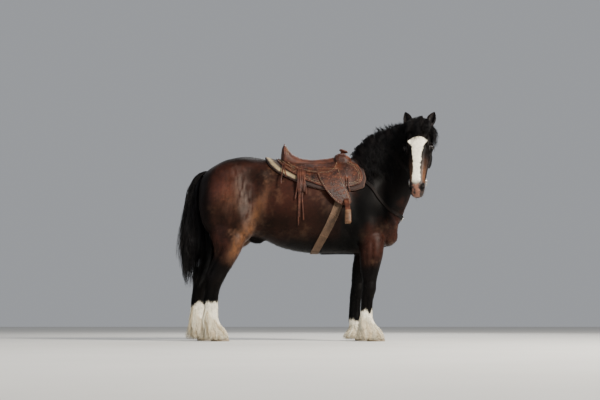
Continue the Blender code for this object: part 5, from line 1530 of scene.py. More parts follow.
@dataclass
class Eyes:
    """Two dark wet eyes with their lids and lashes."""

    tree: BVHTree
    radius: float = EYE_RADIUS - 0.0005

    def gaze(self, side: float) -> tuple[Points, Points, Points]:
        """The eye's own axes: where it looks, along its slit and across it.

        Args:
            side: -1 for right, 1 for left.

        Returns:
            The three directions.
        """
        look = unit(LEFT * side * 0.86 + OUT * 0.48 + DOWN * 0.10)
        along = DOWN * 0.94 + OUT * 0.34
        along = unit(along - look * (along @ look))
        return look, along, np.cross(look, along) * side

    def ball(self, name: str, side: float) -> None:
        """The ball, with its pupil and iris painted by angle from where it looks.

        Args:
            name: right or left.
            side: -1 or 1.
        """
        centre = at_head(EYE_AT[0], EYE_AT[1], EYE_AT[2] * side)
        mesh = ellipsoid(tuple(centre), (self.radius,) * 3, fine=56)
        look, along, across = self.gaze(side)
        spots = unit(read_points(mesh) - centre)
        a, b, c = spots @ along, spots @ across, spots @ look
        ring = np.hypot(a, b)
        colour = blend(linear("#1b0f09"), linear("#0f0805"), smooth(0.40, 0.62, ring))
        colour = blend(colour, linear("#1d1613"), smooth(0.66, 0.74, ring))
        colour = blend(colour, linear("#020202"), smooth(1.1, 0.9, np.hypot(a / 0.40, b / 0.20)) * (c > 0))
        paint(mesh, colour)
        Piece.place(f"eye_{name}", mesh, WetEye(f"wet_eye_{name}").build(), "eye", (f"eye_{name}",))

    def lids(self, side: float) -> bpy.types.Mesh:
        """Both lids in one ring of skin round an almond opening, with folds above and below.

        Its rings run from the skin around the eye in to the opening's rim and back underneath. The
        opening is two arcs, cosines to the power 0.8, that meet in a front and a rear corner; each
        ring outwards is wider and rounder, and rises and falls by a fold's height.

        Args:
            side: -1 for right, 1 for left.

        Returns:
            The mesh.
        """
        centre = at_head(EYE_AT[0], EYE_AT[1], EYE_AT[2] * side)
        look, along, across = self.gaze(side)
        turn = np.linspace(0, 2 * math.pi, 72, endpoint=False)
        # rows: half length, half height up, half height down, distance out from the ball, sharpness
        rows = ((0.052, 0.046, 0.040, None, 1.0), (0.045, 0.039, 0.033, -0.0040, 1.0),
                (0.040, 0.033, 0.028, -0.0022, 1.0), (0.0375, 0.0295, 0.025, -0.0036, 1.0),
                (0.033, 0.0245, 0.021, -0.0002, 1.0), (0.0300, 0.0200, 0.0180, 0.0024, 0.95),
                (0.0285, 0.0180, 0.0165, 0.0006, 0.95), (0.0265, 0.0155, 0.0145, 0.0036, 0.9),
                (0.0248, 0.0130, 0.0122, 0.0034, 0.85), (0.0240, 0.0118, 0.0110, 0.0008, 0.8),
                (0.0250, 0.0140, 0.0130, -0.0040, 0.9), (0.040, 0.033, 0.028, -0.0120, 1.0))
        rings = []
        for long, up, down, off, sharp in rows:
            a = np.cos(turn) * long
            b = -np.where(np.sin(turn) > 0, up, down) * np.sign(np.sin(turn)) * np.abs(np.sin(turn)) ** (1 / sharp)
            flat = np.hypot(a, b)
            if off is None:
                spots = centre + along * a[:, None] + across * b[:, None] + look * 0.012
                place, normal, _ = nearest(self.tree, spots)
                rings.append(place - normal * 0.0025)
                continue
            # on the ball near the opening, and falling back to the skin's slope further out
            radius = self.radius + off
            rise = (np.sqrt(np.maximum(radius**2 - np.minimum(flat, radius * 0.93) ** 2, 0))
                    - 0.55 * np.maximum(flat - radius * 0.93, 0))
            spots = centre + along * a[:, None] + across * b[:, None] + look * rise[:, None]
            if long > 0.028 and off > -0.010:
                place, normal, _ = nearest(self.tree, spots)
                share = smooth(0.026, 0.044, flat)
                spots = blend(spots, place + normal * (0.0015 + off * 0.3), share)
            rings.append(spots)
        rings = np.array(rings)
        return tube_mesh("lids", rings, closed=True)

    def lashes(self, side: float, chance: np.random.RandomState) -> tuple[Points, Points]:
        """Paths and outward directions of the upper lashes.

        Args:
            side: -1 for right, 1 for left.
            chance: Random numbers.

        Returns:
            Paths and directions, (lashes, steps, 3).
        """
        centre = at_head(EYE_AT[0], EYE_AT[1], EYE_AT[2] * side)
        look, along, across = self.gaze(side)
        turn = np.linspace(0.5, math.pi - 0.5, 44)
        flat = along * (0.0258 * np.cos(turn))[:, None] - across * (0.0142 * np.sin(turn))[:, None]
        rise = np.sqrt(self.radius**2 - np.minimum((flat**2).sum(1), self.radius**2 * 0.8)) + 0.0015
        t = np.linspace(0, 1, 5)[None, :, None]
        reach = chance.uniform(0.012, 0.020, (44, 1, 1))
        away = look * 0.8 + unit(flat)[:, None] * 0.5
        path = centre + flat[:, None] + look * rise[:, None, None] + away * t * reach + np.array((0, 0, -0.005)) * t * t
        return path, np.broadcast_to(-across, path.shape)

    def build(self) -> None:
        """Makes both eyes and their lids."""
        chance = np.random.RandomState(11)
        rolls, lashes = [], []
        for name, side in SIDES.items():
            self.ball(name, side)
            rolls.append(self.lids(side))
            lashes.append(self.lashes(side, chance))
        lid_mesh = joined("lids", rolls)
        spots = read_points(lid_mesh)
        paint(lid_mesh, np.tile(linear("#171212"), (len(spots), 1)))
        Piece.place("eyelids", lid_mesh, HairCoat("dark_lid_skin", 0.34, 0.10, 0.15, 0.0, 0.5).build(), "dark_hide")
        path, out = (np.concatenate(both) for both in zip(*lashes))
        width = np.full(path.shape[:2], 0.0007)
        tint = np.tile(linear("#0b0909"), (len(path), 1))
        uv = np.stack([np.linspace(0.1, 0.9, len(path)), np.full(len(path), 0.5)], axis=1)
        mesh = strand_mesh("eyelashes", path, out, width, 0.0006, tint, uv)
        Piece.place("eyelashes", mesh, HairCoat("black_lash_hair", 0.4, 0.1, 0.0).build(), "dark_hide")


@dataclass
class Hooves:
    """Four hooves: sloped walls with growth rings, a bevelled bearing edge and a soft coronet."""

    coronet_rise: float = 0.38
    coronet_height: float = 0.078

    def mesh(self, leg: Leg, side: float) -> bpy.types.Mesh:
        """One hoof.

        Its rings are ovals, 94 mm ahead and 90 mm wide at the ground, shrinking to 78 by 71 mm at
        the coronet, whose height climbs 0.38 for each metre ahead.

        Args:
            leg: Which leg.
            side: -1 for right, 1 for left.

        Returns:
            The mesh.
        """
        x, y = hoof_middle(leg, side)
        share = np.array([0, 0.0, 0.05, 0.12, 0.25, 0.4, 0.55, 0.7, 0.82, 0.92, 0.98, 1.0])[:, None]
        inner = np.array([0.55, 0.97, 1.0, 1, 1, 1, 1, 1, 1, 1, 0.985, 0.93])[:, None]
        turn = (np.arange(56) * 2 * math.pi / 56)[None, :]
        ripple = 1 + 0.006 * np.sin(share * 46)
        long = (0.0965 - 0.0185 * share) * inner * ripple
        wide = (0.0925 - 0.0215 * share) * inner * ripple
        ahead = np.cos(turn) * long * np.where(np.cos(turn) < 0, 0.86, 1.0)
        cleft = 1 - 0.10 * np.exp(-((turn - math.pi) / 0.20) ** 2)
        top = self.coronet_height - 0.001 + self.coronet_rise * np.cos(turn) * long
        rings = np.stack([x + 0.012 - 0.022 * share + ahead * cleft, y + np.sin(turn) * wide + 0 * share,
                          share * top + 0 * turn], axis=-1)
        return tube_mesh("hoof", rings)

    def build(self) -> None:
        """Makes the four hooves."""
        finish = Horn("grown_hoof_horn").build()
        for leg in Leg:
            for name, side in SIDES.items():
                node_name = f"hoof_{leg.value}_{name}"
                Piece.place(node_name + "_wall", self.mesh(leg, side), finish, "hoof", (node_name,))


# Hair

class Region(Enum):
    """Parts of the skin, each with its tile of the coat's map and the axis that it is unrolled round.

    A value is the tile's column and row, the axis' start and end, and the direction of angle 0.
    """

    TRUNK = (0, 0, (-0.95, 0, 1.30), (1.10, 0, 1.30), (0, 0, 1))
    NECK = (1, 0, (0.70, 0, 1.30), (1.26, -0.25, 2.10), (1, 0, 0))
    HEAD = (2, 0, tuple(on_head(-0.16, -0.10, 0)), tuple(on_head(0.84, -0.10, 0)), tuple(FACE_OUT))
    TAIL = (3, 0, (-0.925, 0, 0.45), (-0.925, 0, 1.70), (1, 0, 0))
    FORE_RIGHT = (0, 1, (0.760, -LEG_SPREAD, -0.02), (0.760, -LEG_SPREAD, 1.15), (1, 0, 0))
    FORE_LEFT = (1, 1, (0.670, LEG_SPREAD, -0.02), (0.670, LEG_SPREAD, 1.15), (1, 0, 0))
    HIND_RIGHT = (2, 1, (-0.715, -LEG_SPREAD, -0.02), (-0.715, -LEG_SPREAD, 1.25), (1, 0, 0))
    HIND_LEFT = (3, 1, (-0.880, LEG_SPREAD, -0.02), (-0.880, LEG_SPREAD, 1.25), (1, 0, 0))

    def unrolled(self, points: Points) -> Points:
        """The places of points on the coat's map: angle round the axis across, length along it up.

        Args:
            points: Places, (n, 3).

        Returns:
            Places on the map, (n, 2).
        """
        column, row, start, end, zero = self.value
        start, zero = np.array(start), np.array(zero, float)
        axis = np.array(end) - start
        long = np.linalg.norm(axis)
        axis = axis / long
        zero = unit(zero - axis * (zero @ axis))
        other = np.cross(axis, zero)
        away = points - start
        turn = np.arctan2(away @ other, away @ zero) / (2 * math.pi) + 0.5
        along = np.clip(away @ axis / long, 0, 1)
        return np.stack([(column + 0.03 + 0.93 * turn) / 4, (row + 0.03 + 0.93 * along) / 2], axis=1)


def strand_mesh(name: str, path: Points, out: Points, half: Points, thick: float, tint: Points,
                roots: Points) -> bpy.types.Mesh:
    """Closed tapered blades with a ridge on their outer side.

    Args:
        name: The mesh's name.
        path: Middle lines, (strands, stations, 3); the last station is the tip.
        out: Outward directions, of the same shape.
        half: Half widths, (strands, stations).
        thick: The ridge's height as a share of the half width.
        tint: Linear colours, (strands, 3) or (strands, stations, 3).
        roots: Places of the roots on the coat's map, (strands, 2).

    Returns:
        The mesh with its coat colours and its map.
    """
    count, stations = path.shape[:2]
    heading = unit(np.gradient(path, axis=1))
    side = unit(np.cross(heading, out))
    up = np.cross(side, heading)
    body = path[:, :-1]
    wide = half[:, :-1, None]
    rows = np.stack([body + side[:, :-1] * wide, body + up[:, :-1] * wide * thick, body - side[:, :-1] * wide], axis=2)
    points = np.concatenate([rows.reshape(count, -1, 3), path[:, -1:]], axis=1)
    each = points.shape[1]
    faces = [(0, 2, 1)]
    for i in range(stations - 2):
        for j in range(3):
            a, b, c, d = 3 * i + j, 3 * i + (j + 1) % 3, 3 * i + 3 + (j + 1) % 3, 3 * i + 3 + j
            faces += [(a, b, c), (a, c, d)]
    last = 3 * (stations - 2)
    faces += [(last + j, last + (j + 1) % 3, each - 1) for j in range(3)]
    faces = np.array(faces)
    every = (faces[None] + (np.arange(count) * each)[:, None, None]).reshape(-1, 3)
    mesh = fast_mesh(name, points.reshape(-1, 3), every)
    if tint.ndim == 2:
        tint = np.repeat(tint[:, None], stations, axis=1)
    shade = np.concatenate([np.repeat(tint[:, :-1], 3, axis=1), tint[:, -1:]], axis=1)
    paint(mesh, shade.reshape(-1, 3))
    across, along = np.tile([0, 0.5, 1.0], stations - 1), np.repeat(np.linspace(0, 0.9, stations - 1), 3)
    local = np.concatenate([np.stack([across, along], 1), [[0.5, 1.0]]]) * 0.003
    places = (roots[:, None] + local[None]).reshape(-1, 2)
    layer = mesh.uv_layers.new(name="OFBake")
    layer.data.foreach_set("uv", places[every.ravel()].astype(np.float32).ravel())
    return mesh


@dataclass
class Guides:
    """Locks of hair that strands are grown along.

    Attributes:
        path: Their middle lines, (locks, points, 3).
        out: Outward directions along them, of the same shape.
        wide: Their half widths, (locks,).
        deep: How far their strands lie apart outwards, (locks,).
    """

    path: Points
    out: Points
    wide: Points
    deep: Points

    def parts(self, count: int) -> list[Guides]:
        """The locks dealt out in turn to this many groups, so that no piece grows too heavy."""
        return [Guides(self.path[i::count], self.out[i::count], self.wide[i::count], self.deep[i::count])
                for i in range(count)]

    def grown(self, name: str, region: Region, count: int, steps: int, half: float, tint: Points, seed: int,
              wave: float = 0.006, stray: float = 0.004, shorter: float = 0.3, close: float = 0.5,
              tip: Points | None = None, waves: float = 2.0, vary: float = 0.25) -> bpy.types.Mesh:
        """Strands along the locks.

        A strand runs at its own place across and above its lock, which narrows towards the tip. It
        waves with its lock and strays on its own, more towards the tip, and ends at its own length.

        Args:
            name: The mesh's name.
            region: The part of the skin that the roots are on.
            count: Strands for each lock.
            steps: Stations along a strand.
            half: Half width of a strand in metres.
            tint: The lock's linear colours, (locks, 3).
            seed: The random seed.
            wave: How far a lock's strands wave to the sides.
            stray: How far single strands leave the lock.
            shorter: The largest share of the length that a strand lacks.
            close: How much a lock narrows at its tip.
            tip: The colours at the tips, or None for the roots'.
            waves: Waves along a lock.
            vary: How far single strands are lighter or darker than their lock.

        Returns:
            The mesh.
        """
        chance = np.random.RandomState(seed)
        locks, fine = self.path.shape[:2]
        lock = np.repeat(np.arange(locks), count)
        total = len(lock)
        u = chance.uniform(-1, 1, total)
        v = chance.uniform(-0.3, 1, total) * np.sqrt(1 - 0.6 * u * u)
        share = 1.03 - shorter * chance.uniform(0, 1, total) ** 1.6
        t = np.clip(np.linspace(0, 1, steps)[None] * share[:, None], 0, 1)
        at = t * (fine - 1)
        low = np.minimum(at.astype(int), fine - 2)
        part = (at - low)[..., None]
        middle = self.path[lock[:, None], low] * (1 - part) + self.path[lock[:, None], low + 1] * part
        out = unit(self.out[lock[:, None], low] * (1 - part) + self.out[lock[:, None], low + 1] * part)
        side = unit(np.cross(unit(np.gradient(middle, axis=1)), out))
        spread = (0.75 + 0.25 * smooth(0, 0.3, t)) * (1 - close * t**2)
        phase = chance.uniform(0, 6.3, locks)[lock][:, None] + chance.uniform(-0.5, 0.5, total)[:, None]
        free = smooth(0.05, 0.5, t)
        swing = wave * free * np.sin(2 * math.pi * waves * t + phase)
        lone = stray * free * np.sin(2 * math.pi * chance.uniform(1, 3, total)[:, None] * t
                                     + chance.uniform(0, 6.3, total)[:, None])
        rise = stray * 0.5 * free * np.sin(2 * math.pi * 1.5 * t + chance.uniform(0, 6.3, total)[:, None])
        path = (middle + side * (u[:, None] * self.wide[lock][:, None] * spread + swing + lone)[..., None]
                + out * (v[:, None] * self.deep[lock][:, None] * smooth(-0.1, 0.35, t) * (1 - 0.4 * t**2)
                         + rise)[..., None])
        width = (half * chance.uniform(0.7, 1.25, (total, 1)) * (0.8 + 0.2 * smooth(0, 0.3, t))
                 * (1 - 0.5 * smooth(0.5, 1, t)))
        own = chance.uniform(1 - vary, 1 + vary, (total, 1))
        root = np.minimum(tint[lock] * own, 0.96)
        end = root if tip is None else np.minimum(tip[lock] * own, 0.96)
        colour = blend(root[:, None], end[:, None], np.broadcast_to(smooth(0.1, 0.9, t), (total, steps)))
        return strand_mesh(name, path, out, width, 0.55, colour, region.unrolled(path[:, 0]))


def drape(tree: BVHTree, start: Points, heading: Points, length: float, steps: int, lifts: Points,
          pull: Points) -> tuple[Points, Points]:
    """A path over a surface at the given heights, pulled one way as it goes, and its outward directions.

    Args:
        tree: The surface.
        start: Where the path starts.
        heading: Its first direction.
        length: How long it is.
        steps: How many points it has.
        lifts: The height over the surface at each point.
        pull: The direction that it is pulled in.

    Returns:
        The path and its outward directions.
    """
    point, heading, pull = Vector(start), Vector(heading).normalized(), Vector(pull)
    path, out = [], []
    for i in range(steps + 1):
        spot, normal, _, _ = tree.find_nearest(point)
        path.append(spot + normal * lifts[i])
        out.append(normal)
        heading = (heading + pull).normalized()
        heading = (heading - normal * heading.dot(normal)).normalized()
        point = spot + heading * (length / steps) + normal * 0.002
    return np.array(path), np.array(out)


@dataclass
class LongHair:
    """Mane, forelock, tail and feather."""

    skin: Skin
    black: tuple = linear("#09080a")
    brown: tuple = linear("#1d1512")
    grey: tuple = linear("#3a3634")
    white: tuple = linear("#fef4de")
    cream: tuple = linear("#dcc596")
    # the rear edge of the tail: X and height
    tail_outline: tuple = ((-0.900, 1.620), (-0.922, 1.587), (-0.983, 1.465), (-1.010, 1.315), (-1.044, 1.146),
                           (-1.072, 0.900), (-1.078, 0.800), (-1.062, 0.617))
    # the X of the tail's front edge at these heights
    front_heights: tuple = (1.30, 1.10, 0.90, 0.75, 0.62, 0.50)
    front_edge: tuple = (-0.860, -0.800, -0.772, -0.782, -0.820, -0.868)
    # how far the feather reaches from the leg's middle at these heights: along X, to its rear, and along Y
    feather_heights: tuple = (0, 0.05, 0.12, 0.20, 0.28, 0.36)
    feather_long: tuple = (0.108, 0.104, 0.090, 0.074, 0.064, 0.058)
    feather_rear: tuple = (0.058, 0.060, 0.048, 0.030, 0.016, 0.006)
    feather_wide: tuple = (0.122, 0.122, 0.104, 0.080, 0.060, 0.050)

    def dark_tints(self, count: int, chance: np.random.RandomState, brown: float = 0.4) -> Points:
        """A dark colour for each lock."""
        return blend(np.tile(self.black, (count, 1)), self.brown, chance.uniform(0, 1, count) ** 2 * brown)

    def white_tints(self, count: int, chance: np.random.RandomState) -> Points:
        """A cream or white colour for each lock."""
        return blend(np.tile(self.white, (count, 1)), self.cream, chance.uniform(0, 1, count) ** 2.0 * 0.75)

    def mane(self) -> None:
        """Locks that stand up from the crest and fall to the horse's right, over the whole neck."""
        chance = np.random.RandomState(5)
        crest = section_rings(self.skin.anatomy.neck_rows(), 8, 60)[:, 2]
        paths, outs, wide = [], [], []
        for count, long, lift in ((34, 0.44, 0.018), (30, 0.37, 0.030), (24, 0.27, 0.042), (18, 0.16, 0.052)):
            for i in range(count):
                share = 0.22 + 0.76 * (i + chance.uniform(0, 1)) / count
                root = crest[int(share * (len(crest) - 1))]
                way = (chance.uniform(-0.30, 0.35), -1.0, 0.12)
                size = long * chance.uniform(0.65, 1.2) * (0.75 + 0.35 * math.sin(math.pi * share))
                top = lift * chance.uniform(0.7, 1.25) * (1 + 0.6 * math.exp(-((share - 0.42) / 0.14) ** 2))
                lifts = top * np.interp(np.linspace(0, 1, 15), [0, 0.08, 0.3, 1], [-0.3, 0.6, 1.0, 0.55])
                path, out = drape(self.skin.tree, tuple(root + np.array((0, 0.012, 0))), way, size, 14, lifts,
                                  (chance.uniform(-0.035, 0.040), -0.006, -0.09))
                paths.append(path)
                outs.append(out)
                wide.append(chance.uniform(0.024, 0.044))
        locks = Guides(np.array(paths), np.array(outs), np.array(wide), np.full(len(paths), 0.013))
        finish = LONG_HAIR.build()
        for k, group in enumerate(locks.parts(2)):
            mesh = group.grown("mane", Region.NECK, 50, 8, 0.0013, self.dark_tints(len(group.path), chance), 51 + 7 * k,
                               wave=0.006, stray=0.010, shorter=0.6, close=0.25)
            Piece.place(f"mane_{k}", mesh, finish, "hair")
        self.wisps(crest, chance)

    def wisps(self, crest: Points, chance: np.random.RandomState) -> None:
        """Short loose hair that stands up from the crest and blows back.

        Args:
            crest: The crest's line, (n, 3).
            chance: Random numbers.
        """
        paths, outs = [], []
        t = np.linspace(0, 1, 9)[:, None]
        count, last = 54, len(crest) - 1
        for i in range(count):
            share = 0.30 + 0.62 * (i + chance.uniform(0, 1)) / count
            spot = int(share * last)
            root = crest[spot]
            along = unit(crest[min(spot + 2, last)] - crest[spot - 2])
            up = unit(np.cross(np.cross(along, (0, 0, 1.0)), along))
            size = chance.uniform(0.045, 0.085) * (1 + 0.5 * math.exp(-((share - 0.60) / 0.12) ** 2))
            bend = chance.uniform(0.2, 0.9) * np.array((0, -1.0, 0)) - along * chance.uniform(0.0, 0.7)
            paths.append(root - up * 0.012 + up * size * t + bend * size * t**2)
            outs.append(np.tile(unit(np.array((0, -1.0, 0)) + 0.3 * up), (9, 1)))
        locks = Guides(np.array(paths), np.array(outs), chance.uniform(0.006, 0.020, count), np.full(count, 0.008))
        mesh = locks.grown("wisps", Region.NECK, 16, 7, 0.0012, self.dark_tints(count, chance), 52, wave=0.004,
                           stray=0.006, shorter=0.6, close=0.0)
        Piece.place("mane_wisps", mesh, LONG_HAIR.build(), "hair")

    def forelock(self) -> None:
        """Locks that fall from between the ears over the forehead and past both sides of the face."""
        chance = np.random.RandomState(6)
        paths, outs, wide = [], [], []
        for i in range(34):
            left = -0.095 + 0.205 * (i + 0.5) / 34 + chance.uniform(-0.006, 0.006)
            root = on_head(-0.035, -0.024, left * 0.55)
            size = chance.uniform(0.16, 0.25) * (1.0 - 0.9 * abs(left))
            lift = chance.uniform(0.012, 0.062)
            lifts = lift * np.interp(np.linspace(0, 1, 13), [0, 0.15, 0.35, 1], [-0.25, 0.8, 1.0, 0.8])
            fan = FACE_LEFT * (left * 2.4) + FACE_DOWN
            path, out = drape(self.skin.tree, root, FACE_DOWN + FACE_OUT * 0.4 + FACE_LEFT * left * 3, size, 12, lifts,
                              fan * 0.06)
            paths.append(path)
            outs.append(out)
            wide.append(chance.uniform(0.012, 0.026))
        t = np.linspace(0, 1, 13)[:, None]
        for i in range(26):
            root = at_head(-0.030 + chance.uniform(0, 0.10), -0.030 - chance.uniform(0, 0.07),
                           0.075 + chance.uniform(0, 0.02))
            away, fall = chance.uniform(0.02, 0.085), chance.uniform(0.10, 0.27)
            rise = chance.uniform(-0.04, 0.02)
            paths.append(root + LEFT * away * (1.5 * t - 0.5 * t**2) + DOWN * (fall * t**1.4)
                         + OUT * rise * t)
            outs.append(np.tile(unit(LEFT + 0.6 * OUT), (13, 1)))
            wide.append(chance.uniform(0.006, 0.016))
        locks = Guides(np.array(paths), np.array(outs), np.array(wide), np.full(len(paths), 0.011))
        mesh = locks.grown("forelock", Region.HEAD, 33, 8, 0.0013, self.dark_tints(len(paths), chance), 61,
                           wave=0.007, stray=0.014, shorter=0.7, close=0.2)
        Piece.place("forelock", mesh, LONG_HAIR.build(), "hair")

    def tail(self) -> None:
        """The tail: a dock and core with long wavy locks all round, in layers."""
        chance = np.random.RandomState(8)
        rows = [((-0.862, 1.606), (-0.820, 1.562), 0.026), ((-0.924, 1.566), (-0.855, 1.514), 0.045),
                ((-0.953, 1.460), (-0.877, 1.420), 0.056), ((-0.975, 1.310), (-0.875, 1.300), 0.070),
                ((-0.993, 1.150), (-0.834, 1.150), 0.080), ((-1.015, 1.000), (-0.815, 1.000), 0.082),
                ((-1.028, 0.860), (-0.838, 0.860), 0.072), ((-1.020, 0.760), (-0.900, 0.760), 0.040)]
        core = loft("core", [(bx, 0, bz, fx, 0, fz, w, 0.5, 2.0) for (bx, bz), (fx, fz), w in rows], 28, 40)
        paint(core, np.tile(np.array(self.black) * 0.8, (len(core.vertices), 1)))
        finish = LONG_HAIR.build()
        Piece.place("tail_core", core, finish, "hair", ("tail",))
        paths, outs, wide, deep = [], [], [], []
        t = np.linspace(0, 1, 22)
        for i in range(92):
            turn = 2 * math.pi * (i * GOLDEN_SHARE % 1.0)
            top = chance.uniform(1.42, 1.605) if i % 2 else chance.uniform(1.02, 1.45)
            bottom = chance.uniform(0.48, 0.86) if i % 4 else top - chance.uniform(0.18, 0.45)
            z = top + (bottom - top) * t
            spread = 0.020 + 0.075 * np.sin(math.pi * np.minimum(0.62, (1.60 - z) / 1.45)) - 0.030 * t * t
            spread = spread * (0.55 + 0.45 * smooth(0, 0.15, t)) * chance.uniform(0.9, 1.12)
            back = -0.925 - 0.045 * np.minimum(1.0, (1.60 - z) / 0.62) + 0.070 * smooth(1.45, 1.60, z)
            phase, second = chance.uniform(0, 6.28, 2)
            path = np.stack([back + math.cos(turn) * 0.85 * spread + 0.013 * t * np.sin(phase + 9 * t),
                             math.sin(turn) * spread * 1.15 + 0.012 * t * np.cos(second + 8 * t), z], axis=1)
            paths.append(path)
            outs.append(np.tile((math.cos(turn), math.sin(turn), 0.05), (22, 1)))
            wide.append(chance.uniform(0.020, 0.034))
            deep.append(0.014)
        outline = np.array(self.tail_outline)
        for i in range(26):
            # from the croup over the dock and down the tail's back
            z = np.linspace(1.612 - chance.uniform(0, 0.03), chance.uniform(0.62, 1.20), 20)
            edge = np.interp(-z, -outline[:, 1], outline[:, 0]) + chance.uniform(-0.004, 0.045)
            edge = edge + 0.016 * smooth(0.1, 0.7, np.linspace(0, 1, 20)) * np.sin(np.linspace(0, 9, 20) + 2.4 * i)
            lean = chance.uniform(-1, 1)
            apart = np.r_[0.030, 0.030, np.interp(-z, [-1.6, -1.3, -0.9], [0.030, 0.070, 0.095])] * lean
            over = np.stack([np.r_[-0.790, -0.845, edge], apart, np.r_[1.630, 1.634, z]], axis=1)
            paths.append(curve_through(over, 22))
            outs.append(np.tile(unit(np.array((-1.0, 0.8 * lean, 0.4))), (22, 1)))
            wide.append(chance.uniform(0.012, 0.024))
            deep.append(0.010)
        for i in range(34):
            # in front, against the thighs
            z = np.linspace(chance.uniform(0.98, 1.30), chance.uniform(0.50, 0.72), 22)
            x = np.interp(-z, [-height for height in self.front_heights], self.front_edge) - chance.uniform(0, 0.105)
            paths.append(np.stack([x, chance.uniform(-0.075, 0.075) + 0.010 * np.sin(6 * t + i), z], axis=1))
            outs.append(np.tile((1.0, 0.0, 0.0), (22, 1)))
            wide.append(chance.uniform(0.018, 0.030))
            deep.append(0.012)
        count = len(paths)
        locks = Guides(np.array(paths), np.array(outs), np.array(wide), np.array(deep))
        tints = blend(self.dark_tints(count, chance, 0.4), self.grey, 0.12 * chance.uniform(0, 1, count))
        for k, group in enumerate(locks.parts(2)):
            mesh = group.grown("tail_hair", Region.TAIL, 34, 11, 0.0017, tints[k::2], 81 + k, wave=0.010, stray=0.017,
                               shorter=0.6, close=0.45, waves=2.4)
            Piece.place(f"tail_hair_{k}", mesh, finish, "hair")

    def feather(self, leg: Leg, name: str, region: Region) -> None:
        """Long white hair that flares from below the knee or hock over one hoof.

        The roots lie all over the lower leg, up to 0.33 m behind and 0.17 m in front. A lock falls
        along the leg at first and then swings out to the feather's own outline, an oval round the
        leg that widens from the cannon to the ground, further behind than in front.

        Args:
            leg: Which leg.
            name: right or left.
            region: The coat's map for this leg.
        """
        side = SIDES[name]
        chance = np.random.RandomState(90 + region.value[0])
        x, y = hoof_middle(leg, side)
        rows = np.array(self.skin.anatomy.leg_rows(leg, side))[::-1]
        heights = (rows[:, 2] + rows[:, 5]) / 2
        middle_x, half_x, half_y = (rows[:, 0] + rows[:, 3]) / 2, (rows[:, 0] - rows[:, 3]) / 2, rows[:, 6]
        t = np.linspace(0, 1, 12)
        paths, outs, wide = [], [], []
        count = 124
        wider = 1.15 if side < 0 else 1.55
        for i in range(count):
            turn = 2 * math.pi * (i * GOLDEN_SHARE % 1.0)
            rear = (1 - math.cos(turn)) / 2
            level = (i + chance.uniform(0, 1)) / count
            limit = self.skin.markings.stockings[leg, side] - 0.030
            top = 0.085 + min(0.085 + 0.235 * rear**1.2, limit - 0.085) * level + chance.uniform(-0.012, 0.012)
            foot = max(0.008, top - (0.11 + 0.12 * rear + 0.05 * level) * chance.uniform(0.8, 1.25))
            z = top + (foot - top) * t
            cx, ax, ay = (np.interp(z, heights, values) for values in (middle_x, half_x, half_y))
            skin_r = 1 / np.hypot(math.cos(turn) / ax, math.sin(turn) / ay)
            ahead, behind, ey = (np.interp(z, self.feather_heights, row)
                                 for row in (self.feather_long, self.feather_rear, self.feather_wide))
            ex = ahead + rear * wider * behind
            outline = 1 / np.hypot(math.cos(turn) / ex, math.sin(turn) / ey)
            base = np.interp(z, [0, 0.10], [x - 0.006, np.interp(0.10, heights, middle_x)])
            swing = smooth(0.0, 0.85, t) * chance.uniform(0.62, 1.0) * (1 - 0.35 * (1 - level))
            r = skin_r - 0.004 * (1 - t) + np.maximum(outline - skin_r, 0.004) * swing + 0.003 * smooth(0, 0.1, t)
            base = np.where(z < 0.10, base, cx)
            twist = turn + chance.uniform(-0.12, 0.12) * t
            paths.append(np.stack([base + np.cos(twist) * r, y + np.sin(twist) * r, z], axis=1))
            outs.append(unit(np.stack([np.cos(twist), np.sin(twist), 0.25 + 0 * t], axis=1)))
            wide.append(chance.uniform(0.010, 0.022))
        locks = Guides(np.array(paths), np.array(outs), np.array(wide), np.full(count, 0.008))
        tint = self.white_tints(count, chance)
        tip = blend(tint, linear("#d8c49a"), 0.35 * chance.uniform(0, 1, count))
        mesh = locks.grown("feather", region, 32, 6, 0.0011, tint, 95 + region.value[0], wave=0.008, stray=0.010,
                           shorter=0.5, close=0.60, tip=tip, waves=1.2, vary=0.09)
        Piece.place(f"feather_{leg.value}_{name}", mesh, WHITE_HAIR.build(), "white_hair")

    def build(self) -> None:
        """Makes all the long hair."""
        self.mane()
        self.forelock()
        self.tail()
        for leg, name, region in ((Leg.FORE, "right", Region.FORE_RIGHT), (Leg.FORE, "left", Region.FORE_LEFT),
                                  (Leg.HIND, "right", Region.HIND_RIGHT), (Leg.HIND, "left", Region.HIND_LEFT)):
            self.feather(leg, name, region)


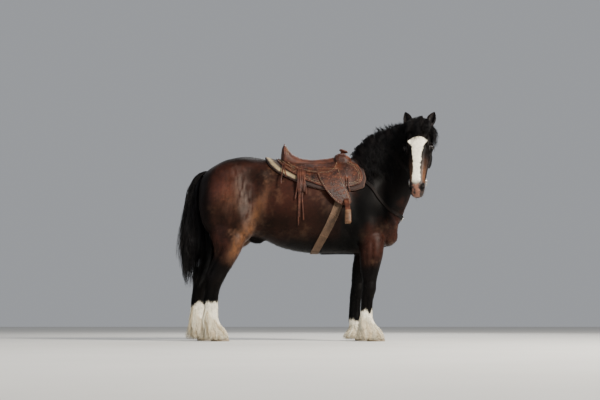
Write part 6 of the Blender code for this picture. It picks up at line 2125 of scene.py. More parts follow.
@dataclass
class ShortHair:
    """Short tufts where the coat breaks the form: belly, flank, elbow, legs, jaw, breast and ears."""

    skin: Skin

    def rooted(self, count: int, weight: Points, chance: np.random.RandomState) -> tuple[Points, Points]:
        """Random roots on the skin's triangles, as many as their area and weight give, and normals.

        Args:
            count: How many roots.
            weight: One number for each triangle.
            chance: Random numbers.

        Returns:
            Places and directions, (count, 3).
        """
        picked = chance.choice(len(weight), count, p=weight / weight.sum())
        u, v = chance.uniform(0, 1, (2, count, 1))
        flip = u + v > 1
        u, v = np.where(flip, 1 - u, u), np.where(flip, 1 - v, v)
        a, b, c = (self.corners[picked, k] for k in range(3))
        return a + (b - a) * u + (c - a) * v, self.normals[picked]

    def tufts(self, name: str, region: Region, count: int, weight: Points, flow: Points, length: float, half: float,
              stand: float, seed: int, tint: Points | None = None) -> None:
        """Tufts that lie along a flow and stand off the skin by a share of their length.

        Args:
            name: The piece's name.
            region: Its part of the coat's map.
            count: How many tufts.
            weight: One number for each triangle.
            flow: The way that the hair lies.
            length: A tuft's length.
            half: Half of its width.
            stand: How far it stands off.
            seed: Which random numbers.
            tint: Its colour, or None for the coat's.
        """
        chance = np.random.RandomState(seed)
        root, normal = self.rooted(count, weight, chance)
        way = np.asarray(flow, float) + chance.normal(0, 0.22, (count, 3))
        way = unit(way - normal * (way * normal).sum(1, keepdims=True))
        t = np.linspace(0, 1, 4)[None, :, None]
        size = (length * chance.uniform(0.55, 1.2, count))[:, None, None]
        bow = (stand * chance.uniform(0.5, 1.4, count))[:, None, None]
        path = (root[:, None] - normal[:, None] * 0.001 + way[:, None] * size * t
                + normal[:, None] * size * bow * t * (1.25 - 0.45 * t) + np.array((0, 0, -0.25)) * size * t * t)
        out = np.broadcast_to(normal[:, None], path.shape)
        colour = self.skin.markings.colours(root) if tint is None else np.tile(tint, (count, 1))
        colour = colour * chance.uniform(0.8, 1.35, (count, 1))
        width = half * chance.uniform(0.7, 1.2, (count, 1)) * np.ones((1, 4))
        mesh = strand_mesh(name, path, out, width, 0.4, colour, region.unrolled(root))
        Piece.place(name, mesh, SHORT_TUFTS.build(), "hide")

    def build(self) -> None:
        """Measures the skin and grows each region's tufts."""
        points = read_points(self.skin.bare)
        bm = bmesh.new()
        bm.from_mesh(self.skin.bare)
        bmesh.ops.triangulate(bm, faces=bm.faces)
        faces = np.array([[v.index for v in f.verts] for f in bm.faces])
        bm.free()
        self.corners = points[faces]
        cross = np.cross(self.corners[:, 1] - self.corners[:, 0], self.corners[:, 2] - self.corners[:, 0])
        self.normals = unit(cross)
        area = np.linalg.norm(cross, axis=1)
        middle = self.corners.mean(1)
        x, y, z = middle.T
        down, out, left = head_places(middle).T
        side = np.abs(y)
        head = (down > -0.10) & (down < 0.83) & (np.abs(left) < 0.17) & (out > -0.33) & (out < 0.08)
        below = self.normals[:, 2] < -0.2
        body = area * ~head
        belly = body * (below & (z > 0.80) & (z < 1.06) & (x > -0.45) & (x < 0.62))
        self.tufts("belly_hair", Region.TRUNK, 2600, belly, (-0.7, 0, -0.25), 0.022, 0.0011, 0.30, 31)
        breast = body * ((x > 0.84) & (z > 0.92) & (z < 1.30))
        self.tufts("breast_hair", Region.TRUNK, 1800, breast, (-0.2, 0, -1.0), 0.018, 0.0010, 0.22, 32)
        fore_back = body * ((x > 0.40) & (z > 0.36) & (z < 0.96) & (self.normals[:, 0] < -0.15) & (side > 0.06))
        hind_back = body * ((x < -0.42) & (z > 0.42) & (z < 1.05) & (np.abs(self.normals[:, 1]) < 0.95) & (side > 0.03))
        edge = body * (z < 0.43) * (z > 0.20)
        fore, hind = edge * (x > 0), edge * (x < 0)
        legs = ((fore_back, fore, y < 0, Region.FORE_RIGHT), (fore_back, fore, y > 0, Region.FORE_LEFT),
                (hind_back, hind, y < 0, Region.HIND_RIGHT), (hind_back, hind, y > 0, Region.HIND_LEFT))
        for k, (back, _, half, region) in enumerate(legs):
            self.tufts(f"leg_hair_{k}", region, 1300, back * half, (-0.1, 0, -1.0), 0.024, 0.0010, 0.30, 33 + k)
        for k, (_, cannon, half, region) in enumerate(legs):
            self.tufts(f"cannon_hair_{k}", region, 1200, cannon * half, (0, 0, -1.0), 0.024, 0.0010, 0.14, 43 + k)
        rear = body * ((z > 0.37) & (z < 0.64) & (x < -0.60) & (y < 0) & (self.normals[:, 0] < -0.72))
        self.tufts("hock_hair", Region.HIND_RIGHT, 520, rear, (-0.25, 0, -1.0), 0.034, 0.0011, 0.42, 49)
        flank = body * np.exp(-((x + 0.33) / 0.07) ** 2 - ((z - 1.10) / 0.16) ** 2)
        self.tufts("flank_hair", Region.TRUNK, 1200, flank, (-0.3, 0, -0.9), 0.018, 0.0010, 0.18, 53)
        jaw = area * (head & (out < -0.12) & (down > 0.05) & (down < 0.70))
        self.tufts("jaw_hair", Region.HEAD, 1700, jaw, tuple(FACE_DOWN * 0.8 - FACE_OUT * 0.5), 0.014, 0.0008, 0.25, 54)
        face = area * (head & (out > -0.14) & (down < 0.66) & (down > 0.08))
        self.tufts("face_hair", Region.HEAD, 2000, face, tuple(FACE_DOWN), 0.008, 0.0005, 0.06, 58)
        chin = area * (head & (down > 0.66) & (out < -0.06))
        self.tufts("whiskers", Region.HEAD, 60, chin, tuple(FACE_DOWN), 0.024, 0.0004, 1.2, 55, linear("#2a2320"))
        throat = body * ((x > 0.85) & (z > 1.25) & (z < 1.85))
        self.tufts("throat_hair", Region.NECK, 1800, throat, (-0.1, 0.0, -1.0), 0.014, 0.0008, 0.08, 56)
        trunk = body * ((z > 0.95) & (x < 0.90))
        self.tufts("body_hair", Region.TRUNK, 5000, trunk, (-0.7, 0, -0.6), 0.011, 0.0008, 0.08, 57)
        for side_name, way in SIDES.items():
            self.ear_hair(side_name, way)

    def ear_hair(self, name: str, side: float) -> None:
        """Hair that fills the cup of one ear and fringes its rims.

        Args:
            name: right or left.
            side: -1 or 1.
        """
        chance = np.random.RandomState(70 if side > 0 else 71)
        base, axis, front, across, long = self.skin.ear_frame(side)
        count = 480
        share = chance.uniform(0.08, 0.90, count)
        radius = np.interp(share, *EAR_RADII) - 0.003
        gap = np.radians(np.interp(share, [0, 0.10, 0.30, 0.60, 1], [10, 26, 62, 66, 60]))
        # near one rim or the other
        near = np.where(chance.uniform(0, 1, count) < 0.5, chance.uniform(0, 0.12, count),
                        chance.uniform(0.88, 1, count))
        turn = gap + (2 * math.pi - 2 * gap) * near
        root = (base + axis * (share * long)[:, None] + across * (radius * np.sin(turn))[:, None]
                + front * (radius * 0.8 * np.cos(turn))[:, None])
        inward = unit(-across * np.sin(turn)[:, None] + front * 0.35)
        t = np.linspace(0, 1, 4)[None, :, None]
        size = chance.uniform(0.010, 0.024, (count, 1, 1))
        path = root[:, None] + (inward * 0.7 + axis * 0.75)[:, None] * size * t - inward[:, None] * size * 0.25 * t * t
        out = np.broadcast_to(front, path.shape)
        tint = np.tile(linear("#1a1412"), (count, 1)) * chance.uniform(0.5, 1.6, (count, 1))
        mesh = strand_mesh("ear_hair", path, out, np.full((count, 4), 0.0006), 0.5, tint, Region.HEAD.unrolled(root))
        Piece.place(f"ear_hair_{name}", mesh, SHORT_TUFTS.build(), "hide")


# The tack

@dataclass
class TrunkMap:
    """How far the skin is from the trunk's middle line, at each place along it and each angle.

    The line is level at AXIS_HEIGHT, and an angle is measured from straight up towards the left.
    Where a ray finds no skin, the map has its usual reach.
    """

    tree: BVHTree
    spread: int = 3
    ends: tuple = (-0.42, 0.86)
    places: int = 129
    turns: int = 181
    usual: float = 0.3

    def __post_init__(self) -> None:
        """Measures the skin with rays, and softens the hollows without cutting into the skin."""
        self.xs = np.linspace(*self.ends, self.places)
        self.angles = np.linspace(-math.pi, math.pi, self.turns)
        grid = np.full((self.places, self.turns), self.usual)
        for i, x in enumerate(self.xs):
            for j, angle in enumerate(self.angles):
                way = Vector((0, math.sin(angle), math.cos(angle)))
                _, _, _, far = self.tree.ray_cast(Vector((x, 0, AXIS_HEIGHT)), way)
                grid[i, j] = far if far is not None else self.usual
        soft = grid.copy()
        for _ in range(self.spread):
            soft[1:-1, 1:-1] = (soft[1:-1, 1:-1] * 2 + soft[:-2, 1:-1] + soft[2:, 1:-1] + soft[1:-1, :-2]
                                + soft[1:-1, 2:]) / 6
        self.grid = np.maximum(soft, grid - 0.001)

    def points(self, x: Points, angle: Points, lift: Points = 0.0) -> Points:
        """Places over the skin, by blending the four nearest entries of the map.

        Args:
            x: Places along the line.
            angle: Turns round it.
            lift: Heights over the skin.

        Returns:
            Places, (..., 3).
        """
        x, angle, lift = np.broadcast_arrays(np.asarray(x, float), angle, lift)
        # a little below the last entry, so that each place has a next one
        u = np.clip((x - self.xs[0]) / (self.xs[1] - self.xs[0]), 0, self.places - 1.001)
        v = np.clip((angle - self.angles[0]) / (self.angles[1] - self.angles[0]), 0, self.turns - 1.001)
        i, j = u.astype(int), v.astype(int)
        a, b = u - i, v - j
        g = self.grid
        far = (g[i, j] * (1 - a) * (1 - b) + g[i + 1, j] * a * (1 - b) + g[i, j + 1] * (1 - a) * b
               + g[i + 1, j + 1] * a * b) + lift
        return np.stack([x, np.sin(angle) * far, AXIS_HEIGHT + np.cos(angle) * far], axis=-1)

    def beside(self, x: Points, z: Points, side: float, lift: float) -> tuple[Points, Points]:
        """Places on one side over the skin at these X and heights, and their angles, by halving.

        Args:
            x: Places along the line.
            z: Heights.
            side: -1 for right, 1 for left.
            lift: The height over the skin.

        Returns:
            Places, (n, 3), and their angles.
        """
        low, high = np.zeros(len(x)), np.full(len(x), 2.6)
        for _ in range(24):
            middle = (low + high) / 2
            above = self.points(x, middle * side, lift)[:, 2] > z
            low, high = np.where(above, middle, low), np.where(above, high, middle)
        return self.points(x, low * side, lift), low * side

    def out(self, points: Points) -> Points:
        """Directions straight out from the middle line.

        Args:
            points: Places, (n, 3).

        Returns:
            Directions, (n, 3).
        """
        away = points - np.array((0, 0, AXIS_HEIGHT))
        away[..., 0] = 0
        return unit(away)


def stitched(rows: list[tuple[Points, Points]]) -> bpy.types.Mesh:
    """Short round stitches along rows of points, each as long as two thirds of its step.

    Args:
        rows: Paths with their outward directions.

    Returns:
        The mesh.
    """
    along = np.array([0.0, 0.3, 0.7, 1.0])[:, None]
    bow = np.array([-0.0005, 0.0007, 0.0007, -0.0005])[:, None]
    meshes = []
    for path, out in rows:
        for start, end, normal in zip(path[:-1:2], path[1::2], out[::2]):
            line = start + (end - start) * along + normal * bow
            meshes.append(cord(line, np.tile(normal, (4, 1)), 0.0009, 5))
    return joined("stitches", meshes)


def concho(centre: Points, out: Points, radius: float = 0.0165) -> bpy.types.Mesh:
    """A domed disc with a scalloped rim, of silver or of leather.

    Args:
        centre: The disc's foot.
        out: Its direction.
        radius: Its radius.

    Returns:
        The mesh.
    """
    one = unit(np.cross(out, (1.0, 0, 0)))
    two = np.cross(out, one)
    turn = np.arange(48) * 2 * math.pi / 48
    rows = ((0.0, 0.0155), (0.0018, 0.0165), (0.0030, 0.0150), (0.0030, 0.0125), (0.0052, 0.0100), (0.0066, 0.0055),
            (0.0070, 0.0008))
    rings = []
    for k, (h, r) in enumerate(rows):
        wavy = r * radius / 0.0165 * (1 + (0.05 * np.cos(12 * turn) if k < 3 else 0 * turn))
        rings.append(hoop(centre + out * h, one, two, wavy, 48))
    return tube_mesh("concho", np.array(rings))


@dataclass
class Saddle:
    """A western saddle on its felt pad, with its straps and stirrups."""

    over: TrunkMap
    pad_thickness: float = 0.026
    skirt_thickness: float = 0.011
    stirrup_out: float = 0.440
    pad_line: tuple = (
        (-0.235, 2.0), (-0.235, 1.76), (-0.190, 1.680), (-0.130, 1.620), (-0.050, 1.570), (0.050, 1.520),
        (0.150, 1.475), (0.300, 1.435), (0.500, 1.425), (0.620, 1.432), (0.700, 1.460), (0.722, 1.550),
        (0.700, 1.660), (0.640, 1.740), (0.600, 2.0))
    skirt_line: tuple = (
        (-0.134, 2.0), (-0.134, 1.770), (-0.100, 1.705), (-0.045, 1.648), (0.020, 1.602), (0.090, 1.562),
        (0.170, 1.515), (0.300, 1.468), (0.400, 1.458), (0.500, 1.460), (0.600, 1.472), (0.665, 1.495),
        (0.692, 1.550), (0.686, 1.610), (0.645, 1.690), (0.560, 1.740), (0.560, 2.0))
    fender_line: tuple = (
        (0.265, 1.665), (0.450, 1.665), (0.500, 1.520), (0.558, 1.385), (0.575, 1.300), (0.500, 1.285),
        (0.430, 1.320), (0.345, 1.420), (0.280, 1.540))
    seat_jockey_line: tuple = (
        (-0.035, 2.0), (-0.035, 1.715), (0.010, 1.668), (0.080, 1.634), (0.170, 1.606), (0.270, 1.588), (0.355, 1.592),
        (0.415, 1.618), (0.450, 1.664), (0.465, 1.720), (0.465, 2.0))
    rear_jockey_line: tuple = (
        (-0.122, 2.0), (-0.122, 1.778), (-0.098, 1.736), (-0.055, 1.694), (0.000, 1.655), (0.045, 1.632),
        (0.085, 1.632), (0.105, 1.655), (0.105, 2.0))
    # the fork: X, top, bottom, half width, level of the widest place, squareness
    fork_rows: tuple = (
        (0.425, 1.770, 1.66, 0.118, 0.45, 2.4), (0.445, 1.806, 1.65, 0.146, 0.45, 2.5),
        (0.480, 1.820, 1.64, 0.156, 0.45, 2.6), (0.520, 1.820, 1.64, 0.154, 0.45, 2.6),
        (0.562, 1.803, 1.64, 0.140, 0.44, 2.5), (0.596, 1.770, 1.65, 0.108, 0.42, 2.3))
    # each side's conchos: X, height, the length of the strings under it, and their places across
    ties: tuple = ((0.545, 1.560, 0.16, (-1, 1)), (0.105, 1.640, 0.51, (-1, 1, -2.4, 2.4)),
                   (-0.060, 1.690, 0.20, (-1, 1)))
    seat_rows: tuple = (
        (-0.090, 1.800, 0.090), (-0.076, 1.880, 0.150), (-0.050, 1.907, 0.168), (-0.022, 1.880, 0.165),
        (0.030, 1.812, 0.160), (0.120, 1.772, 0.150), (0.220, 1.760, 0.135), (0.330, 1.768, 0.125),
        (0.420, 1.785, 0.128), (0.465, 1.812, 0.142), (0.515, 1.815, 0.145), (0.570, 1.790, 0.125),
        (0.600, 1.755, 0.090))

    def sheet(self, name: str, line: Points, low: float, high: float, reach: float = 86,
              one: float = 0.0) -> bpy.types.Mesh:
        """A sheet over the trunk between two heights, trimmed to an outline seen from the side.

        Args:
            name: The mesh's name.
            line: The outline, X and height.
            low: The lower side's height over the skin.
            high: The upper side's height.
            reach: How far it goes down each side, in degrees.
            one: -1 or 1 for one side alone, 0 for both.

        Returns:
            The mesh.
        """
        line = np.asarray(line, float)
        xs = np.linspace(line[:, 0].min() - 0.02, line[:, 0].max() + 0.02, 72)
        angles = np.radians(np.linspace(-reach, reach, 116) if one == 0 else np.linspace(0, reach * 1.2, 70) * one)
        grids = [self.over.points(xs[:, None], np.sort(angles)[None], lift) for lift in (high, low)]
        sheet = linked(name, shell_mesh(name, *grids))
        count = len(line)
        block = np.concatenate([np.stack([line[:, 0], np.full(count, way), line[:, 1]], 1) for way in (-1.0, 1.0)])
        mesh = bpy.data.meshes.new("trim")
        with edited(mesh) as bm:
            corners = [bm.verts.new(p) for p in block]
            bm.faces.new(corners[:count])
            bm.faces.new(corners[:count - 1:-1])
            for j in range(count):
                bm.faces.new([corners[k] for k in (j, j + count, (j + 1) % count + count, (j + 1) % count)])
            bmesh.ops.recalc_face_normals(bm, faces=bm.faces)
        trim = linked("trim", mesh)
        step = sheet.modifiers.new("trim", "BOOLEAN")
        step.operation, step.solver, step.object = "INTERSECT", "EXACT", trim
        made = applied(sheet)
        bpy.data.objects.remove(sheet, do_unlink=True)
        drop(trim)
        return made

    def edge(self, line: Points, side: float, lift: float, inward: float = 0.0,
             count: int = 160) -> tuple[Points, Points]:
        """Points on the sheet's surface along its outline on one side, moved inwards in the outline's plane.

        Args:
            line: The outline, X and height.
            side: -1 for right, 1 for left.
            lift: The height over the skin.
            inward: How far inside the outline.
            count: How many points.

        Returns:
            Places and directions, (count, 3).
        """
        line = np.asarray(line, float)
        flat = np.stack([line[:, 0], 0 * line[:, 0], line[:, 1]], axis=1)
        along = np.r_[0, np.cumsum(np.linalg.norm(np.diff(flat, axis=0), axis=1))]
        where = np.linspace(0, along[-1], 400)
        dense = np.stack([np.interp(where, along, flat[:, k]) for k in (0, 2)], axis=1)
        heading = unit(np.gradient(dense, axis=0))
        dense = dense + np.stack([-heading[:, 1], heading[:, 0]], axis=1) * inward
        top = self.over.points(dense[:, 0], 0.0, lift)[:, 2]
        dense = dense[dense[:, 1] < top - 0.004]
        path, _ = self.over.beside(dense[:, 0], dense[:, 1], side, lift)
        path = curve_through(path[::6], count)
        return path, self.over.out(path)

    def blanket(self) -> None:
        """The felt pad, its cream edge and its dark lower border."""
        mesh = self.sheet("saddle_pad", self.pad_line, -0.006, self.pad_thickness - 0.002)
        points = read_points(mesh)
        away = Skin.line_distance(points[:, [0, 2]], self.pad_line[1:-1])
        band = smooth(0.009, 0.014, away) * smooth(0.050, 0.040, away) * smooth(0.10, 0.02, points[:, 0])
        paint(mesh, blend(np.tile(linear("#33201a"), (len(points), 1)), linear("#ab9670"), band))
        felt = WovenCloth("bordered_wool_felt", "#8c8c8c", "#ffffff", painted=True).build()
        pad = Piece.place("saddle_pad_felt", mesh, felt, "felt", ("saddle_pad",))
        rolls = []
        for side in SIDES.values():
            path, out = self.edge(self.pad_line, side, self.pad_thickness * 0.45, 0.002)
            rolls.append(cord(path, out, 0.0115))
        binding = WovenCloth("dark_wool_binding", "#24150f", "#4a2f23").build()
        Piece.place("pad_binding", joined("binding", rolls), binding, "felt")

    def skirts(self) -> None:
        """The tooled leather skirts, with a rolled edge and two rows of stitches."""
        base = self.pad_thickness
        mesh = self.sheet("skirts", self.skirt_line, base - 0.002, base + self.skirt_thickness)
        Piece.place("skirts_leather", mesh, TOOLED.build(), "leather", ("skirts",))
        rolls, stitches = [], []
        for side in SIDES.values():
            path, out = self.edge(self.skirt_line, side, base + self.skirt_thickness * 0.55)
            rolls.append(cord(path, out, 0.0070, 8))
            stitches += [self.edge(self.skirt_line, side, base + self.skirt_thickness + 0.0006, inward, 260)
                         for inward in (0.014, 0.030)]
        Piece.place("skirt_edges", joined("edges", rolls), SMOOTH_LEATHER.build(), "leather")
        Piece.place("skirt_stitches", stitched(stitches), waxed_thread("linen"), "webbing")

    def seat(self) -> None:
        """Ground seat and cantle, the fork with its horn, the jockeys, and the cantle's binding."""
        over = self.pad_thickness + self.skirt_thickness
        rows = [(x, 0, top, x, 0, 1.640, w, 0.42, 2.3) for x, top, w in self.seat_rows]
        mesh = loft("seat", rows, 72, 110)
        points = read_points(mesh)
        x, y, z = points.T
        # the cantle's hollow front, and the seat's own dish
        points[:, 0] -= 0.020 * np.exp(-((x - 0.01) / 0.035) ** 2) * smooth(1.80, 1.86, z) * np.exp(-(y / 0.10) ** 2)
        points[:, 2] -= 0.006 * np.exp(-((x - 0.16) / 0.13) ** 2) * np.exp(-(y / 0.055) ** 2) * smooth(1.70, 1.74, z)
        write_points(mesh, points)
        Piece.place("seat_leather", mesh, SEAT_LEATHER.build(), "leather", ("seat",))
        rings = section_rings(rows, 72, 400)
        rim = rings[np.argmin(np.abs(rings[:, 0, 0] + 0.050))]
        rim = rim[(rim[:, 2] > 1.775)]
        rim = rim[np.argsort(rim[:, 1])]
        path = curve_through(rim[::2], 90)
        path[:, 0] -= 0.004
        out = unit(path - np.array((-0.05, 0, 1.75)))
        taper = np.interp(np.linspace(0, 1, 90), [0, 0.08, 0.92, 1], [0.5, 1, 1, 0.5])
        roll = cord(path, out, 0.0085, 12, scale=taper)
        seams = []
        for shift in (0.018, 0.030):
            inner = path + np.array((shift * 1.2, 0, 0)) - out * shift * 0.55 + np.array((0, 0, 0.002))
            # the seat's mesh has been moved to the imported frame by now
            spot, normal, _ = nearest(tree_of(mesh), inner - SHIFT)
            seam = curve_through((spot + SHIFT + normal * 0.0006)[::2], 130)
            seams.append((seam, self.over.out(seam)))
        Piece.place("cantle_roll", roll, SMOOTH_LEATHER.build(), "leather")
        thread = waxed_thread("seat")
        Piece.place("seat_stitches", stitched(seams), thread, "webbing")
        fork = [(x, 0, top, x, 0, bottom, *rest) for x, top, bottom, *rest in self.fork_rows]
        Piece.place("fork_leather", loft("fork", fork, 72, 60), TOOLED.build(), "leather")
        jockeys, rolls, stitches = [], [], []
        for line, lift in ((self.rear_jockey_line, 0.0045), (self.seat_jockey_line, 0.0085)):
            jockeys.append(self.sheet("jockey", line, over - 0.001, over + lift))
            for side in SIDES.values():
                path, out = self.edge(line, side, over + lift * 0.7)
                rolls.append(cord(path, out, 0.0032, 8))
                stitches.append(self.edge(line, side, over + lift + 0.0005, 0.012, 200))
        Piece.place("jockeys", joined("jockeys", jockeys), TOOLED.build(), "leather")
        Piece.place("jockey_edges", joined("jockey_edges", rolls), SMOOTH_LEATHER.build(), "leather")
        Piece.place("jockey_stitches", stitched(stitches), thread, "webbing")
        self.horn()

    def horn(self) -> None:
        """The horn: its neck and its wrapped cap, turned round a line that leans forwards."""
        rows = ((0.0, 0.036), (0.010, 0.029), (0.024, 0.021), (0.050, 0.019), (0.064, 0.022), (0.070, 0.036),
                (0.0745, 0.043), (0.080, 0.0445), (0.086, 0.042), (0.090, 0.034), (0.0925, 0.018), (0.092, 0.001))
        foot, head = np.array((0.500, 0, 1.772)), np.array((0.526, 0, 1.852))
        axis = unit(head - foot)
        one = unit(np.cross(axis, (0, 1, 0)))
        wraps = [tube_mesh("horn", np.array([hoop(foot + axis * h, one, (0, 1, 0), r, 40) for h, r in rows]))]
        for k in range(7):
            h = 0.022 + 0.0062 * k
            loop = hoop(foot + axis * h, one, (0, 1, 0), 0.0205, 40)
            wraps.append(cord(loop, unit(loop - foot - axis * h), 0.0034, 8, closed=True))
        Piece.place("horn_leather", joined("horn", wraps), SMOOTH_LEATHER.build(), "leather", ("horn",))

    def sides(self) -> None:
        """Fenders, stirrups, stirrup straps, billets and conchos, right and left."""
        base = self.pad_thickness + self.skirt_thickness
        for name, side in SIDES.items():
            line = curve_through([(x, 0, z) for x, z in self.fender_line], 60, closed=True)[:, ::2]
            mesh = self.sheet("fender", line, base - 0.002, base + 0.007, one=side)
            Piece.place(f"fender_{name}_leather", mesh, TOOLED.build(), "leather", (f"fender_{name}",))
            below = line[line[:, 1] < 1.655]
            first = np.argmax(np.linalg.norm(np.diff(below, axis=0), axis=1)) + 1 if len(below) < len(line) else 0
            below = np.roll(below, -first, axis=0)
            path, out = self.edge(below, side, base + 0.0045)
            # the row of stitches is the one that lies inside the outline, whichever way it runs
            rows = [self.edge(below, side, base + 0.0076, inward, 200) for inward in (0.010, -0.010)]
            inner = [row for row in rows if row[0][:, 2].min() > path[:, 2].min() + 0.004] or rows
            Piece.place(f"fender_{name}_edge", cord(path, out, 0.0040, 8), SMOOTH_LEATHER.build(), "leather")
            Piece.place(f"fender_{name}_stitches", stitched(inner[:1]), waxed_thread("fender"), "webbing")
            self.stirrup(name, side)
            self.strings(name, side, base)
            turns = np.radians(np.linspace(24, 112, 60))
            degrees = np.degrees(turns)
            lift = np.interp(degrees, [24, 54, 62, 72, 84, 98, 112], [0.040, 0.040, 0.038, 0.024, 0.010, 0.004, 0.003])
            path = self.over.points(0.105 - 0.010 * degrees / 60, turns * side, lift)
            width = np.interp(degrees, [24, 70, 78, 112], [0.017, 0.017, 0.012, 0.011])
            strap = carried(path, self.over.out(path), FLAT_STRAP * (1.0, 0.005 / 0.017), scale=width)
            short = turns[:34]
            beside = self.over.points(0.139 - 0.004 * np.degrees(short) / 60, short * side, lift[:34] + 0.001)
            second = carried(beside, self.over.out(beside), FLAT_STRAP * (1.0, 0.3),
                             scale=np.linspace(0.014, 0.010, 34))
            Piece.place(f"billet_{name}_leather", joined("billet", [strap, second]), SMOOTH_LEATHER.build(),
                        "dark_leather", (f"billet_{name}",))
            discs = []
            for x, z, *_ in self.ties:
                spot, _ = self.over.beside(np.array([x]), np.array([z]), side, base + 0.001)
                discs.append(concho(spot[0], self.over.out(spot)[0]))
            Piece.place(f"conchos_{name}", joined("conchos", discs), STEEL.build(), "steel")

    def strings(self, name: str, side: float, base: float) -> None:
        """Pairs of thin leather strings that hang from the conchos, and the small rosettes under them.

        Args:
            name: right or left.
            side: -1 or 1.
            base: The skirt's height over the skin.
        """
        chance = np.random.RandomState(3 if side > 0 else 4)
        made = []
        for x, z, long, places in self.ties:
            spot, angle = self.over.beside(np.array([x]), np.array([z]), side, base + 0.004)
            out = self.over.out(spot)[0]
            made.append(concho(spot[0] - out * 0.003, out, 0.023))
            for k in places:
                reach = long * chance.uniform(0.75, 1.1) * (1.0 if abs(k) < 2 else 0.62)
                turn = np.abs(angle[0]) + np.linspace(0, reach / 0.36, 26)
                drift = 0.007 * k + 0.014 * k * np.linspace(0, 1, 26) + 0.004 * np.sin(np.linspace(0, 7, 26) + k)
                # over the skirt at first, and down onto the coat below it
                lift = np.interp(np.degrees(turn), [56, 64, 74, 120], [base + 0.009, base, 0.012, 0.006])
                path = self.over.points(x + drift, turn * side, lift)
                made.append(carried(path, self.over.out(path), FLAT_STRAP * (0.0065, 0.0028)))
        Piece.place(f"strings_{name}", joined("strings", made), SMOOTH_LEATHER.build(), "leather")

    def stirrup(self, name: str, side: float) -> None:
        """A stirrup: a bent flat band open to the front, wider at its tread, and its strap.

        Args:
            name: right or left.
            side: -1 or 1.
        """
        middle = np.array((0.545, self.stirrup_out * side, 0.0))
        frame_line = [(0.0, 1.2145), (0.023, 1.213), (0.049, 1.176), (0.0640, 1.118), (0.0600, 1.104), (0.0, 1.102),
                      (-0.0600, 1.104), (-0.0640, 1.118), (-0.049, 1.176), (-0.023, 1.213)]
        loop = curve_through([(middle[0], middle[1] + y, z) for y, z in frame_line], 96, closed=True)
        out = unit(loop - (middle + (0, 0, 1.155)))
        profile = np.array([(-1, -0.24), (-1.0, 0.10), (-0.9, 0.24), (0.9, 0.24), (1.0, 0.10), (1, -0.24), (0.9, -0.3),
                            (-0.9, -0.3)]) * 0.027
        mesh = carried(loop, out, profile, closed=True)
        Piece.place(f"stirrup_{name}_band", mesh, PALE_LEATHER.build(), "leather", (f"stirrup_{name}",))
        top = self.over.points(0.535, math.radians(84) * side, 0.046)
        foot = middle + (0, 0, 1.222)
        path = curve_through([top, top + (foot - top) * 0.5 + (0, 0.004 * side, 0), foot, foot - (0, 0, 0.020)], 30)
        out = np.tile((0, side, 0.0), (30, 1))
        taper = np.interp(np.linspace(0, 1, 30), [0, 0.6, 1], [1, 1, 0.9])
        strap = carried(path, out, FLAT_STRAP * (0.025, 0.007), scale=taper)
        Piece.place(f"stirrup_strap_{name}_leather", strap, SMOOTH_LEATHER.build(), "leather",
                    (f"stirrup_strap_{name}",))

    def girth(self) -> None:
        """The mohair cord girth under the belly, with its cross bars."""
        turns = np.array([66, 80, 94, 108, 122, 136, 150, 165, 180.0])
        xs = np.array([0.500, 0.482, 0.458, 0.425, 0.382, 0.330, 0.280, 0.243, 0.230])
        fine = np.linspace(66, 294, 140)
        half = np.where(fine > 180, 360 - fine, fine)
        angle = np.radians(np.where(fine > 180, fine - 360, fine))
        path = self.over.points(np.interp(half, turns, xs), angle, 0.002)
        out = self.over.out(path)
        across = unit(np.cross(unit(np.gradient(path, axis=0)), out))
        cords = [cord(path + across * (-0.036 + 0.006 * k) + out * 0.0035, out, 0.0036, 6) for k in range(13)]
        for k in range(10, 140, 17):
            line = path[k] + across[k] * np.linspace(-0.041, 0.041, 6)[:, None] + out[k] * 0.0055
            cords.append(cord(line, np.tile(out[k], (6, 1)), 0.0055, 6))
        mohair = WovenCloth("mohair_cord", "#3a2a1d", "#715640", 0.002).build()
        Piece.place("girth_cords", joined("cords", cords), mohair, "webbing", ("girth",))

    def build(self) -> None:
        """Makes the whole saddle."""
        self.blanket()
        self.skirts()
        self.seat()
        self.sides()
        self.girth()


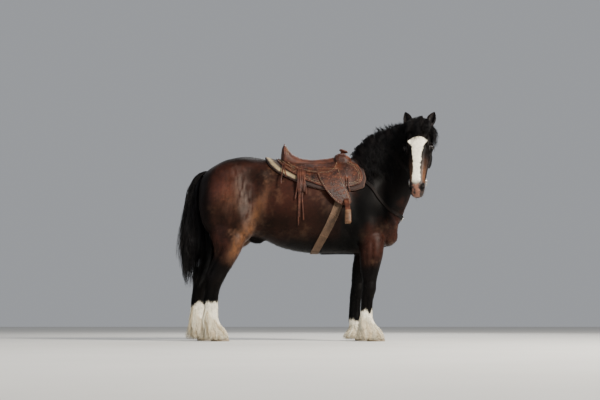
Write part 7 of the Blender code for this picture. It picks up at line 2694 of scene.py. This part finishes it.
@dataclass
class Straps:
    """Breast collar and bridle: straps laid on the skin."""

    tree: BVHTree
    bit_radius: float = 0.034

    def strap(self, points: list, width: float, thick: float, count: int, lift: float = 0.0) -> bpy.types.Mesh:
        """A flat strap with softened edges, pulled taut over the skin along points.

        The line is smoothed in rounds, and after each one what has sunk is lifted out onto the skin,
        so that it bridges hollows and never enters the flesh.

        Args:
            points: The places it passes.
            width: Its width.
            thick: Its thickness.
            count: How many points its line has.
            lift: The height over the skin.

        Returns:
            The mesh.
        """
        path = curve_through(points, count)
        path, normal, _ = nearest(self.tree, path)
        for _ in range(14):
            path[1:-1] = (path[:-2] + path[1:-1] * 2 + path[2:]) / 4
            path[1:-1] = (path[:-2] + path[1:-1] * 2 + path[2:]) / 4
            spot, normal, _ = nearest(self.tree, path)
            high = ((path - spot) * normal).sum(1)
            path = np.where((high < lift)[:, None], spot + normal * lift, path)
        for _ in range(6):
            normal[1:-1] = unit(normal[:-2] + normal[1:-1] + normal[2:])
        return carried(path, normal, FLAT_STRAP * (width / 2, thick))

    def collar(self) -> None:
        """The breast collar and the strap from it between the legs."""
        side = [(0.700, 0.260, 1.560), (0.790, 0.290, 1.470), (0.870, 0.290, 1.370), (0.935, 0.260, 1.290),
                (0.990, 0.190, 1.235), (1.040, 0.100, 1.205)]
        whole = side + [(1.060, 0, 1.200)] + [(x, -y, z) for x, y, z in reversed(side)]
        Piece.place("breast_collar_leather", self.strap(whole, 0.036, 0.008, 150, 0.002), STRAP_LEATHER.build(),
                    "dark_leather", ("breast_collar",))
        spot, normal, _, _ = self.tree.find_nearest(Vector((1.06, 0, 1.195)))
        middle, normal = np.array(spot) + np.array(normal) * 0.014, np.array(normal)
        across = np.array((0, 1.0, 0))
        loop = hoop(middle, across, np.cross(normal, across), 0.026, 48)
        ring = cord(loop, np.tile(normal, (48, 1)), 0.0036, closed=True)
        Piece.place("collar_ring", ring, STEEL.build(), "steel")
        under = [(1.050, 0, 1.165), (1.020, 0, 1.080), (0.960, 0, 1.000), (0.900, 0, 0.920), (0.800, 0, 0.850),
                 (0.650, 0, 0.830), (0.480, 0, 0.830), (0.300, 0, 0.835)]
        Piece.place("breast_strap_leather", self.strap(under, 0.026, 0.008, 110, 0.002), STRAP_LEATHER.build(),
                    "dark_leather", ("breast_strap",))

    @staticmethod
    def both_sides(points: list) -> list:
        """Head points carried on through the middle to the other side.

        Args:
            points: Head points of one side.

        Returns:
            Places of both sides in one line.
        """
        if points[0][2] == 0:
            return [on_head(*p) for p in reversed(points)] + [on_head(a, b, -c) for a, b, c in points[1:]]
        return [on_head(*p) for p in points] + [on_head(a, b, -c) for a, b, c in reversed(points[:-1])]

    def bridle(self) -> None:
        """Headstall, browband and throatlatch, and the snaffle's rings and bars."""
        stall = [(-0.050, -0.105, 0.000), (-0.035, -0.110, 0.060), (0.010, -0.110, 0.110), (0.080, -0.108, 0.150),
                 (0.170, -0.112, 0.160), (0.270, -0.118, 0.150), (0.370, -0.118, 0.130), (0.470, -0.112, 0.120),
                 (0.560, -0.106, 0.110), (0.605, -0.104, 0.110)]
        brow = [(0.048, -0.106, 0.132), (0.052, -0.085, 0.132), (0.058, -0.045, 0.120), (0.064, 0.000, 0.100),
                (0.068, 0.040, 0.060), (0.070, 0.050, 0.000)]
        throat = [(0.020, -0.112, 0.124), (0.075, -0.130, 0.130), (0.130, -0.180, 0.120), (0.180, -0.240, 0.100),
                  (0.215, -0.290, 0.050), (0.225, -0.300, 0.000)]
        for name, points, width, thick in (("headstall", stall, 0.020, 0.005), ("browband", brow[::-1], 0.020, 0.0055),
                                           ("throatlatch", throat[::-1], 0.014, 0.0045)):
            mesh = self.strap(self.both_sides(points), width, thick, 160, 0.0015)
            Piece.place(f"{name}_leather", mesh, BRIDLE_LEATHER.build(), "dark_leather", (name,))
        for name, side in SIDES.items():
            spot, _, _, _ = self.tree.find_nearest(on_head(0.616, -0.112, 0.12 * side))
            middle = np.array(spot + FACE_LEFT * (0.012 * side))
            loop = hoop(middle, DOWN, OUT, self.bit_radius, 56)
            ring = cord(loop, np.tile(LEFT, (56, 1)), 0.0042, 12, closed=True)
            start = middle - OUT * self.bit_radius
            end = np.array(spot + FACE_OUT * 0.004)
            line = start + (end - start) * np.linspace(-0.1, 1, 9)[:, None]
            bar = cord(line, np.tile(LEFT, (9, 1)), 0.0055, 12)
            Piece.place(f"bit_{name}_steel", joined("bit", [ring, bar]), STEEL.build(), "steel", (f"bit_{name}",))

    def build(self) -> None:
        """Makes all the straps."""
        self.collar()
        self.bridle()


# The studio

@dataclass
class Studio:
    """Pale floor, soft lights and the camera at the photo's angle.

    A light's row is its name, place, aim, size, watts and colour. The camera stands low, level with
    the fetlocks, and looks up a little along the maker's Y.
    """

    reach: float = 30.0
    lights: tuple = (
        ("key", (5.8, -5.2, 6.0), (0, 0, 1.2), 2.2, 1800, (1.0, 0.95, 0.86)),
        ("fill", (-5.0, -6.5, 4.5), (-0.3, 0, 1.3), 4.0, 160, (0.88, 0.93, 1.0)),
        ("back", (1.5, 6.0, 5.0), (0, 0, 1.3), 4.0, 260, (1, 1, 1)))
    sky: tuple = (0.84, 0.87, 0.92, 1)
    sky_strength: float = 0.42
    camera_at: tuple = (0.097, -10.0, 0.18)
    camera_tilt: float = 96.76
    lens: float = 61.8
    sensor: float = 36.0

    def floor(self) -> None:
        """A wide plain floor."""
        mesh = bpy.data.meshes.new("floor")
        corners = [(x * self.reach, y * self.reach, 0) for x, y in ((-1, -1), (1, -1), (1, 1), (-1, 1))]
        mesh.from_pydata(corners, [], [(0, 1, 2, 3)])
        mesh.materials.append(StudioPaint().build())
        thing = linked("floor", mesh)

    @staticmethod
    def light(name: str, place: tuple, aim: tuple, size: float, power: float, colour: tuple) -> None:
        """A soft square light that looks at a point.

        Args:
            name: The light's name.
            place: Where it hangs.
            aim: Where it looks.
            size: Its edge in metres.
            power: Its watts.
            colour: Its colour.
        """
        lamp = bpy.data.lights.new(name, "AREA")
        lamp.size, lamp.energy, lamp.color = size, power, colour
        thing = linked(name, lamp)
        thing.location = place
        thing.rotation_euler = (Vector(aim) - Vector(place)).to_track_quat("-Z", "Y").to_euler()

    def camera(self) -> None:
        """The camera, at the photo's angle and distance."""
        camera = bpy.data.cameras.new("camera")
        camera.lens, camera.sensor_width = self.lens, self.sensor
        thing = linked("camera", camera)
        thing.location = tuple(np.array(self.camera_at) - SHIFT)
        thing.rotation_euler = (math.radians(self.camera_tilt), 0, 0)
        bpy.context.scene.camera = thing

    def build(self) -> None:
        """Makes the studio."""
        self.floor()
        for row in self.lights:
            self.light(*row)
        world = bpy.data.worlds.new("studio")
        world.use_nodes = True
        plug(world.node_tree, world.node_tree.nodes["Background"], Color=self.sky, Strength=self.sky_strength)
        bpy.context.scene.world = world
        self.camera()


def main() -> None:
    """Builds the horse, its hair and its tack, and the studio."""
    logging.basicConfig(level=logging.INFO, format="%(message)s")
    skin = Skin(Anatomy(), Markings())
    skin.build()
    Eyes(skin.tree).build()
    Hooves().build()
    LongHair(skin).build()
    ShortHair(skin).build()
    Saddle(TrunkMap(skin.tree)).build()
    Straps(skin.tree).build()
    Studio().build()


if __name__ == "__main__":
    main()
